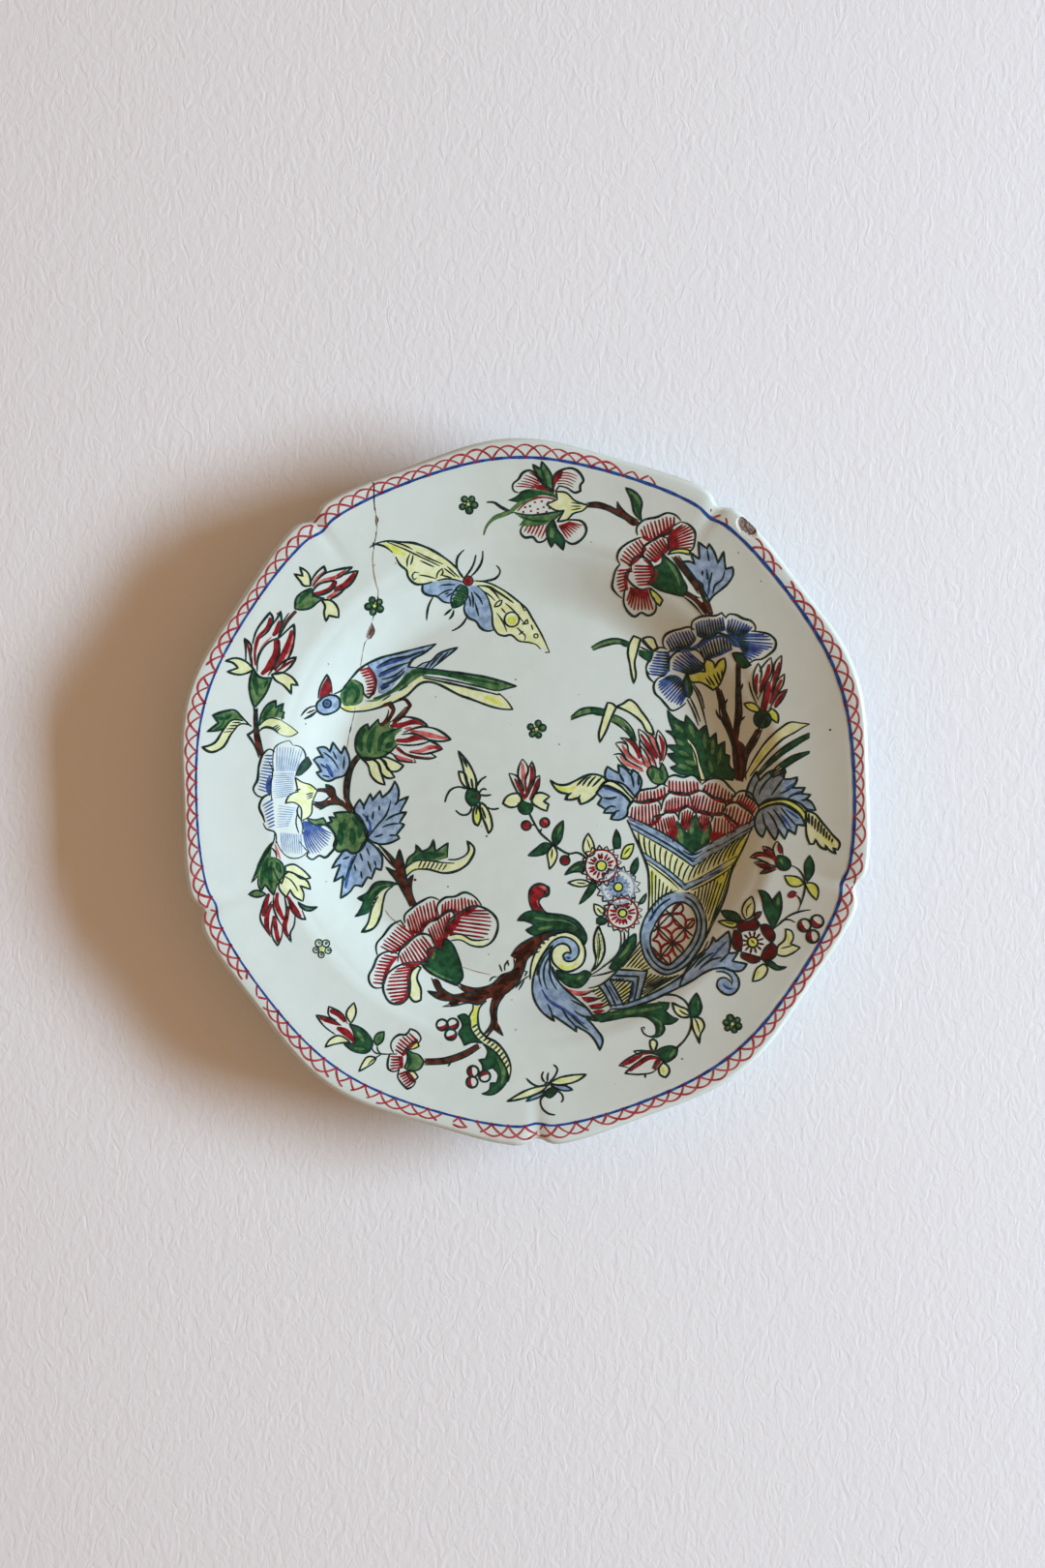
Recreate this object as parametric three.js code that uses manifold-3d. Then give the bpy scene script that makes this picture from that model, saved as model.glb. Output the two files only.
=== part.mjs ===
// A glazed earthenware dinner plate with a scalloped edge. It was moulded and fired as one piece.
// It is worn: a long crack runs in from the edge, a chip shows the bare clay and the lip is nicked.
// The frame: millimetres, +Z up, the origin on the table at the centre of the foot ring.
import * as THREE from "three";
import { mergeVertices } from "three/addons/utils/BufferGeometryUtils.js";
import Module from "manifold-3d";

// The outline seen from above.
const PLATE_RADIUS = 125.9; // mean radius of the edge
const LOBES = 5; // the notches part the edge into this many lobes
const FIRST_NOTCH_DEG = 56; // bearing of the first notch, counter-clockwise from +X
const WAVES_PER_LOBE = 2; // each lobe swells at its middle and again towards each notch
const WAVE_HEIGHT = 1.4; // how far a swell stands out from the mean radius
const NOTCH_DEPTH = 2.7; // how far a notch bites in from the top of a swell
const NOTCH_HALF_WIDTH = 3.9; // measured along the edge
const OVAL = 0.4; // the hand-pressed plate is this much longer one way than the mean

// The section, from the middle outwards.
const FOOT_HEIGHT = 2.2; // the foot ring lifts the body off the table by this much
const FOOT_RADIUS = 70.5; // middle of the foot ring
const FOOT_WIDTH = 5.0;
const FOOT_CHAMFER = 0.6; // worn corner of the foot ring
const BODY_THICKNESS = 4.4; // clay and glaze together
const FLOOR_RADIUS = 67; // the flat floor ends here
const FLOOR_DOME = 0.7; // the floor rose this much in the middle when it was fired
const WALL_WIDTH = 28; // radial width of the curved wall
const WALL_RISE = 10.2; // height that the wall alone gains
const RIM_START = 90; // the sloping rim takes over here
const RIM_SLOPE_INNER = 0.18; // rise over run where the rim starts
const RIM_SLOPE_OUTER = 0.31; // rise over run near the lip
const LIP_WIDTH = 8; // the rim levels out over this width before the edge
const LIP_THICKNESS = 3.8; // height of the rounded edge
const CREASE_DEPTH = 0.55; // a pressed crease runs inwards from each notch
const CREASE_HALF_WIDTH = 2.6;
const CREASE_LENGTH = 24;

// How finely the surface is divided.
const STEPS_PER_LOBE = 22;
const STEP_CROWDING = 0.6; // 0 spaces the steps evenly, near 1 crowds them at the notches
const FLOOR_RINGS = 3;
const WALL_RINGS = 7;
const RIM_RINGS = 4;
const LIP_RINGS = 2;
const EDGE_ROUND_STEPS = 4; // faces round the rounded edge

// The crack, as points seen from above: each has a bearing in degrees and a distance in from the edge.
const CRACK_WIDTH = 0.4;
const CRACK_DEPTH = 1.3;
const CRACK_SPILL = 0.9; // the cutter stands this far above the glaze
const CRACK_PATH = [
  [116.3, -2.4], [116.8, 4.6], [118.5, 12.2], [122.1, 23.0], [124.5, 29.8], [126.5, 35.6], [131.9, 43.0],
  [136.7, 45.3], [142.8, 49.2], [148.3, 52.5], [160.0, 58.5], [165.9, 58.9], [174.4, 58.7], [183.6, 57.8],
  [189.7, 58.4], [198.9, 57.1], [209.9, 58.5], [220.3, 56.9], [228.2, 58.5], [237.2, 59.7], [250.2, 56.8],
  [259.2, 57.0], [267.7, 58.7], [274.6, 56.6], [284.0, 56.0],
];

// Where the glaze is broken away: each chip's bearing, distance in from the edge, size and the way it lies.
const CHIPS = [
  { name: "edge chip", bearing: 50.1, inset: 2.2, length: 8.8, width: 6.4, depth: 1.7, turn: -42, detail: 2 },
  { name: "crack chip", bearing: 134.3, inset: 44.5, length: 6.6, width: 3.4, depth: 0.8, turn: 68, detail: 1 },
  { name: "rim fleck", bearing: 118.7, inset: 13.8, length: 3.4, width: 1.7, depth: 0.6, turn: 88, detail: 1 },
  { name: "wall fleck", bearing: 160, inset: 58.5, length: 3.2, width: 1.7, depth: 0.6, turn: 76, detail: 1 },
  { name: "floor gash", bearing: 225.6, inset: 57.8, length: 6.4, width: 1.8, depth: 0.7, turn: -45, detail: 1 },
];

// Small bites out of the lip: the bearing and the length along the edge.
const NICKS = [
  { bearing: 38.2, length: 3.6 },
  { bearing: 214.7, length: 3.2 },
  { bearing: 217.6, length: 2.6 },
  { bearing: 236.7, length: 3.8 },
  { bearing: 261.1, length: 3.0 },
  { bearing: 280.7, length: 3.4 },
];
const NICK_WIDTH = 1.8;
const NICK_DEPTH = 0.7;

const GLAZE_COLOUR = 0xdde2dc;
const GLAZE_ROUGHNESS = 0.18;

const radians = THREE.MathUtils.degToRad;
const LOBE_ANGLE = (2 * Math.PI) / LOBES;
const FLOOR_TOP = FOOT_HEIGHT + BODY_THICKNESS;

// The angle from the nearest notch, at most half a lobe either way.
function angleFromNotch(angle) {
  const turns = (angle - radians(FIRST_NOTCH_DEG)) / LOBE_ANGLE;
  return (turns - Math.round(turns)) * LOBE_ANGLE;
}

// The radius of the edge at an angle: an oval, with swells and sharp notches.
function edgeRadius(angle) {
  const fromNotch = angleFromNotch(angle);
  const swell = WAVE_HEIGHT * Math.cos(fromNotch * LOBES * WAVES_PER_LOBE);
  const notch = NOTCH_DEPTH * Math.exp(-(((fromNotch * PLATE_RADIUS) / NOTCH_HALF_WIDTH) ** 2));
  return PLATE_RADIUS - OVAL * Math.cos(2 * angle) + swell - notch;
}

function smoothStep(x) {
  const t = THREE.MathUtils.clamp(x, 0, 1);
  return t * t * (3 - 2 * t);
}

// Height of the glazed upper face at a radius and an angle.
function topHeight(radius, angle) {
  const fromEdge = edgeRadius(angle) - radius;
  const dome = FLOOR_DOME * (1 - smoothStep(radius / FLOOR_RADIUS));
  const wall = WALL_RISE * smoothStep((radius - FLOOR_RADIUS) / WALL_WIDTH);
  const run = Math.max(0, radius - RIM_START);
  const rimWidth = PLATE_RADIUS - RIM_START;
  const rim = run * (RIM_SLOPE_INNER + ((RIM_SLOPE_OUTER - RIM_SLOPE_INNER) * run) / (2 * rimWidth));
  const lip = (RIM_SLOPE_OUTER * LIP_WIDTH * Math.max(0, 1 - fromEdge / LIP_WIDTH) ** 2) / 2;
  const sideways = angleFromNotch(angle) * radius;
  const along = Math.max(0, 1 - fromEdge / CREASE_LENGTH);
  const crease = CREASE_DEPTH * along * Math.exp(-((sideways / CREASE_HALF_WIDTH) ** 2));
  return FLOOR_TOP + dome + wall + rim - lip - crease;
}

// Height of the underside: the body has the same thickness square to its slope.
function underHeight(radius, angle) {
  const reach = 0.5;
  const slope = (topHeight(radius + reach, angle) - topHeight(radius - reach, angle)) / (2 * reach);
  return topHeight(radius, angle) - BODY_THICKNESS * Math.hypot(1, slope);
}

// The angles of one turn, crowded towards the notches.
function ringAngles() {
  const angles = [];
  for (let lobe = 0; lobe < LOBES; lobe++) {
    for (let step = 0; step < STEPS_PER_LOBE; step++) {
      const share = step / STEPS_PER_LOBE;
      const crowded = share - (STEP_CROWDING * Math.sin(2 * Math.PI * share)) / (2 * Math.PI);
      angles.push(radians(FIRST_NOTCH_DEG) + (lobe + crowded) * LOBE_ANGLE);
    }
  }
  return angles;
}

// A ring of points at one nominal radius: it is round on the floor and takes the outline's shape on the rim.
function ring(nominal, height) {
  const share = smoothStep((nominal - RIM_START) / (PLATE_RADIUS - LIP_WIDTH - RIM_START));
  return ringAngles().map((angle) => {
    const radius = nominal + share * (edgeRadius(angle) - PLATE_RADIUS);
    return new THREE.Vector3(radius * Math.cos(angle), radius * Math.sin(angle), height(radius, angle));
  });
}

// Evenly spaced radii after the first value, up to and with the last.
function spaced(from, to, count) {
  return Array.from({ length: count }, (_, i) => from + ((to - from) * (i + 1)) / count);
}

// The rounded edge, from the upper face round to the underside.
function edgeRings() {
  const half = LIP_THICKNESS / 2;
  return Array.from({ length: EDGE_ROUND_STEPS + 1 }, (_, i) => {
    const turn = Math.PI * (0.5 - i / EDGE_ROUND_STEPS);
    const nominal = PLATE_RADIUS - half + half * Math.cos(turn);
    const drop = half - half * Math.sin(turn);
    return ring(nominal, (radius, angle) => topHeight(edgeRadius(angle) - half, angle) - drop);
  });
}

// The foot ring, from its outer root round to its inner root.
function footRings() {
  const outer = FOOT_RADIUS + FOOT_WIDTH / 2;
  const inner = FOOT_RADIUS - FOOT_WIDTH / 2;
  return [
    ring(outer + FOOT_CHAMFER, underHeight),
    ring(outer, () => FOOT_CHAMFER),
    ring(outer - FOOT_CHAMFER, () => 0),
    ring(inner + FOOT_CHAMFER, () => 0),
    ring(inner, () => FOOT_CHAMFER),
    ring(inner - FOOT_CHAMFER, underHeight),
  ];
}

// The whole body as one closed skin, wound so that its faces look outwards.
function plateBody() {
  const lipInner = PLATE_RADIUS - LIP_THICKNESS / 2;
  const rimOuter = PLATE_RADIUS - LIP_WIDTH;
  const wallOuter = FLOOR_RADIUS + WALL_WIDTH;
  const footOuter = FOOT_RADIUS + FOOT_WIDTH / 2 + FOOT_CHAMFER;
  const footInner = FOOT_RADIUS - FOOT_WIDTH / 2 - FOOT_CHAMFER;
  const up = [
    ...spaced(0, FLOOR_RADIUS, FLOOR_RINGS),
    ...spaced(FLOOR_RADIUS, wallOuter, WALL_RINGS),
    ...spaced(wallOuter, rimOuter, RIM_RINGS),
    ...spaced(rimOuter, lipInner, LIP_RINGS).slice(0, -1),
  ].map((nominal) => ring(nominal, topHeight));
  const down = [
    ...spaced(lipInner, wallOuter, RIM_RINGS + 1).slice(0, -1),
    ...spaced(wallOuter, footOuter, WALL_RINGS - 2).slice(0, -1),
  ].map((nominal) => ring(nominal, underHeight));
  const under = spaced(footInner, 0, FLOOR_RINGS).slice(0, -1).map((nominal) => ring(nominal, underHeight));
  const rings = [...up, ...edgeRings(), ...down, ...footRings(), ...under];

  const points = [new THREE.Vector3(0, 0, topHeight(0, 0)), ...rings.flat()];
  points.push(new THREE.Vector3(0, 0, underHeight(0, 0)));
  const last = points.length - 1;
  const count = rings[0].length;
  const faces = [];
  for (let step = 0; step < count; step++) {
    const next = (step + 1) % count;
    faces.push(0, 1 + step, 1 + next);
    for (let row = 0; row + 1 < rings.length; row++) {
      const near = 1 + row * count;
      const far = near + count;
      faces.push(near + step, far + step, far + next);
      faces.push(near + step, far + next, near + next);
    }
    const end = 1 + (rings.length - 1) * count;
    faces.push(end + next, end + step, last);
  }
  return new THREE.BufferGeometry().setFromPoints(points).setIndex(faces);
}

// The point of the upper face at a bearing and a distance in from the edge. Past the lip it stays level.
function facePoint(bearing, inset) {
  const angle = radians(bearing);
  const radius = edgeRadius(angle) - inset;
  const z = topHeight(Math.min(radius, edgeRadius(angle) - LIP_THICKNESS / 2), angle);
  return new THREE.Vector3(radius * Math.cos(angle), radius * Math.sin(angle), z);
}

// The outward direction of the upper face at a point seen from above.
function faceNormal(x, y) {
  const reach = 0.5;
  const heightAt = (px, py) => topHeight(Math.hypot(px, py), Math.atan2(py, px));
  const slopeX = (heightAt(x + reach, y) - heightAt(x - reach, y)) / (2 * reach);
  const slopeY = (heightAt(x, y + reach) - heightAt(x, y - reach)) / (2 * reach);
  return new THREE.Vector3(-slopeX, -slopeY, 1).normalize();
}

// A lump with an uneven skin that leaves a shell-shaped hollow of a given size when it is cut away.
function chipCutter({ x, y, z, normal, length, width, depth, turn, detail }) {
  const sink = Math.sqrt(0.75); // half of the lump stands above the glaze, so the hollow is this share of its width
  const unevenness = 0.09;
  const wave = new THREE.Vector3(5.1, 4.3, 1); // lumps to a turn, along each axis of the chip
  const lump = new THREE.IcosahedronGeometry(1, detail);
  const position = lump.getAttribute("position");
  const point = new THREE.Vector3();
  for (let i = 0; i < position.count; i++) {
    point.fromBufferAttribute(position, i);
    const bump = Math.sin(wave.x * point.x + x) * Math.cos(wave.y * point.y - wave.z * point.z + y);
    position.setXYZ(i, ...point.multiplyScalar(1 + unevenness * bump).toArray());
  }
  lump.scale(length / 2 / sink, width / 2 / sink, 2 * depth);
  lump.rotateZ(radians(turn));
  lump.applyQuaternion(new THREE.Quaternion().setFromUnitVectors(new THREE.Vector3(0, 0, 1), normal));
  lump.translate(x + normal.x * depth, y + normal.y * depth, z + normal.z * depth);
  return lump;
}

function faceChip(chip) {
  const { x, y, z } = facePoint(chip.bearing, chip.inset);
  return chipCutter({ ...chip, x, y, z, normal: faceNormal(x, y) });
}

// A bite out of the rounded edge, seen from outside and above.
function edgeNick({ bearing, length }) {
  const angle = radians(bearing);
  const radius = edgeRadius(angle) - LIP_THICKNESS / 4;
  const outward = new THREE.Vector3(Math.cos(angle), Math.sin(angle), 1).normalize();
  return chipCutter({
    x: radius * Math.cos(angle),
    y: radius * Math.sin(angle),
    z: topHeight(edgeRadius(angle) - LIP_THICKNESS / 2, angle) - LIP_THICKNESS / 8,
    normal: outward,
    length,
    width: NICK_WIDTH,
    depth: NICK_DEPTH,
    turn: bearing + 90,
    detail: 1,
  });
}

// A wedge that follows the crack, with its thin side in the clay.
function crackCutter() {
  const centre = CRACK_PATH.map(([bearing, inset]) => facePoint(bearing, inset));
  const points = [];
  centre.forEach((point, i) => {
    const before = centre[Math.max(0, i - 1)];
    const after = centre[Math.min(centre.length - 1, i + 1)];
    const side = new THREE.Vector3(before.y - after.y, after.x - before.x, 0).normalize();
    const open = (CRACK_WIDTH / 2) * (1 + CRACK_SPILL / CRACK_DEPTH);
    points.push(point.clone().addScaledVector(side, open).setZ(point.z + CRACK_SPILL));
    points.push(point.clone().addScaledVector(side, -open).setZ(point.z + CRACK_SPILL));
    points.push(point.clone().setZ(point.z - CRACK_DEPTH));
  });
  const faces = [0, 2, 1];
  for (let i = 0; i + 1 < centre.length; i++) {
    for (let corner = 0; corner < 3; corner++) {
      const a = 3 * i + corner;
      const b = 3 * i + ((corner + 1) % 3);
      faces.push(a, b, b + 3, a, b + 3, a + 3);
    }
  }
  const end = 3 * (centre.length - 1);
  faces.push(end, end + 1, end + 2);
  return new THREE.BufferGeometry().setFromPoints(points).setIndex(faces);
}

const wasm = await Module();
wasm.setup();

// A closed three.js geometry as a solid that can be cut.
function toSolid(geometry) {
  const bare = geometry.clone();
  bare.deleteAttribute("normal");
  bare.deleteAttribute("uv");
  const merged = mergeVertices(bare, 1e-4);
  const vertProperties = new Float32Array(merged.getAttribute("position").array);
  const triVerts = new Uint32Array(merged.getIndex().array);
  return new wasm.Manifold(new wasm.Mesh({ numProp: 3, vertProperties, triVerts }));
}

function toGeometry(solid) {
  const mesh = solid.getMesh();
  const geometry = new THREE.BufferGeometry();
  geometry.setAttribute("position", new THREE.BufferAttribute(mesh.vertProperties, 3));
  geometry.setIndex(new THREE.BufferAttribute(mesh.triVerts, 1));
  geometry.computeVertexNormals();
  return geometry;
}

// The plate with its damage cut in.
function damagedPlate() {
  const cutters = [crackCutter(), ...CHIPS.map(faceChip), ...NICKS.map(edgeNick)];
  const cut = cutters.reduce((solid, cutter) => solid.subtract(toSolid(cutter)), toSolid(plateBody()));
  const mesh = new THREE.Mesh(
    toGeometry(cut),
    new THREE.MeshStandardMaterial({ color: GLAZE_COLOUR, roughness: GLAZE_ROUGHNESS, metalness: 0 }),
  );
  mesh.name = "plate";
  return mesh;
}

const brokenPlate = new THREE.Group();
brokenPlate.name = "broken_plate";
brokenPlate.add(damagedPlate());

export default brokenPlate;
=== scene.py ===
# %% [markdown]
# A painted earthenware dinner plate, dressed over its CAD model. The CAD plate has the true size and
# place, so it is loaded first and nothing on it is moved. Everything below is modelled in metres on that
# frame, with the table at z = 0.

import math
import random

import bpy
import numpy as np
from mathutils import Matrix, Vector
from mathutils.geometry import delaunay_2d_cdt


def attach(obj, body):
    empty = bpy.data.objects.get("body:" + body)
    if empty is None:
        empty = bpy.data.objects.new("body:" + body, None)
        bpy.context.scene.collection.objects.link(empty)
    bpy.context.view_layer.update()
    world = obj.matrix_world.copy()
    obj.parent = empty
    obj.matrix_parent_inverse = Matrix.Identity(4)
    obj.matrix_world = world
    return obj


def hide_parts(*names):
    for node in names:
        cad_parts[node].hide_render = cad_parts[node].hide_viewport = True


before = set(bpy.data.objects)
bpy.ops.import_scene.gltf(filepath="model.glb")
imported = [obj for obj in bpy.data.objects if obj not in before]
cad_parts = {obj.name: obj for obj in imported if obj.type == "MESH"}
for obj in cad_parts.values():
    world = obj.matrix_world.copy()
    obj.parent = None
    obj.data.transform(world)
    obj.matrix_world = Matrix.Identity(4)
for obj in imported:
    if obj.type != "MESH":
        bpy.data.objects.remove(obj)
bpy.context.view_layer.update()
MM = 0.001

# %% [markdown]
# The photo looks straight down on the plate. A 50 mm lens over a 24 mm wide frame fits its slight
# perspective. The drawing below is placed by pixels of that photo, so the camera's numbers are also the
# key from a pixel to a spot on the plate: a ray goes from the lens through the pixel down to the glaze.
# The camera's place is in millimetres, from the middle of the foot ring on the table.

# %% Camera
PHOTO_WIDTH = 1080
PHOTO_HEIGHT = 1620
LENS = 50.0
SENSOR_WIDTH = 24.0
FOCAL_PIXELS = LENS / SENSOR_WIDTH * PHOTO_WIDTH
CAMERA_HEIGHT = 807.97
CAMERA_X = -1.04
CAMERA_Y = 2.96

camera_data = bpy.data.cameras.new("photo_camera")
camera_data.lens = LENS
camera_data.sensor_fit = "HORIZONTAL"
camera_data.sensor_width = SENSOR_WIDTH
camera = bpy.data.objects.new("photo_camera", camera_data)
camera.location = (CAMERA_X * MM, CAMERA_Y * MM, CAMERA_HEIGHT * MM)
bpy.context.scene.collection.objects.link(camera)
bpy.context.scene.camera = camera
bpy.context.scene.view_settings.view_transform = "Standard"
print("camera stands", round(camera.location.z, 3), "m above the table")

# %% [markdown]
# The plate is a hand-pressed form: a low dome for a floor, a curved wall, a sloping rim and an edge with
# five notches. A formula of radius and angle gives the height of its face anywhere. The same formula made
# the CAD model, so the fine skin made here lies on it, and the painting can be laid on the skin.

# %% The form of the plate, in millimetres
PLATE_RADIUS = 125.9
LOBES = 5
FIRST_NOTCH = math.radians(56)
WAVES_PER_LOBE = 2
WAVE_HEIGHT = 1.4
NOTCH_DEPTH = 2.7
NOTCH_HALF_WIDTH = 3.9
OVAL = 0.4
FOOT_HEIGHT = 2.2
FOOT_RADIUS = 70.5
FOOT_WIDTH = 5.0
FOOT_CHAMFER = 0.6
BODY_THICKNESS = 4.4
FLOOR_RADIUS = 67
FLOOR_DOME = 0.7
WALL_WIDTH = 28
WALL_RISE = 10.2
RIM_START = 90
RIM_SLOPE_INNER = 0.18
RIM_SLOPE_OUTER = 0.31
LIP_WIDTH = 8
LIP_THICKNESS = 3.8
CREASE_DEPTH = 0.55
CREASE_HALF_WIDTH = 2.6
CREASE_LENGTH = 24
RIM_LINE_RADIUS = 118.0
print("the plate is about", 2 * PLATE_RADIUS, "mm across")

# %% The edge with its waves and notches
def angle_from_notch(angle):
    lobe = 2 * math.pi / LOBES
    turns = (angle - FIRST_NOTCH) / lobe
    return (turns - np.round(turns)) * lobe


def edge_radius(angle):
    """How far out the edge lies: an oval, with waves, less the notches."""
    from_notch = angle_from_notch(angle)
    swell = WAVE_HEIGHT * np.cos(from_notch * LOBES * WAVES_PER_LOBE)
    notch = NOTCH_DEPTH * np.exp(-((from_notch * PLATE_RADIUS / NOTCH_HALF_WIDTH) ** 2))
    return PLATE_RADIUS - OVAL * np.cos(2 * angle) + swell - notch


around = edge_radius(np.linspace(0, 2 * math.pi, 720))
print("the edge lies", round(float(around.min()), 1), "to", round(float(around.max()), 1),
    "mm from the middle")

# %% The height of both faces
def smooth_step(x):
    t = np.clip(x, 0, 1)
    return t * t * (3 - 2 * t)


def top_height(radius, angle):
    """Height of the glazed upper face. Past the lip it stays level."""
    edge = edge_radius(angle)
    radius = np.minimum(radius, edge - LIP_THICKNESS / 2)
    from_edge = edge - radius
    dome = FLOOR_DOME * (1 - smooth_step(radius / FLOOR_RADIUS))
    wall = WALL_RISE * smooth_step((radius - FLOOR_RADIUS) / WALL_WIDTH)
    run = np.maximum(0, radius - RIM_START)
    gain = (RIM_SLOPE_OUTER - RIM_SLOPE_INNER) / (2 * (PLATE_RADIUS - RIM_START))
    rim = run * (RIM_SLOPE_INNER + gain * run)
    lip = RIM_SLOPE_OUTER * LIP_WIDTH * np.maximum(0, 1 - from_edge / LIP_WIDTH) ** 2 / 2
    sideways = angle_from_notch(angle) * radius
    along = np.maximum(0, 1 - from_edge / CREASE_LENGTH)
    crease = CREASE_DEPTH * along * np.exp(-((sideways / CREASE_HALF_WIDTH) ** 2))
    return FOOT_HEIGHT + BODY_THICKNESS + dome + wall + rim - lip - crease


def under_height(radius, angle):
    """Height of the underside: the body keeps its thickness square to its slope."""
    reach = 0.5
    slope = (top_height(radius + reach, angle) - top_height(radius - reach, angle)) / (2 * reach)
    return top_height(radius, angle) - BODY_THICKNESS * np.hypot(1, slope)


def face_height(spots):
    """Height of the glaze over an array of (x, y) spots."""
    return top_height(np.hypot(spots[:, 0], spots[:, 1]), np.arctan2(spots[:, 1], spots[:, 0]))


def face_normals(spots):
    """The way the glaze faces at each spot, from its slope across 0.8 mm."""
    reach = 0.4
    step_x = np.array([reach, 0])
    step_y = np.array([0, reach])
    slope_x = (face_height(spots + step_x) - face_height(spots - step_x)) / (2 * reach)
    slope_y = (face_height(spots + step_y) - face_height(spots - step_y)) / (2 * reach)
    normals = np.column_stack([-slope_x, -slope_y, np.ones(len(spots))])
    return normals / np.linalg.norm(normals, axis=1)[:, None]


rim_line = top_height(np.array([RIM_LINE_RADIUS]), np.array([0.0]))[0]
print("the rim stands", round(float(rim_line), 1), "mm above the table")

# %% [markdown]
# The skin is a set of rings, as a potter's template would sweep it. They lie about a millimetre apart,
# which keeps the curved wall smooth. A subdivision surface would do it too, but it would pull the notches
# in and leave the formula. The ground face of the foot ring is bare clay, so it takes a slot of its own.

# %% The fine skin of the plate
STEPS_AROUND = 400
FLOOR_GAP = 2.8
WALL_GAP = 1.0
RIM_GAP = 1.3
UNDER_RIM_GAP = 3.0
UNDER_WALL_GAP = 1.5
UNDER_FLOOR_GAP = 6
LIP_STEPS = 12
GLAZE_SLOT = 0
CLAY_SLOT = 1


def ring(nominal, height):
    """One ring of the skin. Near the edge it bends from a circle to the edge's waves."""
    angle = np.linspace(0, 2 * math.pi, STEPS_AROUND, endpoint=False)
    share = smooth_step((nominal - RIM_START) / (PLATE_RADIUS - LIP_WIDTH - RIM_START))
    radius = nominal + share * (edge_radius(angle) - PLATE_RADIUS)
    z = height(radius, angle) * np.ones(STEPS_AROUND)
    return np.column_stack([radius * np.cos(angle), radius * np.sin(angle), z])


def edge_ring(turn):
    """A ring on the half-round lip, at a turn from its crown to its underside."""
    half = LIP_THICKNESS / 2
    nominal = PLATE_RADIUS - half + half * math.cos(turn)
    drop = half - half * math.sin(turn)
    return ring(nominal, lambda radius, angle: top_height(edge_radius(angle) - half, angle) - drop)


def spaced(start, end, gap):
    """Evenly spaced values after the first, up to and with the last."""
    count = max(1, round(abs(end - start) / gap))
    return [start + (end - start) * (i + 1) / count for i in range(count)]


def plate_rings():
    """All rings, up the face, round the lip and back underneath, and where the foot's bare ring lies."""
    lip_inner = PLATE_RADIUS - LIP_THICKNESS / 2
    wall_outer = FLOOR_RADIUS + WALL_WIDTH
    foot_outer = FOOT_RADIUS + FOOT_WIDTH / 2
    foot_inner = FOOT_RADIUS - FOOT_WIDTH / 2
    up = spaced(0, FLOOR_RADIUS, FLOOR_GAP) + spaced(FLOOR_RADIUS, wall_outer, WALL_GAP)
    up += spaced(wall_outer, lip_inner, RIM_GAP)
    rings = [ring(nominal, top_height) for nominal in up[:-1]]
    rings += [edge_ring(math.pi * (0.5 - i / LIP_STEPS)) for i in range(LIP_STEPS + 1)]
    down = spaced(lip_inner, wall_outer, UNDER_RIM_GAP)
    down += spaced(wall_outer, foot_outer + FOOT_CHAMFER, UNDER_WALL_GAP)
    rings += [ring(nominal, under_height) for nominal in down[:-1]]
    rings += [
        ring(foot_outer + FOOT_CHAMFER, under_height),
        ring(foot_outer, lambda radius, angle: FOOT_CHAMFER),
        ring(foot_outer - FOOT_CHAMFER, lambda radius, angle: 0),
    ]
    ground = len(rings)
    rings += [
        ring(foot_inner + FOOT_CHAMFER, lambda radius, angle: 0),
        ring(foot_inner, lambda radius, angle: FOOT_CHAMFER),
        ring(foot_inner - FOOT_CHAMFER, under_height),
    ]
    inward = spaced(foot_inner - FOOT_CHAMFER, 0, UNDER_FLOOR_GAP)
    rings += [ring(nominal, under_height) for nominal in inward[:-1]]
    return rings, ground


print("the skin has", len(plate_rings()[0]), "rings")

# %% The skin as one mesh
def plate_mesh():
    rings, ground = plate_rings()
    points = [np.array([[0, 0, top_height(np.array([0.0]), np.array([0.0]))[0]]])] + rings
    points.append(np.array([[0, 0, under_height(np.array([0.0]), np.array([0.0]))[0]]]))
    count = STEPS_AROUND
    last = 1 + len(rings) * count
    faces = []
    slots = []
    for step in range(count):
        beside = (step + 1) % count
        faces.append((0, 1 + step, 1 + beside))
        slots.append(GLAZE_SLOT)
        for row in range(len(rings) - 1):
            near = 1 + row * count
            far = near + count
            faces.append((near + step, far + step, far + beside, near + beside))
            slots.append(CLAY_SLOT if ground - 2 <= row <= ground else GLAZE_SLOT)
        end = last - count
        faces.append((end + beside, end + step, last))
        slots.append(GLAZE_SLOT)
    mesh = bpy.data.meshes.new("plate_skin")
    mesh.from_pydata((np.vstack(points) * MM).tolist(), [], faces)
    mesh.polygons.foreach_set("material_index", slots)
    mesh.polygons.foreach_set("use_smooth", [True] * len(faces))
    return mesh


skin = plate_mesh()
print("the mesh has", len(skin.vertices), "points")

# %% Painted shade and wear on the lip
LIP_SHADE_AND_WEAR = "lip_shade_and_wear"
LIP_BAND_WIDTH = 1.6


def mark_lip(mesh):
    """How near each point is to the lip's crown, browned there as painted edge shade and thinned glaze."""
    spots = np.array([v.co[:] for v in mesh.vertices]) / MM
    angle = np.arctan2(spots[:, 1], spots[:, 0])
    from_edge = np.abs(edge_radius(angle) - np.hypot(spots[:, 0], spots[:, 1]))
    wear = np.clip(1 - from_edge / LIP_BAND_WIDTH, 0, 1)
    mesh.attributes.new(LIP_SHADE_AND_WEAR, "FLOAT", "POINT").data.foreach_set("value", wear)
    return mesh


plate = bpy.data.objects.new("plate_skin", mark_lip(skin))
bpy.context.scene.collection.objects.link(plate)
print("plate skin:", len(plate.data.polygons), "faces")

# %% [markdown]
# The painting is tin-glaze work: flowers, a horn of plenty, a bird and insects, drawn with a fine dark
# line and filled with thin washes. It could be an image on the plate, but an image goes soft when one
# comes near. Here each line and wash is a thin scale of coloured glaze with its own outline, laid on the
# face a few hundredths of a millimetre proud, as fired colour stands. Washes lie lowest, then shading,
# then lines.

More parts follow.
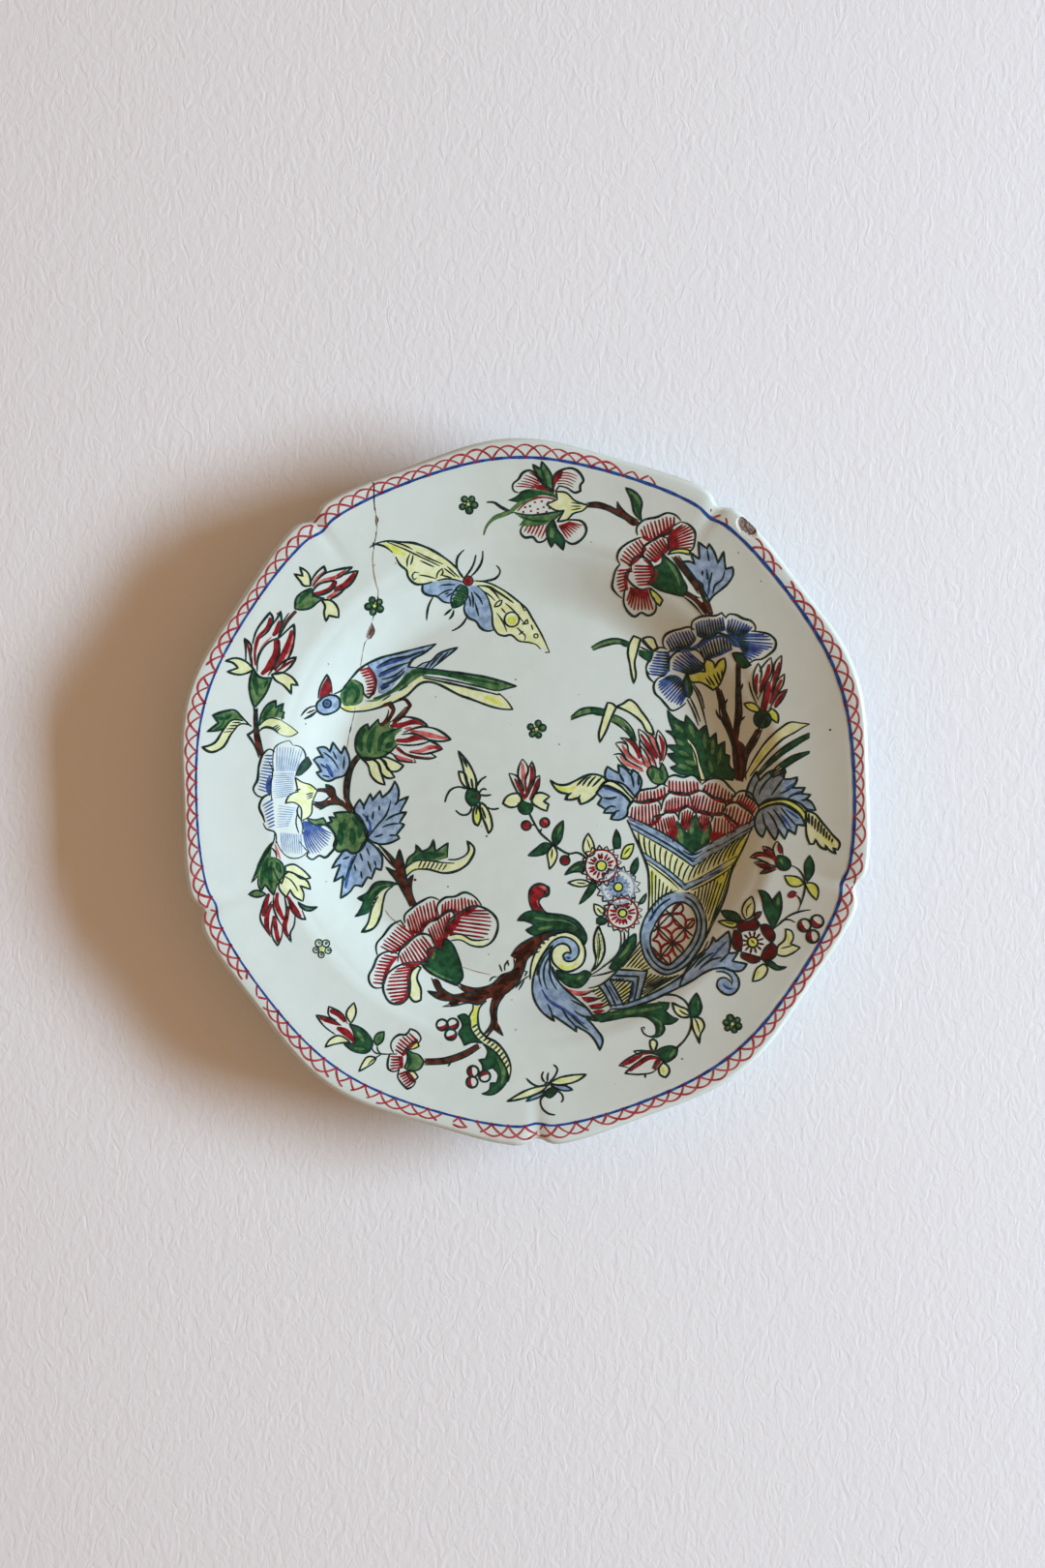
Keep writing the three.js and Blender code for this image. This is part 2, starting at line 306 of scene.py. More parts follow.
# %% From the photo to the plate
RAY_ROUNDS = 7


def on_plate(pixels):
    """The (x, y) spots in millimetres where the camera's rays through these pixels meet the glaze."""
    pixels = np.asarray(pixels, dtype=float)
    height = np.full(len(pixels), rim_line)
    for _ in range(RAY_ROUNDS):
        scale = (CAMERA_HEIGHT - height) / FOCAL_PIXELS
        x = CAMERA_X + (pixels[:, 0] - PHOTO_WIDTH / 2) * scale
        y = CAMERA_Y + (PHOTO_HEIGHT / 2 - pixels[:, 1]) * scale
        height = face_height(np.column_stack([x, y]))
    return np.column_stack([x, y])


pixel_size = CAMERA_HEIGHT / FOCAL_PIXELS
print("pixel 543, 818 falls on", np.round(on_plate([(543, 818)])[0], 1), "mm")
print("a pixel is about", round(pixel_size, 2), "mm on the table")

# %% [markdown]
# A brush line is given by a few points that it passes through. Between them runs a cubic curve whose
# heading at each point leans to the nearer neighbour. Where the line turns sharply, as at a leaf's tip,
# the point stays a corner.

# %% Curves through a few points
CORNER = math.cos(math.radians(66))
STEP_PIXELS = 1.8


def unit(vector):
    return vector / max(float(np.hypot(*vector)), 1e-9)


def headings(points, closed):
    """For each point, the way in and the way out."""
    count = len(points)
    ways = []
    for i in range(count):
        back = points[i] - points[i - 1]
        ahead = points[(i + 1) % count] - points[i]
        end = not closed and i in (0, count - 1)
        if end or unit(back) @ unit(ahead) < CORNER:
            ways.append([None, None])
        else:
            way = unit(unit(back) / np.hypot(*back) + unit(ahead) / np.hypot(*ahead))
            ways.append([way, way])
    return ways


print("a bend sharper than", round(math.degrees(math.acos(CORNER))), "degrees stays a corner")

# %% The curve itself
def smooth_curve(points, closed=False, gap=STEP_PIXELS):
    """A cubic curve through the points, as spots a small gap apart, in pixels."""
    points = np.array(points, dtype=float)
    ways = headings(points, closed)
    count = len(points)
    out = []
    for i in range(count if closed else count - 1):
        here = points[i]
        there = points[(i + 1) % count]
        chord = there - here
        reach = float(np.hypot(*chord))
        leave = ways[i][1]
        arrive = ways[(i + 1) % count][0]
        if leave is None and arrive is None:
            leave = arrive = unit(chord)
        elif leave is None:
            leave = unit(1.5 * unit(chord) - 0.5 * arrive)
        elif arrive is None:
            arrive = unit(1.5 * unit(chord) - 0.5 * leave)
        steps = max(1, round(reach / gap))
        t = (np.arange(steps) / steps)[:, None]
        back = 1 - t
        out.append(
            here * (1 + 2 * t) * back**2
            + there * (3 - 2 * t) * t**2
            + leave * reach * t * back**2
            - arrive * reach * back * t**2
        )
    if not closed:
        out.append(points[-1:])
    return np.vstack(out)


print("a curve through 3 points has", len(smooth_curve([(0, 0), (40, 10), (60, 50)])), "spots")

# %% [markdown]
# Each colour gathers its lines and washes in one mesh. A scale of colour is closed: its top lies over the
# glaze, its underside a little inside the glaze. Its normals are those of the plate's face, so it takes
# the light as one skin with the glaze, which is how colour that has sunk into a glaze looks. The lifts
# are millimetres over the glaze.

# %% Paints
LIFT_WASH = 0.03
LIFT_TINT = 0.04
LIFT_SHADE = 0.05
LIFT_LINE = 0.07
LIFT_TOP = 0.09
SUNK = -0.08


class Paint:
    """One fired colour of the painting."""

    def __init__(self, name):
        self.name = name
        self.spots = []
        self.lifts = []
        self.faces = []
        self.count = 0

    def add(self, spots, lifts, faces):
        """Takes in one more scale of this colour."""
        self.spots.append(spots)
        self.lifts.append(lifts)
        self.faces += [tuple(self.count + v for v in face) for face in faces]
        self.count += len(spots)


ink = Paint("ink_lines")
crimson = Paint("crimson_strokes")
dark_crimson = Paint("dark_crimson_petals")
rose = Paint("rose_strokes")
deep_green = Paint("deep_green_leaves")
leaf_green = Paint("light_green_leaves")
blue = Paint("pale_blue_washes")
deep_blue = Paint("deep_blue_strokes")
straw = Paint("pale_yellow_washes")
yellow = Paint("strong_yellow_strokes")
brown = Paint("brown_branches")
dark_brown = Paint("dark_brown_shading")
crack_stain = Paint("brown_stains")
border_blue = Paint("blue_border_line")
border_red = Paint("red_border_net")
paints = [ink, crimson, dark_crimson, rose, deep_green, leaf_green, blue, deep_blue, straw, yellow, brown,
    dark_brown, border_blue, border_red, crack_stain]


def show_progress(part):
    """Prints how many points of colour the painting has, once a part of it is done."""
    print(part + ": the painting has", sum(paint.count for paint in paints), "points so far")


print("the palette has", len(paints), "colours")

# %% [markdown]
# A brush line is a narrow scale with four points at each step: two on the glaze's surface and two sunk in
# it. Its width follows how hard the brush bears, and it sways a little, as a hand does. A bevelled curve
# would be quicker to write, but it would stand up from the glaze as a round cord does. Places and widths
# are given in pixels of the photo.

# %% A brush line
hand = random.Random(7)
INK_BOLDER = 1.22
TIP_PRESS = 0.55
SWAY = 0.1
SWAY_PER_STEP = 0.45


def line(points, width=2.2, press=(0.55, 1.0, 0.5), paint=None, closed=False, lift=LIFT_LINE):
    """A brush line. press is how hard the brush bears at the start, the middle and the end."""
    paint = paint or ink
    if paint is ink:
        width = width * INK_BOLDER
    path = smooth_curve(points, closed)
    ahead = np.roll(path, -1, axis=0) - path
    if not closed:
        ahead[-1] = ahead[-2]
    ahead /= np.maximum(np.hypot(ahead[:, 0], ahead[:, 1]), 1e-9)[:, None]
    back = np.roll(ahead, 1, axis=0)
    if not closed:
        back[0] = ahead[0]
    along = ahead + back
    along /= np.maximum(np.hypot(along[:, 0], along[:, 1]), 1e-9)[:, None]
    side = np.column_stack([along[:, 1], -along[:, 0]])
    count = len(path)
    t = np.linspace(0, 1, count)
    if closed:
        bear = np.ones(count)
    else:
        bear = np.interp(t, [0, 0.35, 0.65, 1], [press[0], press[1], press[1], press[2]])
        bear[0] *= TIP_PRESS
        bear[-1] *= TIP_PRESS
    sway = hand.uniform(0, 6.3)
    bear = bear * (1 + SWAY * np.sin(t * count * SWAY_PER_STEP + sway))
    half = (width / 2 * bear)[:, None]
    left = on_plate(path + side * half)
    right = on_plate(path - side * half)
    spots = np.stack([left, right, left, right], axis=1).reshape(-1, 2)
    lifts = np.tile([lift, lift, SUNK, SUNK], count)
    faces = []
    for i in range(count if closed else count - 1):
        a = 4 * i
        b = 4 * ((i + 1) % count)
        faces += [(a, a + 1, b + 1, b), (a + 3, a + 2, b + 2, b + 3)]
        faces += [(a + 2, a, b, b + 2), (a + 1, a + 3, b + 3, b + 1)]
    if not closed:
        end = 4 * (count - 1)
        faces += [(0, 2, 3, 1), (end, end + 1, end + 3, end + 2)]
    paint.add(spots, lifts, faces)


print("an ink line of width 2 is", round(2 * INK_BOLDER * pixel_size, 2), "mm wide")

# %% Strokes side by side
def along(curve, share):
    """The spot at a share of the way along a curve's points."""
    place = share * (len(curve) - 1)
    before = min(int(place), len(curve) - 2)
    return curve[before] + (curve[before + 1] - curve[before]) * (place - before)


def stripes(paint, near, far, count, width=1.8, press=(1.0, 0.85, 0.4), lift=LIFT_SHADE, bow=0.0,
        reach=1.0):
    """Strokes side by side, each from a place on the near curve towards the same place on the far curve."""
    near = smooth_curve(near)
    far = smooth_curve(far)
    for i in range(count):
        share = (i + 0.5) / count
        start = along(near, share)
        stop = along(far, share)
        stop = start + (stop - start) * reach * hand.uniform(0.93, 1.03)
        middle = (start + stop) / 2 + bow * np.array([start[1] - stop[1], stop[0] - start[0]])
        line([start, middle, stop], width * hand.uniform(0.9, 1.1), press, paint, lift=lift)


def tone(paint, points, width=2.2, press=(0.55, 1.0, 0.5)):
    """A stroke of a second colour inside a form, under its dark outline."""
    line(points, width, press, paint, lift=LIFT_SHADE)


def petal_strokes(paint, near, far, count, width=2.2, base=4.0):
    """Strokes that start broad in a band of colour along a petal's base and thin out towards its tip."""
    stripes(paint, near, far, count, width, (1.35, 1.0, 0.75))
    tone(paint, near, base, (0.8, 1.0, 0.8))


middle = along(smooth_curve([(0, 0), (10, 0)]), 0.5)
print("half way along a straight curve of 10 pixels lies", np.round(middle, 1))

# %% [markdown]
# A wash fills an outline. Its inside needs points too, or its flat triangles would cut through the curved
# wall of the plate, so a grid of them is laid in and the whole is joined by a triangulation that keeps
# the outline.

# %% Washes
GRID_PIXELS = 4


def wash(paint, outline, lift=LIFT_WASH, smooth=True):
    """A field of colour inside a closed outline. A grid of points inside lets it follow the curved face."""
    rim = smooth_curve(outline, closed=True) if smooth else np.array(outline, dtype=float)
    low = rim.min(axis=0)
    high = rim.max(axis=0)
    columns = np.arange(low[0], high[0], GRID_PIXELS)
    rows = np.arange(low[1], high[1], GRID_PIXELS)
    inner = [(x, y) for x in columns for y in rows]
    points = [Vector(p) for p in rim.tolist()] + [Vector(p) for p in inner]
    loop = list(range(len(rim)))
    found = delaunay_2d_cdt(points, [], [loop], 1, 1e-4)
    faces = [tuple(face) for face in found[2]]
    used = sorted({v for face in faces for v in face})
    place = {v: i for i, v in enumerate(used)}
    faces = [tuple(place[v] for v in face) for face in faces]
    flat = np.array([found[0][v] for v in used])
    a, b, c = (flat[v] for v in faces[0])
    if (b[0] - a[0]) * (c[1] - a[1]) - (b[1] - a[1]) * (c[0] - a[0]) > 0:
        faces = [face[::-1] for face in faces]
    edges = {(face[i - 1], face[i]) for face in faces for i in range(3)}
    border = [edge for edge in edges if edge[::-1] not in edges]
    count = len(used)
    shell = faces + [tuple(v + count for v in face[::-1]) for face in faces]
    shell += [(end, start, start + count, end + count) for start, end in border]
    spots = on_plate(flat)
    lifts = np.concatenate([np.full(count, lift), np.full(count, SUNK)])
    paint.add(np.vstack([spots, spots]), lifts, shell)


print("a wash has a point every", round(GRID_PIXELS * pixel_size, 1), "mm inside")

# %% Dots and rings
DOT_CORNERS = 10


def dot(paint, x, y, width=2.4, height=None, turn=0.0, lift=LIFT_SHADE):
    """A touch of the brush: a small oval."""
    height = height or width
    oval = []
    for i in range(DOT_CORNERS):
        angle = 2 * math.pi * i / DOT_CORNERS
        u = math.cos(angle) * width / 2
        v = math.sin(angle) * height / 2
        oval.append((x + u * math.cos(turn) - v * math.sin(turn),
            y + u * math.sin(turn) + v * math.cos(turn)))
    wash(paint, oval, lift, smooth=False)


def dots(paint, places, width=2.4, lift=LIFT_SHADE):
    """Dots of uneven size at these places."""
    for x, y in places:
        dot(paint, x, y, width * hand.uniform(0.85, 1.15), width * hand.uniform(0.75, 1.1), lift=lift)


def ring_mark(x, y, radius, width=1.2, paint=None):
    """A round outline."""
    around = [(x + radius * math.cos(a), y + radius * math.sin(a)) for a in np.arange(0, 6.2, 0.785)]
    line(around, width, paint=paint, closed=True)


print("a dot has", DOT_CORNERS, "corners")

# %% Outlined forms and florets
def shape(paint, outline, width=1.9, shade=None):
    """A filled form with its dark outline. shade adds a second colour along given strokes."""
    wash(paint, outline)
    line(outline, width, closed=True)
    for colour, stroke, wide in shade or []:
        tone(colour, stroke, wide, (0.5, 1.0, 0.4))


def floret(x, y, reach, turn, petals, paint):
    """A small flower of round petals about a yellow heart. With no paint its petals stay white."""
    for i in range(petals):
        angle = turn + 2 * math.pi * i / petals + hand.uniform(-0.12, 0.12)
        size = reach * hand.uniform(0.95, 1.15)
        px = x + reach * math.cos(angle)
        py = y + reach * math.sin(angle)
        if paint:
            dot(paint, px, py, size, size, angle, LIFT_WASH)
        dot(leaf_green, px + 0.4, py - 0.4, size * 0.6, size * 0.45, angle, LIFT_SHADE)
        ring_mark(px, py, size * 0.5, 1.2)
    dot(paint or straw, x, y, reach * 0.9, lift=LIFT_SHADE)
    dot(yellow, x, y, reach * 0.5, lift=LIFT_TOP)


print("the brush is ready, with", len(paints), "colours")

# %% [markdown]
# The flowers along the top edge. White petals are bare glaze: only their outline and their crimson
# stripes are painted, each stripe pulled from the heart of the flower outwards.

# %% The flower at the top
def top_flower():
    line([(573, 508), (571, 497), (573, 491), (582, 485), (592, 484), (601, 491), (603, 497), (600, 501),
        (600, 507), (595, 509), (586, 504), (578, 502), (574, 508)])
    wash(crimson, [(573, 505), (572, 494), (582, 486), (580, 493), (575, 499)])
    stripes(crimson, [(576, 488), (576, 501)], [(599, 491), (592, 505)], 5, 1.6, bow=-0.1)
    line([(571, 506), (562, 499), (556, 492), (547, 486), (541, 488), (536, 495), (530, 501), (531, 507),
        (536, 509)])
    tone(crimson, [(547, 488), (555, 493), (562, 502), (573, 509)], 2.2)
    stripes(crimson, [(560, 498), (552, 505)], [(543, 489), (531, 504)], 5, 1.8, bow=0.03)
    wash(crimson, [(548, 502), (560, 501), (573, 509), (560, 507)])
    shape(leaf_green, [(551, 480), (554, 489), (562, 501), (571, 508), (571, 494), (566, 484), (560, 477),
        (559, 485)], shade=[(deep_green, [(566, 505), (562, 493), (559, 483)], 4),
        (deep_green, [(556, 492), (553, 485)], 2)])
    wash(deep_green, [(525, 517), (536, 512), (541, 508), (556, 506), (573, 510), (575, 515), (558, 512),
        (545, 519)])
    line([(536, 509), (545, 506), (560, 507), (574, 511)], 1.4, paint=leaf_green)
    line([(525, 517), (534, 513), (540, 508), (556, 506)], 1.2)
    line([(535, 528), (546, 518), (557, 514), (574, 516)], 2.2, (0.5, 1, 0.7), crimson)
    dots(crimson, [(543, 524), (548, 523), (553, 519), (560, 518), (567, 519), (541, 529), (549, 528),
        (556, 526), (562, 524), (568, 525), (565, 529), (556, 530)], 2.6)
    line([(552, 515), (538, 520), (527, 529), (510, 536), (503, 544), (500, 553)], 4.6, (0.6, 1, 0.3),
        leaf_green)
    line([(530, 526), (512, 534), (504, 541), (500, 553)], 1.2)
    line([(503, 519), (510, 519), (518, 524), (530, 530)], 2.8, (0.5, 0.9, 1))
    wash(leaf_green, [(528, 528), (545, 532), (562, 531), (582, 527), (574, 537), (560, 543), (536, 543),
        (541, 537)])
    line([(530, 529), (545, 532), (562, 531), (583, 527), (574, 536)], 1.8)
    tone(deep_green, [(538, 533), (552, 538), (568, 538)], 2.4)
    line([(541, 543), (538, 549), (542, 555), (551, 555), (556, 560), (562, 559), (566, 554)])
    stripes(crimson, [(544, 543), (568, 542)], [(540, 549), (561, 558)], 6, 2.2)
    shape(deep_green, [(572, 537), (566, 545), (566, 556), (570, 565), (573, 559), (582, 568), (583, 558),
        (576, 547)])
    wash(leaf_green, [(569, 545), (568, 555), (572, 556), (573, 547)], LIFT_SHADE)
    line([(577, 539), (590, 537), (603, 540), (606, 546), (599, 559), (592, 562), (584, 558), (577, 548)])
    stripes(crimson, [(577, 543), (588, 539)], [(586, 558), (604, 542)], 7, 2.2)
    shape(straw, [(575, 508), (585, 509), (594, 517), (608, 522), (603, 527), (592, 531), (586, 537),
        (576, 539), (583, 528), (574, 527), (565, 521), (576, 516)], 1.6,
        [(yellow, [(590, 528), (604, 522)], 3)])
    for y in (519, 523, 527):
        line([(590, y), (601, 521 + (y - 519) * 0.5)], 1.2)


top_flower()
show_progress("the flower at the top")

# %% The branch along the top
def top_branch():
    wash(brown, [(608, 520), (622, 520), (638, 526), (639, 519), (645, 528), (662, 540), (658, 543),
        (640, 533), (622, 525), (607, 524)])
    line([(606, 520), (618, 519), (630, 523), (638, 527), (638, 518)], 1.6)
    line([(638, 518), (643, 526), (660, 538)], 1.6)
    line([(607, 524), (622, 525), (640, 533), (659, 543)], 1.8)
    shape(leaf_green, [(647, 504), (657, 509), (663, 517), (662, 531), (663, 538), (656, 530), (653, 518)],
        shade=[(deep_green, [(661, 534), (657, 520), (652, 510)], 4)])


top_branch()
show_progress("the branch along the top")

# %% [markdown]
# The left spray: two red buds, a pair of folded leaves and a blue and white flower on one brown twig. A
# folded leaf shows its green face and its pale yellow back, so it's two washes with one outline each.

# %% The outer red bud
def outer_bud():
    shape(leaf_green, [(322, 608), (314, 611), (307, 617), (305, 629), (312, 630), (321, 628), (330, 621),
        (335, 618), (325, 615)], 1.8, [(deep_green, [(309, 624), (314, 616), (322, 610)], 5)])
    shape(straw, [(321, 605), (319, 593), (310, 586), (313, 595), (304, 593), (310, 600), (314, 605)])
    shape(straw, [(332, 620), (343, 621), (349, 628), (350, 638), (340, 636), (337, 642), (335, 633),
        (336, 626)])
    tone(rose, [(323, 604), (329, 597), (336, 590)], 4, (0.5, 1, 0.6))
    line([(321, 602), (327, 592), (335, 585), (337, 591), (329, 598), (323, 606)])
    tone(rose, [(324, 608), (334, 600), (346, 597), (359, 589)], 5, (0.6, 0.8, 0.9))
    tone(crimson, [(345, 598), (352, 594), (359, 589)], 5, (0.5, 1, 0.7))
    tone(crimson, [(324, 614), (333, 612), (342, 608), (347, 600)], 5, (0.7, 1, 1))
    tone(crimson, [(345, 609), (353, 606), (360, 600), (367, 592)], 5, (0.8, 1, 0.7))
    tone(rose, [(338, 618), (346, 613), (352, 608)], 3, (1, 1, 0.6))
    line([(331, 596), (337, 592), (347, 589), (364, 586), (356, 593), (347, 598)])
    line([(322, 613), (329, 604), (338, 601), (347, 600)])
    line([(322, 616), (334, 614), (344, 608), (348, 600)])
    line([(356, 594), (363, 591), (370, 590), (365, 600), (358, 607), (345, 611)])
    line([(340, 620), (350, 614), (358, 607)])
    line([(306, 631), (299, 638), (293, 647), (288, 658)], 3.4, (1, 0.8, 0.5), brown, lift=LIFT_WASH)
    line([(299, 633), (292, 644), (288, 656)], 1.4)
    line([(307, 632), (298, 642), (289, 658)], 1.4)


outer_bud()
show_progress("the outer red bud")

# %% The large red bud
def inner_bud():
    tone(crimson, [(255, 663), (258, 674), (261, 690)], 3, (0.6, 1, 0.6))
    line([(254, 684), (254, 670), (253, 660), (259, 666), (259, 680), (262, 691)])
    tone(crimson, [(280, 638), (277, 647), (267, 659), (264, 670), (264, 688)], 4, (1, 0.9, 0.4))
    line([(261, 666), (265, 652), (274, 639), (279, 633), (282, 638), (279, 649), (268, 660)])
    tone(crimson, [(289, 641), (287, 650), (282, 657)], 5.5, (0.5, 1, 0.7))
    tone(rose, [(281, 658), (272, 667), (267, 677)], 2.2)
    line([(279, 648), (285, 641), (290, 632), (291, 644), (287, 660)])
    line([(286, 660), (286, 672), (281, 685), (270, 697)], 8, (0.7, 1, 0.5), crimson, lift=LIFT_WASH)
    line([(287, 659), (276, 665), (268, 676), (266, 694)])
    line([(287, 661), (289, 672), (286, 683), (277, 698)])
    tone(crimson, [(302, 651), (298, 664), (292, 678), (283, 692)], 5.5, (0.6, 1, 0.5))
    line([(303, 656), (300, 669), (293, 682)], 2, paint=rose, lift=LIFT_TOP)
    line([(288, 660), (297, 651), (304, 645), (304, 660), (300, 676), (290, 690)])
    tone(crimson, [(303, 682), (294, 688), (284, 695)], 3, (0.6, 1, 0.6))
    line([(284, 693), (294, 683), (306, 679), (300, 689), (292, 695), (284, 697)])
    dot(crimson, 287, 634, 2.4)
    shape(straw, [(262, 692), (255, 684), (242, 680), (233, 683), (241, 685), (246, 690), (235, 694),
        (249, 697)])
    shape(straw, [(281, 697), (292, 695), (301, 699), (308, 708), (301, 707), (301, 717), (293, 708),
        (284, 702)])
    shape(leaf_green, [(262, 690), (258, 704), (259, 720), (263, 731), (273, 719), (281, 700), (268, 699)],
        1.9, [(deep_green, [(263, 695), (264, 706), (266, 718)], 5.5),
        (deep_green, [(277, 702), (273, 711)], 3)])
    line([(264, 732), (264, 747), (265, 762), (270, 781)], 5, (0.7, 1, 0.9), brown, lift=LIFT_WASH)
    line([(262, 731), (261, 756), (256, 759), (262, 768), (268, 783)])
    line([(266, 731), (266, 748), (269, 766), (273, 780)])


inner_bud()
show_progress("the large red bud")

# %% The folded leaves
def folded_leaves():
    wash(leaf_green, [(220, 739), (238, 735), (246, 736), (253, 745), (240, 744), (229, 755), (214, 756),
        (226, 747)])
    tone(deep_green, [(222, 741), (234, 742), (240, 738)], 4)
    tone(deep_green, [(222, 754), (230, 748), (232, 742)], 3)
    line([(231, 753), (222, 755), (214, 756), (226, 747), (220, 739), (232, 735), (243, 734), (250, 741),
        (260, 751)])
    wash(straw, [(251, 745), (240, 744), (232, 753), (221, 768), (209, 772), (219, 777), (230, 772),
        (246, 750)])
    line([(251, 745), (240, 744), (231, 754), (221, 768), (209, 772), (218, 777), (229, 773), (240, 757),
        (249, 748), (260, 750)])
    stripes(ink, [(250, 745), (238, 757)], [(241, 745), (230, 758)], 4, 1.4, lift=LIFT_LINE)
    wash(leaf_green, [(268, 750), (271, 736), (278, 727), (285, 724), (285, 730), (293, 728), (294, 743),
        (277, 742)])
    tone(deep_green, [(272, 744), (277, 734), (283, 728)], 5)
    tone(deep_green, [(284, 741), (289, 731)], 3)
    line([(268, 750), (271, 736), (277, 728), (285, 724), (285, 731), (293, 727), (290, 735), (294, 736),
        (291, 744)])
    wash(straw, [(267, 756), (270, 748), (278, 742), (290, 744), (308, 757), (299, 761), (285, 755),
        (275, 751)])
    line([(268, 750), (278, 742), (290, 744)], 1.5)
    line([(290, 744), (301, 751), (308, 757), (299, 761), (288, 758)], 0.9)
    line([(267, 757), (272, 752), (280, 752), (288, 758)])
    stripes(ink, [(280, 752), (286, 757)], [(287, 748), (291, 752)], 3, 1.3, lift=LIFT_LINE)


folded_leaves()
show_progress("the folded leaves")

# %% [markdown]
# The flower at the left edge is white, with blue only as fine strokes from its heart. Such petals are
# bare glaze with an outline, and the strokes are laid side by side between two curves.

# %% The blue and white flower
def white_flower():
    line([(283, 797), (282, 784), (285, 771), (292, 767), (299, 765), (303, 770)], 1.0)
    line([(303, 770), (311, 772), (316, 782), (311, 793), (305, 802)], 1.3)
    stripes(blue, [(285, 797), (307, 797)], [(285, 770), (314, 775)], 10, 1.6)
    stripes(blue, [(304, 798), (303, 822)], [(283, 798), (282, 826)], 12, 1.4)
    stripes(blue, [(306, 834), (298, 854)], [(287, 831), (286, 856)], 9, 1.4)
    line([(284, 777), (279, 774), (273, 778), (268, 790), (266, 806), (262, 816), (266, 822), (273, 824)])
    stripes(deep_blue, [(282, 779), (282, 800), (279, 821)], [(274, 779), (269, 797), (265, 816)], 12, 1.8)
    wash(deep_blue, [(279, 800), (281, 812), (279, 823), (275, 816), (276, 805)])
    line([(277, 786), (281, 793), (280, 812), (281, 828)], 1.2)
    line([(280, 820), (272, 824), (268, 833), (272, 844), (274, 850)])
    stripes(deep_blue, [(282, 824), (284, 854)], [(271, 831), (277, 857)], 8, 1.8)
    line([(272, 850), (275, 856), (284, 860), (285, 872)], 1.4)
    line([(285, 866), (290, 878), (299, 886), (310, 886), (318, 880), (309, 869)], 1.0)
    stripes(blue, [(289, 860), (312, 862)], [(291, 881), (313, 884)], 10, 1.5)
    line([(319, 880), (317, 884), (322, 888), (331, 884), (335, 886), (342, 881), (348, 869), (344, 859),
        (337, 853), (325, 852)])
    wash(deep_blue, [(313, 848), (321, 850), (324, 854), (317, 860), (313, 856)])
    stripes(deep_blue, [(313, 860), (318, 855), (330, 853)], [(319, 882), (332, 880), (344, 860)], 12, 1.8,
        (1, 0.9, 0.5), bow=0.06)
    line([(308, 838), (306, 850), (309, 861)], 1.2)
    line([(311, 847), (313, 856), (312, 862)], 1.2)
    shape(deep_green, [(306, 801), (311, 789), (318, 782), (322, 789), (315, 797), (309, 801)], 1.4)
    shape(straw, [(305, 803), (312, 808), (321, 811), (328, 817), (323, 829), (321, 842), (311, 848),
        (309, 832), (303, 829), (295, 830), (300, 821), (308, 818)], 1.3,
        [(yellow, [(318, 812), (325, 817)], 3)])
    line([(309, 832), (307, 838), (311, 847)], 1.6)
    stripes(ink, [(324, 818), (323, 824)], [(315, 820), (317, 827)], 3, 1.3, lift=LIFT_LINE)
    line([(305, 817), (311, 815)], 1.4)
    shape(leaf_green, [(317, 845), (326, 847), (334, 845), (338, 851), (330, 853), (321, 850)], 1.5)


white_flower()
show_progress("the blue and white flower")

# %% The twig at the left
def left_twig():
    wash(brown, [(328, 815), (338, 815), (337, 811), (344, 813), (346, 822), (355, 828), (363, 837),
        (361, 841), (350, 831), (340, 831), (332, 836), (322, 830), (333, 828), (342, 826), (339, 821),
        (328, 818)])
    line([(328, 815), (338, 815), (337, 811), (345, 815), (347, 822), (356, 829)])
    line([(328, 818), (336, 818), (341, 823), (334, 828), (322, 828)], 1.5)
    line([(322, 831), (334, 832), (331, 836), (342, 831), (351, 831), (362, 841)])
    line([(371, 780), (363, 792), (359, 806), (358, 822), (364, 838)], 6, (0.6, 1, 1), brown,
        lift=LIFT_WASH)
    line([(369, 780), (361, 792), (357, 806), (356, 826)])
    line([(373, 782), (364, 796), (361, 812), (361, 828), (368, 840)])


left_twig()
show_progress("the twig at the left")

# %% The small blue flower
def small_blue_flower():
    shape(blue, [(328, 773), (336, 772), (341, 777), (344, 767), (350, 775), (353, 779), (356, 771),
        (361, 783), (361, 793), (356, 801), (347, 804), (340, 807), (332, 804), (327, 798), (332, 797),
        (328, 790), (324, 785), (332, 782), (334, 783), (331, 778)])
    tone(deep_blue, [(344, 803), (340, 795), (337, 789)], 4)
    line([(334, 777), (343, 784), (350, 795)], 1.6)
    for start, stop in (((344, 776), (348, 785)), ((356, 781), (355, 795)), ((331, 789), (338, 794)),
            ((333, 801), (341, 803))):
        line([start, stop], 1.6)


small_blue_flower()
show_progress("the small blue flower")

# %% [markdown]
# The butterfly and the bird are line work first. Their washes stay inside the lines, a little unevenly,
# as a quick brush leaves them.

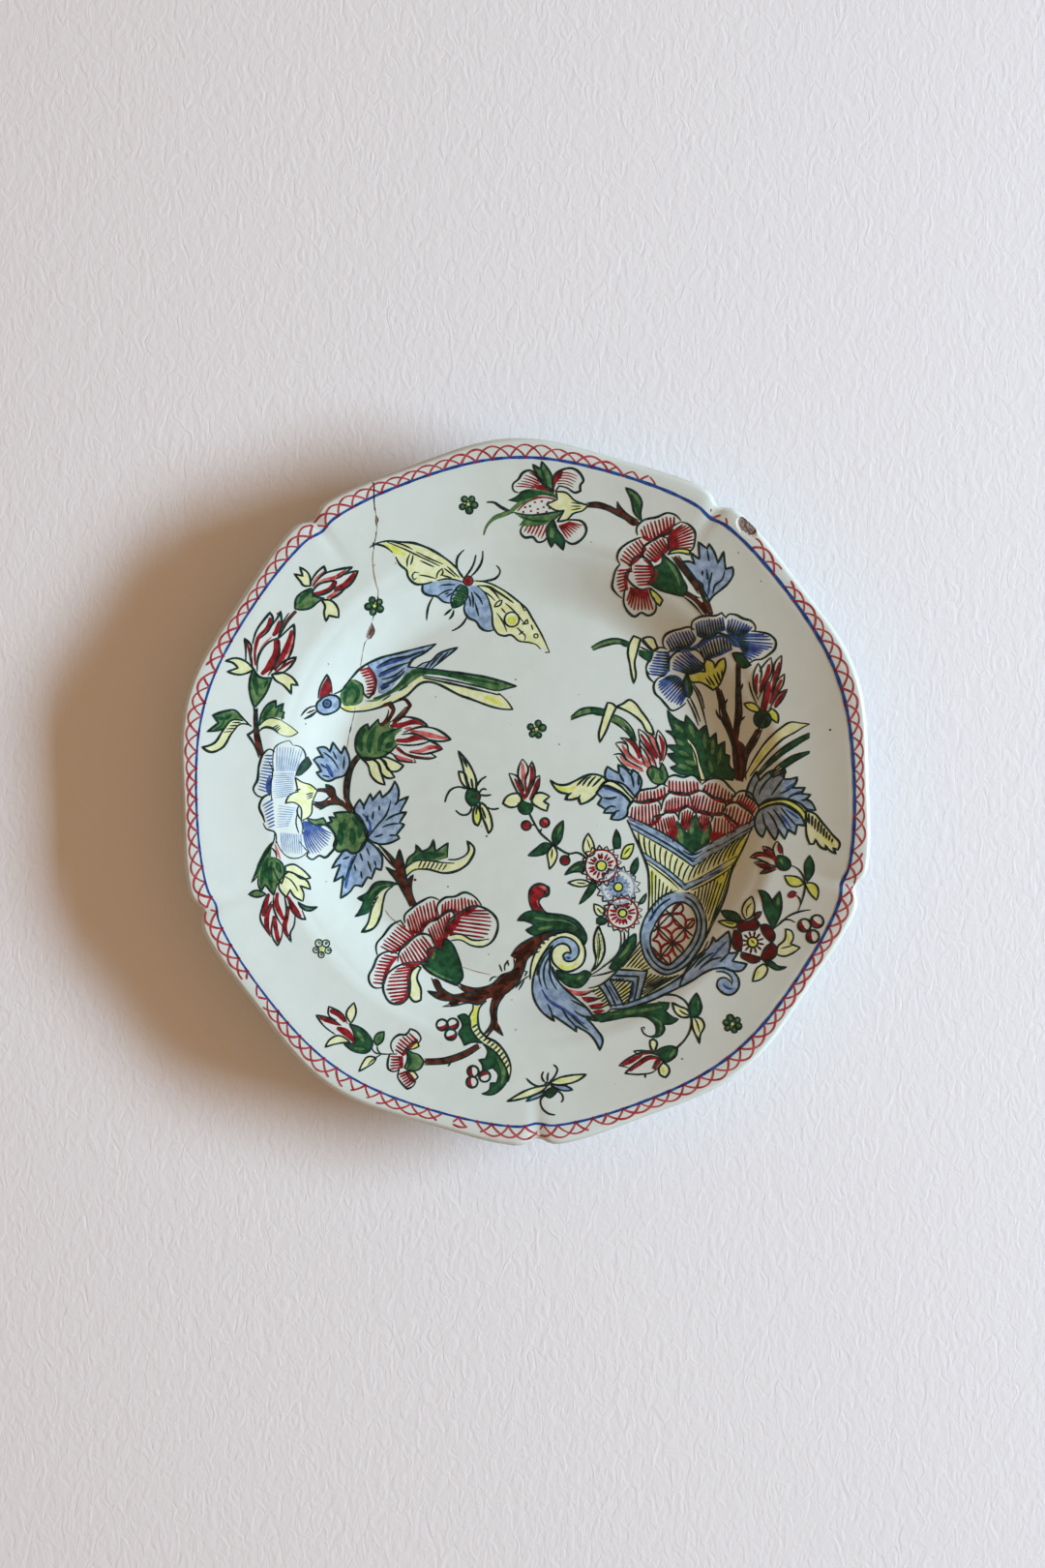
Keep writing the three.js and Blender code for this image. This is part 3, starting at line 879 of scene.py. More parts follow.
# %% The butterfly
def butterfly():
    wash(straw, [(388, 562), (400, 559), (425, 561), (447, 569), (465, 581), (479, 598), (465, 599),
        (440, 602), (428, 602), (421, 594), (410, 579), (402, 567)])
    tone(yellow, [(399, 563), (410, 569), (420, 573)], 6, (0.4, 1, 0.3))
    line([(387, 562), (400, 559), (414, 560), (427, 561), (437, 564), (456, 574), (470, 585), (480, 598)])
    line([(382, 566), (386, 563), (396, 564), (406, 571)], 1.8)
    line([(409, 575), (414, 584), (420, 589), (422, 596), (429, 603), (440, 603), (447, 601)])
    for vein in ([(400, 560), (415, 566), (432, 574), (455, 585)], [(404, 560), (417, 563), (427, 568)],
            [(430, 570), (444, 577), (458, 583)], [(434, 579), (449, 586)],
            [(424, 572), (421, 579), (421, 586)], [(427, 573), (426, 579), (424, 584)],
            [(458, 587), (453, 591), (451, 598)], [(456, 587), (458, 591), (455, 595)],
            [(451, 598), (440, 595), (433, 594)], [(433, 592), (429, 591), (426, 595), (428, 599),
            (431, 597)], [(459, 587), (471, 596)], [(462, 585), (475, 597)], [(456, 594), (467, 597)]):
        line(vein, 1.4)
    wash(blue, [(437, 604), (437, 611), (445, 615), (451, 616), (460, 622), (467, 623), (479, 603),
        (462, 599)])
    line([(447, 601), (437, 604), (437, 611), (443, 615), (451, 616), (459, 622), (466, 623)])
    line([(451, 600), (462, 598), (480, 602)], 1.6)
    for vein in ([(454, 605), (462, 604), (471, 604)], [(452, 616), (460, 611), (468, 609)],
            [(461, 617), (468, 612)], [(460, 614), (464, 612)]):
        line(vein, 1.5)
    wash(blue, [(486, 605), (480, 618), (480, 631), (492, 642), (504, 652), (511, 650), (508, 632),
        (496, 606)])
    line([(481, 622), (480, 631), (484, 638), (492, 642), (497, 649), (504, 652), (512, 650)])
    for vein in ([(484, 615), (486, 621), (486, 627)], [(487, 611), (489, 619), (489, 628)],
            [(489, 611), (495, 617), (499, 625)], [(491, 622), (493, 630), (495, 637)]):
        line(vein, 1.7)
    wash(straw, [(489, 600), (508, 604), (522, 611), (539, 624), (549, 637), (560, 656), (568, 673),
        (557, 668), (539, 663), (527, 656), (519, 657), (511, 650), (507, 628), (493, 605)])
    line([(489, 600), (504, 602), (519, 609), (534, 620), (545, 630), (549, 637), (560, 656), (568, 674),
        (563, 674)], 1.8)
    line([(493, 605), (502, 614), (508, 630), (511, 650), (515, 655), (521, 657), (528, 656), (536, 662),
        (548, 664), (554, 666), (559, 671)], 1.8)
    line([(494, 605), (504, 606), (515, 612), (531, 623)], 2.2)
    for vein in ([(498, 610), (506, 615), (512, 621)], [(504, 606), (511, 612), (517, 620)],
            [(518, 628), (523, 634)], [(522, 623), (532, 632), (541, 643)],
            [(533, 618), (539, 625), (542, 631), (545, 630)], [(513, 633), (519, 641), (524, 653)],
            [(534, 648), (538, 652), (543, 658), (542, 662)], [(549, 645), (551, 651)],
            [(536, 656), (541, 652)]):
        line(vein, 1.4)
    line([(511, 627), (514, 622), (519, 620), (517, 625)], 1.4, closed=True)
    line([(540, 645), (545, 640), (546, 644)], 1.4, closed=True)
    ring_mark(529, 640, 7.6, 1.6)
    ring_mark(554, 657, 2.2, 1.2)
    dot(yellow, 529, 641, 9, lift=LIFT_TINT)
    wash(deep_green, [(476, 604), (483, 607), (483, 615), (478, 624), (469, 628), (466, 621), (469, 611)])
    stripes(leaf_green, [(472, 610), (468, 620)], [(481, 613), (476, 622)], 4, 1.5)
    line([(476, 604), (483, 607), (483, 616), (477, 625), (468, 628), (466, 620), (470, 610)], 1.5,
        closed=True)
    dot(crimson, 484, 600, 10.5)
    ring_mark(484, 600, 5, 1.2)
    for leg in ([(480, 568), (473, 576), (472, 584), (478, 597)], [(492, 573), (489, 584), (480, 597)],
            [(499, 569), (498, 580), (493, 589), (485, 597)],
            [(490, 600), (503, 600), (514, 596), (517, 590), (513, 584)],
            [(448, 616), (443, 626), (441, 641)], [(467, 629), (459, 636)],
            [(469, 630), (468, 635), (464, 640)], [(483, 637), (477, 646), (467, 652)]):
        line(leg, 1.9)


butterfly()
show_progress("the butterfly")

# %% [markdown]
# The long-tailed bird sits under the butterfly. Its wings and tail are long feathers, so each is a wash
# with dark strokes drawn along it. Its body is a few washes that meet under the outline.

# %% The bird
def bird():
    shape(blue, [(327, 729), (332, 722), (341, 718), (350, 721), (351, 730), (342, 737), (334, 738),
        (328, 734)])
    ring_mark(338, 727, 4, 1.9)
    dot(deep_blue, 338, 727, 5)
    wash(crimson, [(330, 722), (331, 714), (338, 700), (342, 709), (341, 717), (335, 719)])
    line([(329, 722), (330, 713), (338, 697), (342, 706), (343, 717)], 1.8)
    line([(328, 729), (318, 732), (311, 740)], 1.6)
    line([(328, 734), (322, 739), (314, 743)], 2.2)
    line([(326, 733), (317, 737)], 1.8, paint=brown)
    wash(blue, [(380, 687), (395, 680), (420, 673), (451, 666), (438, 675), (426, 682), (424, 687),
        (428, 691), (412, 702), (396, 717), (391, 716), (388, 700)])
    for hollow in ([(389, 690), (402, 685), (418, 680), (438, 672)], [(391, 699), (404, 693), (418, 686)],
            [(393, 711), (403, 705), (416, 696)]):
        tone(deep_blue, hollow, 3.4, (1, 1, 0.4))
    for feather in ([(391, 688), (405, 681), (422, 678), (441, 672)], [(392, 696), (406, 690), (424, 684)],
            [(394, 702), (408, 698), (418, 690)], [(395, 707), (408, 703), (418, 693)],
            [(394, 713), (403, 708)]):
        line(feather, 1.8)
    line([(451, 665), (438, 675), (426, 682), (422, 689), (432, 690)])
    wash(blue, [(430, 690), (444, 683), (453, 677), (473, 669), (458, 681), (446, 691)])
    line([(430, 690), (438, 685), (445, 683), (453, 676), (473, 669), (460, 680), (446, 691)], 1.8)
    for feather in ([(445, 683), (439, 690)], [(458, 675), (449, 683), (443, 691)],
            [(464, 673), (452, 685)]):
        line(feather, 1.5)
    wash(leaf_green, [(376, 724), (392, 721), (404, 714), (428, 691), (445, 691), (480, 697), (512, 702),
        (534, 709), (516, 714), (480, 704), (437, 698), (418, 710), (400, 719), (386, 725)])
    tone(deep_green, [(386, 722), (402, 716), (416, 705), (430, 694), (450, 695), (480, 700), (516, 707)],
        5, (0.5, 1, 0.4))
    wash(straw, [(351, 730), (378, 727), (395, 723), (410, 717), (424, 708), (433, 700), (450, 704),
        (500, 714), (516, 718), (530, 733), (512, 730), (480, 721), (435, 706), (420, 719), (398, 729),
        (368, 735)])
    tone(yellow, [(354, 732), (366, 732)], 3.5)
    tone(yellow, [(500, 720), (520, 728)], 4)
    line([(350, 729), (357, 734), (372, 735), (398, 729), (420, 719), (435, 706), (480, 720), (524, 733),
        (530, 733), (523, 723), (515, 716)])
    line([(437, 700), (465, 706), (516, 718)])
    line([(436, 698), (466, 703), (513, 714)], 1.6)
    line([(432, 690), (466, 694), (512, 702), (534, 709), (514, 714)])
    line([(395, 724), (404, 718)], 1.5)
    line([(412, 714), (422, 708)], 1.5)
    wash(leaf_green, [(352, 724), (353, 713), (360, 704), (365, 702), (373, 706), (376, 717), (374, 725),
        (366, 729), (356, 729)])
    tone(deep_green, [(356, 726), (358, 714), (364, 707), (370, 716), (366, 726)], 5, (0.5, 1, 0.6))
    line([(367, 703), (374, 707), (377, 718), (381, 721), (388, 712), (388, 702), (380, 687)], 1.8)
    petal_strokes(crimson, [(380, 689), (388, 703), (385, 718)], [(370, 692), (378, 706), (378, 719)], 9)
    line([(345, 717), (352, 714), (362, 702), (372, 691), (390, 681), (416, 674), (451, 665)])
    line([(396, 729), (402, 727), (407, 733), (402, 743), (393, 750)], 4, (1, 1, 0.9), brown)
    line([(411, 724), (417, 722), (424, 729), (416, 739), (406, 748)], 3.6, (1, 1, 0.9), brown)
    for leg in ([(394, 729), (404, 725), (408, 733), (404, 742)], [(402, 733), (400, 741), (393, 749)],
            [(411, 723), (417, 720), (425, 728), (420, 737), (409, 747)],
            [(420, 730), (412, 739), (404, 746)]):
        line(leg, 1.3)


bird()
show_progress("the bird")

# %% [markdown]
# The bird's feet stand on a red bud between green leaves. The bud is a fan of pointed petals, each a red
# stroke between two dark lines.

# %% The flower under the bird
def perch_flower():
    wash(leaf_green, [(371, 781), (368, 766), (375, 751), (380, 748), (382, 753), (391, 743), (393, 748),
        (404, 746), (402, 751), (416, 754), (408, 764), (410, 768), (402, 778), (384, 784)])
    for stroke in ([(374, 776), (372, 764), (378, 752)], [(382, 778), (382, 766), (389, 750)],
            [(392, 776), (394, 764), (408, 754)], [(398, 773), (406, 767)]):
        tone(deep_green, stroke, 6, (0.6, 1, 0.3))
    line([(412, 768), (402, 778), (388, 784), (375, 784), (369, 777), (368, 764), (374, 752), (380, 748),
        (381, 754), (391, 743), (392, 748), (404, 745)])
    line([(399, 758), (407, 754), (416, 752)], 1.6)
    tone(crimson, [(403, 750), (415, 749), (428, 746), (438, 749)], 5.5, (0.5, 1, 0.3))
    tone(rose, [(418, 753), (426, 752)], 3)
    line([(406, 746), (416, 741), (428, 742), (436, 745), (442, 750), (430, 752), (417, 757)])
    tone(rose, [(424, 755), (438, 758), (450, 761), (464, 763)], 5, (0.6, 1, 0.4))
    line([(437, 751), (450, 753), (459, 758), (466, 764), (455, 766), (444, 764)])
    tone(crimson, [(409, 765), (420, 765), (432, 762), (442, 764)], 6, (0.5, 1, 0.4))
    line([(415, 759), (427, 758), (442, 764), (453, 770), (457, 774), (437, 779), (424, 777)])
    line([(411, 769), (424, 770), (438, 768), (446, 765)], 1.8)
    tone(rose, [(423, 777), (434, 776), (446, 772), (456, 773)], 4.6, (0.6, 1, 0.5))
    line([(448, 772), (456, 773)], 4, paint=crimson, lift=LIFT_TOP)
    tone(crimson, [(410, 772), (417, 778), (428, 782), (447, 783)], 3.6, (1, 0.9, 0.5))
    line([(412, 772), (420, 779), (432, 783), (444, 784), (451, 782), (443, 777)], 1.7)
    tone(rose, [(407, 780), (416, 784), (427, 786)], 4.2, (0.6, 1, 0.4))
    line([(398, 777), (406, 779), (411, 785), (420, 787), (430, 788), (428, 784)], 1.7)
    shape(straw, [(373, 783), (380, 790), (384, 802), (390, 808), (398, 811), (393, 796), (390, 788),
        (384, 784)])
    shape(straw, [(385, 784), (392, 790), (395, 800), (401, 804), (408, 803), (399, 791), (392, 783)])
    shape(straw, [(391, 783), (398, 787), (401, 795), (410, 797), (417, 791), (406, 785), (397, 782)])


perch_flower()
show_progress("the flower under the bird")

# %% [markdown]
# Blue leaves with toothed edges grow from a twig that leads down to the branch. A tooth keeps its corner
# in the curve, because the outline turns sharply there.

# %% The blue leaves at the left
def blue_leaves():
    shape(blue, [(366, 838), (372, 826), (376, 833), (383, 820), (385, 827), (393, 817), (395, 824),
        (403, 817), (408, 807), (412, 816), (411, 828), (422, 823), (413, 840), (420, 839), (413, 850),
        (418, 852), (410, 862), (413, 866), (403, 871), (392, 872), (380, 866), (375, 852)])
    tone(deep_blue, [(382, 862), (382, 850), (375, 841)], 3.6, (1, 0.8, 0.4))
    for vein in ([(380, 866), (389, 854), (399, 842), (404, 827)], [(398, 848), (408, 842), (420, 839)],
            [(395, 855), (402, 852), (413, 851)], [(387, 865), (396, 862)], [(402, 863), (410, 863)],
            [(408, 832), (412, 827)], [(380, 842), (379, 849)], [(386, 838), (385, 847)],
            [(392, 832), (392, 838)], [(376, 832), (376, 837)]):
        line(vein, 1.8)
    shape(blue, [(379, 868), (372, 879), (365, 882), (357, 879), (350, 886), (343, 897), (352, 893),
        (345, 911), (355, 905), (352, 928), (362, 921), (367, 915), (374, 916), (380, 906), (384, 908),
        (388, 897), (394, 899), (395, 886), (388, 875)])
    tone(deep_blue, [(366, 884), (361, 898), (357, 918)], 4, (0.7, 1, 0.5))
    for vein in ([(369, 882), (361, 898), (356, 910)], [(372, 881), (375, 890)], [(379, 876), (382, 884)],
            [(366, 893), (368, 900)], [(373, 900), (374, 908)], [(380, 889), (384, 901)],
            [(361, 885), (354, 888)], [(387, 889), (389, 896)]):
        line(vein, 1.8)
    shape(leaf_green, [(345, 840), (356, 839), (367, 840), (376, 851), (380, 864), (375, 872), (370, 880),
        (364, 881), (358, 878), (350, 880), (345, 875), (347, 866), (343, 857), (337, 851), (343, 849),
        (340, 844), (348, 845)])
    for stroke in ([(364, 844), (372, 854), (371, 866)], [(352, 850), (352, 862), (352, 874)],
            [(364, 856), (365, 873)], [(357, 846), (356, 858)]):
        tone(deep_green, stroke, 6.5, (0.6, 1, 0.4))
    line([(358, 842), (359, 860), (362, 877)], 1.3, paint=leaf_green)


blue_leaves()
show_progress("the blue leaves at the left")

# %% The branch at the left
def left_branch():
    wash(brown, [(389, 871), (402, 883), (408, 890), (413, 878), (417, 896), (421, 911), (427, 906),
        (426, 920), (430, 934), (424, 937), (417, 922), (411, 911), (399, 896), (409, 899), (403, 889)])
    line([(388, 870), (400, 880), (409, 890), (413, 878), (418, 897), (420, 911), (427, 904), (425, 918),
        (431, 935)])
    line([(390, 875), (402, 890), (409, 898)], 1.7)
    line([(410, 901), (399, 896), (408, 907), (415, 918), (424, 937)])
    dot(crimson, 429, 909, 3)
    wash(leaf_green, [(419, 898), (422, 887), (429, 879), (430, 873), (436, 879), (444, 876), (448, 868),
        (450, 880), (457, 877), (464, 871), (463, 886), (450, 890), (432, 890)])
    tone(deep_green, [(426, 890), (436, 884), (448, 884), (460, 882)], 7, (0.6, 1, 0.4))
    wash(straw, [(418, 903), (424, 893), (440, 889), (462, 891), (480, 887), (486, 878), (484, 869),
        (490, 876), (487, 888), (475, 899), (461, 902), (440, 898), (427, 899)])
    tone(yellow, [(420, 901), (426, 899), (440, 897)], 2.5)
    line([(419, 899), (422, 887), (430, 879), (430, 873), (436, 880), (444, 876), (448, 868), (450, 880),
        (463, 871), (462, 886)])
    line([(418, 898), (428, 890), (442, 889), (456, 891), (470, 892)], 1.6)
    line([(463, 888), (475, 887), (484, 880), (483, 869), (490, 876), (486, 889), (474, 899), (461, 902),
        (440, 898), (428, 899), (419, 907)])
    stripes(ink, [(434, 889), (464, 893)], [(430, 897), (459, 900)], 7, 1.4, lift=LIFT_LINE)
    wash(deep_green, [(413, 914), (400, 911), (388, 913), (378, 924), (370, 928), (376, 931), (367, 947),
        (382, 942), (386, 932), (394, 921)])
    tone(leaf_green, [(404, 914), (390, 917), (380, 929)], 2.5)
    wash(straw, [(410, 915), (401, 919), (396, 930), (393, 947), (385, 959), (374, 963), (380, 953),
        (383, 941), (391, 925)])
    line([(415, 915), (402, 911), (389, 912), (379, 923), (370, 928), (376, 931), (373, 940), (367, 947),
        (381, 943)])
    line([(407, 915), (399, 922), (396, 932), (393, 947), (386, 959), (374, 963), (380, 954), (384, 940),
        (391, 926)])
    stripes(ink, [(392, 925), (386, 937)], [(387, 929), (382, 939)], 3, 1.5, lift=LIFT_LINE)


left_branch()
show_progress("the branch at the left")

# %% [markdown]
# The large carnation has frilled petals, striped crimson on white glaze. The stripes start broad in a
# band at each petal's base and thin out towards its edge, which makes the petal look cupped.

# %% The large carnation
def large_carnation():
    for outline in ([(419, 954), (418, 947), (426, 938), (436, 931), (446, 927), (454, 930)],
            [(454, 947), (452, 936), (459, 928), (471, 926), (480, 922), (490, 926), (498, 936)],
            [(461, 967), (463, 953), (475, 943), (492, 936), (504, 940), (514, 951), (513, 965), (506, 975),
            (499, 978), (488, 977), (475, 971), (466, 972)],
            [(437, 963), (439, 956), (453, 949), (461, 942), (468, 942), (470, 946), (463, 955)],
            [(419, 958), (414, 951), (406, 955), (396, 967), (389, 976), (390, 987)],
            [(411, 994), (413, 983), (424, 972), (434, 965), (443, 966), (449, 974), (449, 980)],
            [(412, 986), (403, 983), (391, 988), (386, 999), (381, 1010), (386, 1020), (396, 1020)],
            [(434, 994), (420, 995), (408, 1000), (397, 1012), (397, 1026), (404, 1036), (414, 1037),
            (422, 1030), (424, 1018), (424, 1006), (431, 999)]):
        line(outline, 2.1)
    petal_strokes(crimson, [(423, 962), (434, 964), (440, 955), (453, 947)],
        [(420, 950), (430, 938), (450, 930)], 10)
    petal_strokes(crimson, [(456, 947), (464, 941), (476, 943), (495, 935)],
        [(456, 934), (470, 928), (492, 930)], 11)
    petal_strokes(crimson, [(484, 940), (472, 948), (466, 957), (466, 966)],
        [(505, 939), (509, 950), (508, 961), (502, 971)], 8)
    wash(crimson, [(462, 967), (464, 954), (478, 943), (474, 954), (468, 963)])
    petal_strokes(crimson, [(447, 974), (456, 973), (464, 956)], [(441, 959), (452, 951), (466, 942)], 9)
    wash(crimson, [(450, 974), (460, 966), (460, 972), (456, 981), (451, 979)])
    petal_strokes(crimson, [(428, 965), (420, 975), (404, 985)], [(414, 954), (402, 965), (392, 979)], 9)
    petal_strokes(crimson, [(415, 996), (431, 996), (442, 990), (449, 980)],
        [(412, 988), (424, 975), (438, 966)], 10)
    petal_strokes(crimson, [(410, 988), (402, 999), (396, 1018)], [(397, 985), (388, 1000), (385, 1017)], 9)
    petal_strokes(crimson, [(428, 997), (423, 1006), (423, 1020), (418, 1033)],
        [(411, 1000), (401, 1012), (400, 1026), (405, 1035)], 10)
    tone(crimson, [(428, 998), (423, 1008), (423, 1022), (417, 1033), (408, 1036)], 3.5, (0.8, 1, 0.7))
    wash(straw, [(464, 968), (474, 965), (488, 971), (506, 970), (497, 978), (484, 975), (474, 971)])
    line([(464, 967), (475, 965), (488, 971), (506, 970)], 1.7)
    shape(straw, [(432, 998), (426, 1003), (423, 1015), (423, 1029), (429, 1035), (435, 1033), (435, 1022),
        (431, 1010), (435, 1000)])
    shape(deep_green, [(434, 994), (443, 993), (442, 981), (449, 979), (457, 982), (459, 969), (464, 972),
        (472, 985), (477, 1001), (478, 1010), (472, 1018), (458, 1012), (442, 1003)], 2.0,
        [(leaf_green, [(438, 998), (452, 1007), (468, 1013)], 3),
        (leaf_green, [(449, 983), (447, 992)], 3)])


large_carnation()
show_progress("the large carnation")

# %% [markdown]
# A red bud hangs at the left edge from two folded leaves. It repeats the idea of the other buds, but it
# points down, so it is drawn anew and not turned: no two of a painter's buds are the same.

# %% The hanging red bud
def hanging_bud():
    for band in ([(278, 923), (274, 936), (272, 947)], [(281, 934), (276, 947), (276, 957), (279, 966)],
            [(287, 922), (286, 934), (290, 944), (294, 951)], [(283, 946), (285, 959), (288, 974)],
            [(298, 936), (296, 949), (294, 958), (298, 968)], [(297, 926), (304, 938), (311, 948)]):
        tone(crimson, band, 5, (0.7, 1, 0.7))
    for edge in ([(276, 924), (271, 938), (269, 948), (275, 961), (280, 968)],
            [(281, 931), (276, 940), (273, 947)], [(283, 926), (283, 939), (286, 947), (292, 957)],
            [(283, 946), (281, 956), (281, 966), (287, 977), (291, 968), (292, 957)],
            [(294, 926), (296, 938), (295, 950)], [(305, 946), (304, 956), (300, 965), (301, 973),
            (293, 963)], [(298, 929), (304, 944), (311, 949), (316, 950), (312, 940)]):
        line(edge, 1.7)
    wash(leaf_green, [(284, 862), (281, 875), (280, 885), (290, 889), (294, 899), (291, 913), (287, 911),
        (283, 925), (278, 920), (274, 915), (269, 921), (267, 906), (260, 911), (266, 896), (278, 879)])
    for stroke in ([(282, 870), (272, 886), (264, 905)], [(277, 886), (272, 900), (270, 915)],
            [(281, 890), (279, 904), (281, 918)], [(286, 891), (290, 902)], [(276, 893), (275, 908)]):
        tone(deep_green, stroke, 5, (0.5, 1, 0.4))
    line([(284, 860), (283, 869), (272, 885), (266, 898), (260, 912), (267, 905)], 1.7)
    line([(267, 906), (267, 914), (270, 921), (274, 914), (283, 925), (287, 912)], 1.7)
    line([(282, 896), (286, 906), (291, 913), (294, 900), (290, 890), (282, 886)], 1.6)
    line([(284, 872), (287, 880), (290, 888)], 2.2, paint=rose)
    line([(281, 876), (285, 881), (286, 887)], 1.5)
    shape(straw, [(295, 900), (295, 895), (303, 893), (312, 898), (321, 907), (312, 908), (303, 902)], 1.6)
    shape(straw, [(293, 905), (298, 901), (307, 904), (318, 911), (321, 919), (310, 915), (314, 924),
        (313, 931), (304, 926), (300, 919), (296, 927), (288, 914)], 1.6)
    line([(293, 905), (300, 909), (308, 921)], 1.4)
    shape(leaf_green, [(257, 924), (264, 920), (275, 924), (266, 927)], 1.6)
    shape(leaf_green, [(308, 932), (312, 938), (320, 941), (328, 937), (318, 937)], 1.8)


hanging_bud()
show_progress("the hanging red bud")

# %% [markdown]
# The horn grows out of a knotted brown branch. Its tail is a curl of yellow and blue, which a few broad
# strokes and their outlines give better than closed shapes would.

# %% The knotted branch
def knotted_branch():
    wash(brown, [(592, 961), (570, 961), (548, 970), (534, 979), (528, 988), (533, 991), (531, 1000),
        (518, 1008), (510, 1016), (496, 1021), (474, 1016), (480, 1025), (462, 1026), (450, 1011),
        (446, 1012), (453, 1026), (442, 1024), (452, 1031), (470, 1034), (457, 1040), (486, 1036),
        (494, 1038), (504, 1032), (520, 1029), (536, 1014), (541, 1003), (545, 991), (556, 983),
        (568, 971)])
    for edge in ([(592, 960), (568, 962), (548, 970), (534, 979), (528, 988)],
            [(531, 990), (531, 1001), (518, 1008), (510, 1016), (496, 1021), (474, 1016)],
            [(558, 983), (545, 991), (541, 1003), (536, 1014), (526, 1024), (516, 1030)],
            [(503, 1032), (494, 1038), (486, 1036), (470, 1039), (457, 1040)],
            [(471, 1034), (456, 1033), (442, 1024), (454, 1026), (449, 1018), (446, 1010)],
            [(450, 1011), (458, 1022), (470, 1029), (488, 1029)], [(473, 1018), (482, 1025), (494, 1026)],
            [(590, 963), (574, 965), (562, 972)]):
        line(edge, 1.8)
    for shadow in ([(552, 972), (538, 984), (530, 985)], [(536, 1000), (524, 1010), (514, 1018)],
            [(506, 1026), (490, 1024)], [(476, 1034), (464, 1037)]):
        tone(dark_brown, shadow, 6, (0.4, 1, 0.4))
    for knot, width in (([(522, 1012), (530, 1008), (537, 1000)], 9),
            ([(533, 995), (538, 988), (548, 980)], 5), ([(478, 1030), (490, 1032), (500, 1030)], 4),
            ([(511, 1036), (511, 1052), (511, 1064)], 3)):
        tone(dark_brown, knot, width, (0.5, 1, 0.4))
    wash(brown, [(509, 1030), (507, 1042), (508, 1056), (500, 1070), (510, 1063), (520, 1070), (515, 1058),
        (513, 1044), (521, 1029)])
    line([(509, 1031), (507, 1042), (508, 1056), (500, 1069), (503, 1071), (510, 1063), (520, 1070),
        (515, 1058)], 1.7)
    line([(522, 1028), (514, 1040), (514, 1055)], 1.7)
    for hair in ([(519, 1004), (516, 996)], [(522, 1003), (522, 997), (526, 992)],
            [(514, 1009), (509, 1010), (506, 1014)], [(516, 1011), (509, 1016)],
            [(541, 1003), (545, 1004), (542, 1009)], [(547, 1008), (540, 1013), (533, 1021)],
            [(542, 1013), (536, 1023)], [(526, 998), (524, 992)]):
        line(hair, 1.5)


knotted_branch()
show_progress("the knotted branch")

# %% The curl at the branch's end
def branch_curl():
    wash(crimson, [(551, 941), (547, 930), (549, 918), (557, 913), (566, 917), (565, 926), (559, 926),
        (557, 932), (565, 943)])
    tone(rose, [(557, 916), (563, 917), (564, 922)], 3.4, (0.5, 1, 0.6))
    tone(rose, [(555, 930), (557, 937)], 2.4, (0.5, 1, 0.6))
    line([(551, 941), (547, 930), (549, 918), (557, 913), (567, 917), (566, 925), (560, 927), (557, 931),
        (560, 938), (566, 944)])
    line([(559, 921), (564, 920), (562, 925)], 1.5)
    shape(deep_green, [(535, 951), (542, 944), (552, 941), (568, 944), (584, 946), (595, 951), (603, 960),
        (606, 971), (603, 977), (597, 967), (584, 962), (566, 963), (552, 966), (544, 961), (553, 956),
        (542, 951)])
    tone(leaf_green, [(552, 948), (570, 951), (588, 954), (600, 966)], 3)
    tone(leaf_green, [(556, 960), (572, 957)], 3)
    for strand in ([(556, 955), (574, 952), (592, 957), (603, 972)], [(572, 946), (592, 953), (604, 968)]):
        line(strand, 1.3)


branch_curl()
show_progress("the curl at the branch's end")

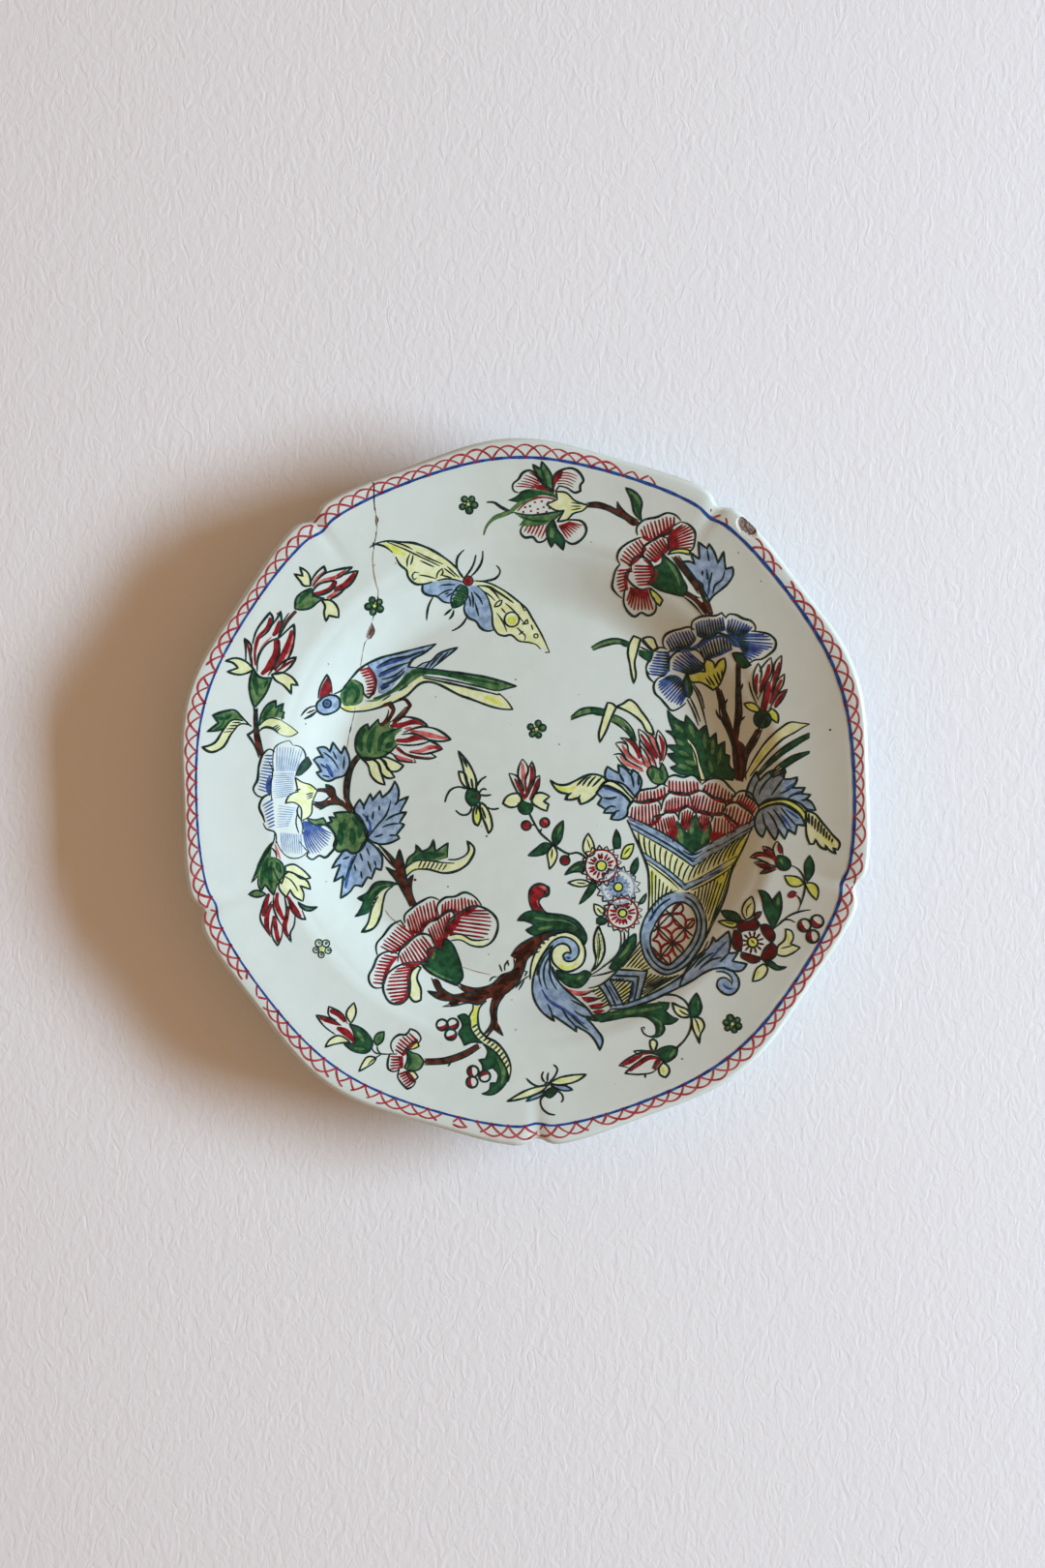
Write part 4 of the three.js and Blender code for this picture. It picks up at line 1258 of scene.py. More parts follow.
# %% The curl at the horn's tip
def horn_curl():
    wash(straw, [(548, 1012), (549, 998), (553, 985), (561, 972), (572, 965), (585, 963), (596, 967),
        (603, 976), (605, 986), (602, 996), (594, 1002), (585, 1004), (577, 1000), (566, 990), (556, 1000)])
    line([(577, 997), (586, 1000), (596, 996)], 4, paint=yellow, lift=LIFT_TINT)
    wash(blue, [(556, 1006), (558, 992), (565, 980), (573, 971), (583, 968), (592, 971), (598, 979),
        (597, 988), (591, 993), (584, 992), (582, 987), (587, 984), (590, 985), (588, 978), (582, 975),
        (575, 977), (570, 984), (562, 994)], LIFT_SHADE)
    line([(584, 989), (590, 990)], 3, paint=deep_blue, lift=LIFT_SHADE + 0.01)
    line([(548, 1012), (549, 998), (553, 985), (561, 972), (572, 965), (585, 963), (596, 967), (603, 976),
        (605, 986), (602, 996), (594, 1002), (585, 1004), (577, 1000), (571, 993), (570, 986), (574, 978),
        (582, 975), (588, 978), (590, 985), (586, 984), (582, 987), (584, 992), (591, 993), (597, 988),
        (598, 979), (592, 971), (583, 968), (573, 971), (565, 980), (558, 992), (555, 1008)], 1.9,
        (0.8, 1, 0.7))
    shape(blue, [(551, 1012), (556, 996), (564, 983), (571, 977), (568, 988), (571, 1003), (578, 1015),
        (590, 1027), (606, 1041), (617, 1055), (606, 1052), (616, 1063), (623, 1075), (620, 1085),
        (612, 1071), (595, 1060), (596, 1066), (582, 1056), (570, 1048), (573, 1055), (559, 1044),
        (551, 1028)])
    tone(deep_blue, [(560, 1022), (566, 1032), (584, 1044), (604, 1058)], 3.6, (0.5, 1, 0.4))
    line([(559, 1018), (571, 1028), (588, 1042), (600, 1052)], 4, paint=blue, lift=LIFT_SHADE + 0.01)
    for strand in ([(570, 980), (562, 990), (557, 1004), (560, 1020)],
            [(570, 985), (563, 998), (562, 1010), (566, 1023)],
            [(569, 992), (568, 1005), (571, 1015), (576, 1023)], [(571, 998), (576, 1009), (584, 1016)],
            [(566, 1037), (571, 1048)], [(581, 1042), (587, 1052), (595, 1060)], [(590, 1033), (607, 1042)],
            [(593, 1044), (603, 1050), (613, 1051)], [(590, 1049), (600, 1058), (608, 1064)]):
        line(strand, 1.8)
    shape(deep_green, [(575, 1002), (586, 1006), (598, 1006), (605, 1003), (611, 1006), (606, 1014),
        (599, 1020), (588, 1019), (579, 1011)], 1.6, [(leaf_green, [(596, 1012), (604, 1008)], 3)])
    shape(straw, [(618, 957), (614, 968), (614, 982), (616, 991), (611, 1004), (621, 993), (625, 980),
        (623, 967)], 1.6)
    line([(617, 968), (618, 984), (615, 997)], 1.3, paint=leaf_green)


horn_curl()
show_progress("the curl at the horn's tip")

# %% [markdown]
# Small sprigs fill the lower left: a striped crescent leaf with berries, a small carnation and a red bud.
# The berries are alike, so one function draws them where they are wanted.

# %% The crescent leaf and its berries
def berries(places, radius=5.8, turn=1.2):
    """Round berries, each white above and red on its shaded side."""
    for x, y in places:
        skin = [(a, radius * 0.94) for a in np.arange(-1.75, 1.8, 0.5)]
        hollow = [(1.3, radius * 0.5), (0.2, radius * 0.16), (-1.2, radius * 0.42)]
        wash(crimson, [(x + r * math.cos(turn + a), y + r * math.sin(turn + a)) for a, r in skin + hollow])
        ring_mark(x, y, radius, 1.9)


def crescent_leaf():
    wash(yellow, [(489, 1039), (485, 1051), (486, 1060), (494, 1062), (494, 1050), (496, 1040)])
    wash(straw, [(486, 1058), (491, 1070), (500, 1078), (511, 1085), (519, 1095), (525, 1112), (528, 1104),
        (524, 1090), (514, 1078), (500, 1070), (494, 1058)])
    line([(488, 1034), (489, 1042), (485, 1051), (486, 1061), (491, 1070), (500, 1078)], 1.7)
    line([(503, 1034), (496, 1041), (494, 1054), (496, 1064), (502, 1071), (513, 1077), (523, 1089),
        (528, 1104), (525, 1118)])
    stripes(ink, [(493, 1056), (496, 1066), (506, 1074), (518, 1084), (527, 1102)],
        [(487, 1060), (492, 1071), (503, 1079), (514, 1090), (523, 1108)], 13, 1.7, lift=LIFT_LINE)
    shape(deep_green, [(473, 1050), (481, 1048), (485, 1052), (487, 1063), (493, 1073), (499, 1078),
        (488, 1077), (480, 1080), (477, 1073), (474, 1068), (478, 1060)], 1.4)
    shape(deep_green, [(499, 1078), (511, 1086), (520, 1098), (525, 1112), (520, 1123), (508, 1131),
        (498, 1130), (506, 1126), (507, 1119), (513, 1119), (515, 1110), (509, 1103), (499, 1107),
        (498, 1099), (495, 1095), (502, 1094), (504, 1086)], 1.5, [(leaf_green,
        [(514, 1094), (520, 1106), (518, 1120)], 4)])
    berries([(457, 1059), (468, 1058), (466, 1069)])
    berries([(489, 1107), (488, 1118)], turn=3.0)
    berries([(501, 1112)], turn=4.4)


crescent_leaf()
show_progress("the crescent leaf and its berries")

# %% The small carnation
def small_carnation():
    line([(495, 1080), (482, 1088), (464, 1095), (438, 1097)], 5, (0.8, 1, 0.9), brown, lift=LIFT_WASH)
    line([(497, 1082), (483, 1091), (464, 1098), (438, 1100)], 1.5)
    line([(494, 1078), (480, 1086), (464, 1092), (438, 1094)], 1.5)
    line([(467, 1096), (463, 1102)], 1.6)
    line([(407, 1088), (404, 1079), (407, 1073), (413, 1069), (419, 1069), (424, 1063), (432, 1067),
        (435, 1074), (432, 1078)], 1.9)
    petal_strokes(crimson, [(416, 1091), (421, 1084), (432, 1074)], [(408, 1086), (412, 1074), (424, 1066)],
        7)
    line([(411, 1089), (403, 1089), (401, 1096), (402, 1105), (408, 1107), (414, 1103)], 1.9)
    petal_strokes(crimson, [(415, 1091), (415, 1104)], [(403, 1090), (403, 1106)], 5)
    line([(413, 1105), (411, 1112), (415, 1119), (421, 1125), (427, 1122), (430, 1117)], 1.9)
    petal_strokes(crimson, [(420, 1106), (429, 1118)], [(411, 1109), (420, 1125)], 6)
    shape(yellow, [(421, 1084), (425, 1078), (432, 1077), (433, 1081), (426, 1084)], 1.5)
    shape(straw, [(421, 1108), (427, 1107), (432, 1113), (428, 1117), (423, 1114)], 1.5)
    shape(leaf_green, [(419, 1083), (425, 1087), (433, 1090), (438, 1097), (433, 1105), (424, 1106),
        (418, 1103), (421, 1095)], 1.5, [(deep_green, [(420, 1087), (424, 1096), (421, 1104)], 4)])


small_carnation()
show_progress("the small carnation")

# %% The lower red bud
def lower_bud():
    tone(crimson, [(341, 1044), (350, 1048), (357, 1056)], 6, (0.7, 1, 0.5))
    tone(crimson, [(330, 1051), (341, 1055), (351, 1059)], 5, (0.5, 1, 0.5))
    tone(crimson, [(348, 1062), (358, 1067), (367, 1078)], 7, (0.6, 1, 0.4))
    tone(crimson, [(361, 1057), (365, 1065)], 2.6)
    line([(359, 1058), (354, 1048), (347, 1043), (340, 1040), (340, 1049), (348, 1054)], 1.7)
    line([(353, 1060), (341, 1052), (327, 1049), (334, 1059), (347, 1069)], 1.7)
    shape(straw, [(363, 1057), (358, 1049), (366, 1036), (368, 1046)], 1.6)
    shape(straw, [(336, 1082), (341, 1074), (349, 1070), (362, 1077), (350, 1078)], 1.6)
    shape(deep_green, [(361, 1058), (371, 1061), (379, 1067), (385, 1080), (380, 1087), (368, 1087),
        (356, 1079), (367, 1078), (366, 1068)], 1.6, [(leaf_green, [(369, 1066), (376, 1076)], 4),
        (leaf_green, [(366, 1083), (377, 1084)], 3)])
    line([(384, 1082), (387, 1087), (396, 1089), (404, 1089)], 1.5)
    shape(leaf_green, [(397, 1066), (390, 1068), (387, 1077), (390, 1080), (395, 1076)], 1.5)
    line([(390, 1080), (391, 1086), (395, 1089)], 1.3)
    shape(straw, [(389, 1093), (380, 1092), (375, 1098), (371, 1107), (380, 1102), (386, 1098)], 1.5)
    line([(395, 1089), (388, 1093), (380, 1100)], 1.3)


lower_bud()
show_progress("the lower red bud")

# %% [markdown]
# The horn of plenty holds the middle of the picture: a striped yellow body between blue bands, with a
# round of interlaced rings on its side and a large red peony in its mouth.

# %% The peony in the horn's mouth
def peony_petal(edge, near, far, count):
    line(edge, 2.0)
    petal_strokes(crimson, near, far, count)


def large_peony():
    peony_petal([(655, 826), (660, 818), (670, 815), (677, 814), (684, 810), (690, 813)],
        [(656, 828), (668, 829), (680, 826), (689, 821)], [(658, 822), (664, 818), (676, 816), (688, 812)],
        9)
    peony_petal([(687, 812), (689, 805), (696, 801), (707, 803), (716, 801), (722, 806), (725, 810)],
        [(690, 817), (700, 820), (712, 820), (723, 816)], [(690, 806), (700, 806), (712, 806), (722, 808)],
        9)
    peony_petal([(725, 811), (731, 806), (738, 804), (747, 806), (754, 813), (760, 819), (757, 826)],
        [(726, 815), (737, 824), (748, 828), (758, 826)], [(728, 811), (736, 808), (748, 813), (758, 821)],
        9)
    peony_petal([(759, 824), (762, 819), (768, 817), (775, 819), (781, 828), (784, 835), (782, 840)],
        [(760, 828), (769, 832), (779, 841)], [(763, 821), (771, 820), (783, 834)], 8)
    peony_petal([(648, 843), (650, 834), (655, 828), (663, 829), (672, 826), (678, 826), (683, 832),
        (683, 838)], [(650, 846), (660, 849), (671, 853), (683, 843)],
        [(652, 834), (662, 832), (674, 830), (682, 833)], 9)
    peony_petal([(684, 836), (686, 826), (692, 819), (701, 819), (709, 820), (713, 823), (714, 831)],
        [(686, 838), (696, 838), (706, 835), (713, 831)], [(688, 828), (697, 823), (713, 824)], 8)
    peony_petal([(713, 822), (717, 818), (722, 817), (730, 819), (738, 824), (747, 826), (750, 832),
        (748, 839)], [(714, 832), (722, 838), (735, 841), (747, 842)],
        [(716, 821), (726, 821), (738, 826), (749, 832)], 10)
    peony_petal([(747, 840), (751, 832), (758, 829), (767, 832), (774, 838), (779, 844), (777, 848)],
        [(748, 842), (757, 848), (767, 854), (776, 850)], [(750, 835), (760, 833), (772, 838), (778, 844)],
        8)
    peony_petal([(674, 852), (676, 844), (684, 842), (692, 838), (698, 840), (702, 848)],
        [(677, 857), (686, 864), (696, 869), (700, 855)], [(676, 848), (685, 845), (697, 842)], 8)
    peony_petal([(702, 848), (703, 838), (708, 833), (714, 835), (719, 840), (721, 845)],
        [(704, 849), (708, 857), (714, 850)], [(704, 839), (711, 836), (718, 839)], 5)
    peony_petal([(719, 841), (724, 838), (732, 840), (736, 846), (734, 850)],
        [(721, 848), (727, 858), (733, 850)], [(722, 843), (728, 841), (734, 844)], 5)
    peony_petal([(736, 848), (738, 842), (744, 840), (752, 843), (758, 848), (763, 853)],
        [(736, 862), (742, 866), (755, 862), (763, 856)], [(738, 845), (746, 844), (754, 849), (762, 854)],
        8)
    wash(crimson, [(686, 862), (694, 857), (699, 864), (697, 870)], LIFT_SHADE)
    wash(crimson, [(734, 859), (744, 860), (752, 862), (735, 872)], LIFT_SHADE)
    for base in ([(656, 829), (668, 829), (681, 826), (689, 821)],
            [(690, 818), (701, 821), (713, 821), (724, 816)],
            [(726, 816), (737, 825), (748, 829), (758, 827)], [(653, 847), (662, 851), (671, 854)],
            [(686, 840), (697, 839), (712, 832)], [(716, 836), (728, 841), (746, 842)],
            [(750, 845), (766, 856), (775, 851)], [(762, 830), (776, 840)]):
        tone(crimson, base, 2.4)
    wash(deep_green, [(697, 857), (701, 849), (707, 856), (710, 860), (711, 852), (716, 845), (719, 843),
        (723, 850), (724, 858), (729, 852), (734, 850), (736, 860), (733, 871), (726, 879), (716, 882),
        (707, 878), (699, 870)])
    tone(leaf_green, [(702, 856), (703, 864), (705, 872)], 6, (0.6, 1, 0.4))
    tone(leaf_green, [(731, 856), (729, 864), (725, 872)], 6, (0.6, 1, 0.4))
    tone(leaf_green, [(716, 850), (714, 862)], 4, (0.6, 1, 0.4))
    line([(697, 857), (700, 848), (706, 856), (710, 861)], 1.4)
    line([(709, 858), (713, 849), (719, 842), (723, 850), (725, 859)], 1.4)
    line([(724, 862), (729, 852), (734, 849), (736, 859)], 1.4)
    line([(705, 878), (715, 883), (727, 878)], 1.6)


large_peony()
show_progress("the peony in the horn's mouth")

# %% [markdown]
# The horn is straw-yellow with dark ribs, blue bands in a zigzag, and a round with interlaced rings. The
# ribs run between two curves, which gives them the fan of a cone. It narrows to a hatched end with a blue
# leaf.

# %% The body of the striped horn
def horn_body():
    wash(straw, [(655, 855), (661, 872), (667, 889), (670, 910), (670, 930), (669, 944), (680, 930),
        (694, 922), (712, 922), (726, 934), (731, 958), (729, 968), (741, 945), (755, 905), (766, 878),
        (776, 856), (745, 872), (716, 890), (690, 873), (670, 862)], smooth=False)
    line([(735, 935), (748, 905), (768, 865)], 14, (0.6, 1, 0.8), yellow, lift=LIFT_TINT)
    line([(674, 900), (673, 925)], 6, (0.6, 1, 0.5), yellow, lift=LIFT_TINT)
    stripes(ink, [(657, 859), (675, 870), (695, 882), (715, 894), (735, 883), (755, 871), (775, 859)],
        [(662, 879), (678, 890), (694, 901), (708, 911), (724, 903), (740, 895), (759, 884)], 20, 1.4,
        (1, 1, 0.8), LIFT_LINE, 0.06)
    stripes(ink, [(672, 897), (682, 908), (694, 918), (702, 922)],
        [(673, 945), (681, 934), (690, 925), (698, 922)], 7, 1.3, (1, 1, 0.8), LIFT_LINE)
    stripes(ink, [(717, 922), (730, 912), (744, 904), (756, 898)],
        [(716, 925), (724, 931), (731, 950), (735, 958)], 9, 1.3, (1, 1, 0.8), LIFT_LINE)
    line([(757, 893), (748, 925), (738, 948), (729, 968)], 2.0)
    line([(778, 853), (768, 876), (757, 898), (748, 930), (736, 955), (726, 975), (712, 995)], 2.2)
    line([(648, 847), (655, 862), (663, 880), (669, 896), (671, 920), (670, 942)], 2.3)


horn_body()
show_progress("the body of the striped horn")

# %% The blue bands of the horn
def blue_band(upper, lower, width=2.0):
    wash(blue, upper + lower[::-1], LIFT_WASH + 0.02, smooth=False)
    for edge in (upper, lower):
        line(edge, width)


def horn_bands():
    """Two bands shaped like a V, each with a second, narrow band along its lower edge."""
    blue_band([(648, 843), (672, 854), (696, 867), (716, 882), (735, 871), (757, 859), (782, 845)],
        [(650, 850), (672, 862), (696, 876), (716, 890), (735, 878), (757, 866), (781, 852)])
    wash(blue, [(651, 851), (672, 863), (696, 877), (716, 891), (735, 879), (757, 867), (780, 853),
        (778, 857), (757, 870), (735, 883), (716, 895), (696, 881), (672, 867), (653, 856)],
        LIFT_WASH + 0.02, smooth=False)
    line([(653, 856), (672, 867), (696, 881), (716, 895), (735, 883), (757, 870), (778, 857)], 1.6)
    blue_band([(664, 880), (680, 891), (696, 903), (708, 914), (724, 907), (742, 896), (762, 884)],
        [(666, 887), (680, 896), (696, 909), (708, 920), (724, 912), (742, 902), (760, 890)], 1.7)
    line([(668, 891), (680, 900), (694, 911), (702, 919)], 1.4)
    line([(714, 920), (726, 915), (742, 906), (758, 895)], 1.4)
    line([(700, 876), (716, 887), (733, 877)], 2.4, paint=deep_blue, lift=LIFT_SHADE + 0.01)
    line([(728, 908), (745, 898)], 2.2, paint=deep_blue, lift=LIFT_SHADE + 0.01)


horn_bands()
show_progress("the blue bands of the horn")

# %% The ringed round on the horn
def inner_near(outer, inner):
    """The point of the inner outline nearest to each point of the outer one."""
    return [min(inner, key=lambda spot: math.dist(spot, place)) for place in outer]


def ringed_round():
    outer = [(704, 921), (718, 926), (727, 940), (730, 955), (728, 970), (720, 985), (711, 996),
        (699, 1004), (688, 1007), (677, 1002), (668, 992), (663, 978), (662, 965), (666, 950), (673, 938),
        (685, 926), (694, 922)]
    middle = [(704, 926), (714, 930), (722, 941), (725, 956), (722, 970), (714, 984), (703, 996),
        (690, 1002), (678, 996), (670, 984), (667, 970), (670, 955), (678, 940), (690, 930)]
    inner = [(705, 932), (713, 936), (719, 945), (720, 957), (717, 968), (709, 981), (700, 990), (690, 997),
        (681, 992), (674, 982), (672, 970), (676, 957), (682, 947), (692, 936)]
    between = [((a[0] + b[0]) / 2, (a[1] + b[1]) / 2) for a, b in zip(outer, inner_near(outer, inner))]
    line(between, 11, (1, 1, 1), blue, closed=True, lift=LIFT_WASH + 0.02)
    for edge in (outer, middle, inner):
        line(edge, 1.8, (1, 1, 1), closed=True)
    for stroke in ([(680, 938), (668, 958)], [(716, 930), (724, 942)], [(698, 1001), (713, 988)]):
        line(stroke, 2.4, (0.3, 1, 0.3), deep_blue, lift=LIFT_SHADE + 0.01)
    for arc in ([(680, 958), (683, 948), (690, 944), (695, 944), (698, 936), (704, 933)],
            [(704, 933), (706, 940), (702, 944), (695, 944)],
            [(695, 944), (705, 945), (709, 952), (708, 958)],
            [(680, 958), (690, 957), (695, 952), (695, 944)], [(695, 944), (698, 954), (708, 959)],
            [(708, 959), (709, 951), (717, 949), (718, 953)], [(708, 959), (714, 958), (718, 952)],
            [(680, 958), (679, 967), (674, 971)], [(680, 958), (688, 960), (694, 966), (695, 974)],
            [(708, 959), (699, 960), (694, 966), (695, 974)], [(708, 959), (710, 968), (713, 970)],
            [(674, 972), (680, 973), (683, 980), (683, 988)],
            [(695, 974), (687, 976), (683, 981), (683, 988)], [(680, 962), (686, 970), (695, 974)],
            [(695, 974), (703, 977), (706, 981), (706, 985)], [(695, 974), (696, 983), (700, 989)],
            [(708, 962), (707, 970), (695, 974)], [(683, 988), (678, 986), (674, 979)],
            [(683, 988), (690, 987), (693, 992), (692, 996)], [(683, 988), (683, 994), (690, 996)],
            [(683, 988), (690, 986), (696, 976)]):
        tone(crimson, arc, 2.6, (0.8, 1, 0.8))
    for rule in ([(705, 932), (680, 958), (675, 963)], [(688, 940), (708, 960), (716, 967)],
            [(717, 950), (695, 974), (683, 988), (680, 991)], [(677, 956), (695, 974), (705, 985)],
            [(674, 978), (683, 988), (691, 996)]):
        line(rule, 1.5, (1, 1, 1), lift=LIFT_TOP)


ringed_round()
show_progress("the ringed round on the horn")

# %% The hatched end of the horn
def hatched(corners, near, far, count):
    """A yellow field crossed by ink strokes."""
    wash(straw, corners, smooth=False)
    stripes(ink, near, far, count, 1.35, (1, 1, 0.8), LIFT_LINE)


def horn_end():
    hatched([(662, 975), (664, 984), (668, 993), (675, 1001), (668, 1003), (642, 1000), (652, 988)],
        [(662, 976), (664, 986), (668, 995), (674, 1001)],
        [(641, 999), (650, 1001), (660, 1002), (668, 1003)], 7)
    hatched([(671, 1004), (680, 1008), (692, 1009), (704, 1005), (690, 1017), (664, 1030), (666, 1018)],
        [(672, 1005), (682, 1008), (694, 1009), (704, 1006)],
        [(667, 1012), (666, 1018), (664, 1025), (664, 1031)], 8)
    hatched([(631, 1012), (640, 1010), (654, 1014), (652, 1026), (650, 1036), (645, 1038), (636, 1022)],
        [(636, 1011), (646, 1011), (653, 1015), (652, 1032)],
        [(632, 1014), (635, 1020), (640, 1029), (645, 1038)], 9)
    hatched([(612, 1022), (619, 1019), (626, 1029), (632, 1040), (627, 1041), (621, 1033)],
        [(619, 1020), (624, 1027), (631, 1037)], [(611, 1024), (618, 1031), (627, 1041)], 7)
    line([(690, 1012), (676, 1020)], 5, (0.4, 1, 0.4), yellow, lift=LIFT_TINT)
    line([(648, 1020), (644, 1030)], 5, (0.4, 1, 0.4), yellow, lift=LIFT_TINT)
    for path, width in (([(622, 1017), (629, 1028), (634, 1040)], 4),
            ([(627, 1014), (635, 1026), (641, 1038)], 4.5), ([(637, 1006), (665, 1006), (662, 1020),
            (658, 1033)], 5), ([(633, 1010), (657, 1011), (655, 1022), (652, 1036)], 3.5)):
        tone(blue, path, width, (1, 1, 1))
    line([(629, 1018), (639, 1034)], 2.4, paint=deep_blue, lift=LIFT_SHADE + 0.01)
    line([(656, 1014), (653, 1032)], 2.4, paint=deep_blue, lift=LIFT_SHADE + 0.01)
    for edge in ([(640, 1002), (669, 1003), (665, 1018), (661, 1032)],
            [(635, 1008), (660, 1009), (658, 1022), (655, 1035)],
            [(630, 1012), (654, 1014), (652, 1026), (649, 1037)], [(619, 1019), (626, 1029), (632, 1041)],
            [(624, 1015), (631, 1027), (637, 1040)], [(630, 1012), (637, 1024), (645, 1039)]):
        line(edge, 1.9, (1, 1, 1))
    line([(662, 972), (652, 986), (641, 999), (630, 1011), (620, 1018), (608, 1021)], 2.1)
    for colour, patch in ((rose, [(583, 1019), (592, 1023), (601, 1024), (612, 1023), (605, 1027),
            (598, 1029), (590, 1026)]), (crimson, [(601, 1030), (612, 1030), (620, 1031), (611, 1034),
            (605, 1035)]), (crimson, [(608, 1039), (616, 1037), (626, 1036), (621, 1040), (610, 1041)]),
            (crimson, [(612, 1045), (620, 1043), (626, 1044), (619, 1047), (614, 1047)])):
        wash(colour, patch, LIFT_SHADE)
    for edge in ([(599, 1029), (608, 1026), (615, 1022)], [(606, 1036), (616, 1033), (622, 1030)],
            [(610, 1042), (622, 1041), (630, 1036)], [(614, 1048), (626, 1047), (632, 1042)]):
        line(edge, 1.5)
    tone(deep_green, [(614, 1049), (628, 1049), (645, 1046)], 3)
    line([(630, 1041), (650, 1038), (668, 1033), (688, 1023), (706, 1012), (722, 999)], 5.5, (0.4, 1, 1.3),
        blue, lift=LIFT_TINT)
    line([(628, 1039), (646, 1037), (666, 1030), (688, 1019), (706, 1007), (722, 990), (732, 972)], 2.0)
    line([(630, 1043), (650, 1041), (670, 1035), (690, 1026), (708, 1017), (726, 1006)], 2.0)


horn_end()
show_progress("the hatched end of the horn")

# %% The blue leaf of the horn
def horn_leaf():
    shape(blue, [(712, 998), (722, 987), (733, 978), (737, 968), (740, 973), (753, 962), (755, 974),
        (753, 985), (763, 984), (757, 993), (772, 996), (766, 1003), (757, 1003), (748, 1000), (738, 1001),
        (728, 1005), (716, 1013), (702, 1020)], 1.9)
    for stroke in ([(738, 984), (728, 990), (718, 1000)], [(746, 989), (733, 993), (722, 1002)],
            [(737, 971), (733, 978)], [(753, 985), (744, 994)], [(730, 984), (720, 992)]):
        line(stroke, 2.0)
    tone(deep_blue, [(752, 972), (742, 982), (730, 996)], 3, (0.4, 1, 0.4))
    curl = [(738, 1001), (750, 1001), (760, 1006), (764, 1015), (762, 1023), (754, 1028), (746, 1025),
        (741, 1018), (743, 1012), (749, 1010), (754, 1013), (757, 1018)]
    wash(blue, curl + [(758, 1013), (752, 1006), (742, 1004)], LIFT_WASH)
    tone(deep_blue, [(747, 1017), (752, 1021), (757, 1022)], 2.6, (0.5, 1, 0.5))
    line(curl, 1.9)
    line([(740, 1004), (750, 1005), (756, 1010), (757, 1016)], 1.7)


horn_leaf()
show_progress("the blue leaf of the horn")

# %% [markdown]
# Small sprays fill the space round the horn. Their daisies are rings of short strokes round a yellow eye,
# so one function draws them all.

# %% The daisies
def leaf(paint, outline, vein=None, width=1.6):
    shape(paint, outline, width)
    if vein:
        line(vein, 1.3)


def daisy(x, y, reach, petals, paint, eye, seed):
    """A daisy: toothed edge in ink, a rim and rays of colour, and a yellow eye."""
    wobble = random.Random(seed)
    teeth = []
    for i in range(petals * 2):
        angle = math.pi * i / petals
        far = reach * (1.22 if i % 2 else 1.0) * wobble.uniform(0.95, 1.06)
        teeth.append((x + far * math.cos(angle), y + far * math.sin(angle)))
    line(teeth + teeth[:1], 1.4)
    ring_mark(x, y, reach * 0.95, 1.9, paint)
    for i in range(petals):
        angle = 2 * math.pi * (i + wobble.uniform(-0.2, 0.2)) / petals
        start = eye + 2
        end = reach * wobble.uniform(0.66, 0.85)
        tone(paint, [(x + start * math.cos(angle), y + start * math.sin(angle)),
            (x + end * math.cos(angle), y + end * math.sin(angle))], 2.6, (0.9, 1, 0.6))
    dot(yellow, x, y, 2 * eye, 2 * eye, 0, LIFT_SHADE + 0.01)
    ring_mark(x, y, eye + 0.4, 1.7)


def daisies():
    daisy(621.5, 894.5, 17.5, 17, crimson, 4.8, 1)
    wash(blue, [(639 + 10 * math.cos(a), 916 + 10 * math.sin(a)) for a in np.arange(0, 6.28, 0.5)])
    daisy(639, 916.5, 18, 17, blue, 4.2, 2)
    for i in range(11):
        angle = 2 * math.pi * i / 11
        tone(deep_blue, [(639 + 6 * math.cos(angle), 916.5 + 6 * math.sin(angle)),
            (639 + 11 * math.cos(angle), 916.5 + 11 * math.sin(angle))], 1.5)
    daisy(643.5, 943.5, 16.5, 17, crimson, 3.8, 3)
    leaf(straw, [(608, 861), (603, 871), (604, 881), (609, 885), (614, 882), (614, 874)],
        [(607, 867), (610, 877)])
    leaf(deep_green, [(637, 857), (634, 868), (635, 877), (641, 876), (641, 866)])
    leaf(yellow, [(655, 872), (647, 874), (643, 881), (642, 887), (648, 887), (653, 881)],
        [(651, 876), (645, 883)])
    leaf(deep_green, [(659, 886), (654, 892), (652, 900), (655, 904), (659, 897)])
    leaf(leaf_green, [(668, 923), (663, 929), (660, 934), (664, 933), (667, 929)])
    leaf(straw, [(614, 934), (615, 942), (618, 946), (624, 946), (625, 941), (620, 936)],
        [(617, 938), (622, 944)])
    leaf(deep_green, [(617, 949), (622, 948), (628, 951), (624, 955), (617, 954)])
    leaf(straw, [(619, 957), (615, 966), (614, 978), (616, 990), (614, 1002), (621, 994), (625, 984),
        (624, 972)], [(618, 963), (620, 980), (617, 997)])
    line([(626, 951), (619, 957)], 1.6)
    leaf(deep_green, [(606, 890), (597, 891), (590, 896), (584, 904), (593, 901), (603, 901)])
    tone(leaf_green, [(600, 894), (591, 899)], 3)
    leaf(straw, [(587, 912), (597, 909), (606, 910), (611, 913), (603, 916), (594, 915)],
        [(596, 912), (606, 913)])
    leaf(deep_green, [(599, 934), (604, 924), (609, 916), (613, 908), (616, 914), (612, 923), (606, 929)])
    shape(deep_green, [(657, 965), (649, 971), (643, 981), (636, 990), (630, 1000), (636, 1002), (645, 995),
        (652, 985), (657, 975)], 1.7, [(leaf_green, [(652, 974), (640, 990)], 4)])
    for stem in ([(641, 961), (642, 972), (640, 982), (634, 991), (622, 999)],
            [(650, 962), (648, 974), (641, 986)], [(645, 962), (645, 974), (641, 982)],
            [(656, 964), (645, 974), (637, 987), (622, 1000), (610, 1008)],
            [(640, 1001), (625, 1006), (610, 1009)]):
        line(stem, 1.6)


daisies()
show_progress("the daisies")

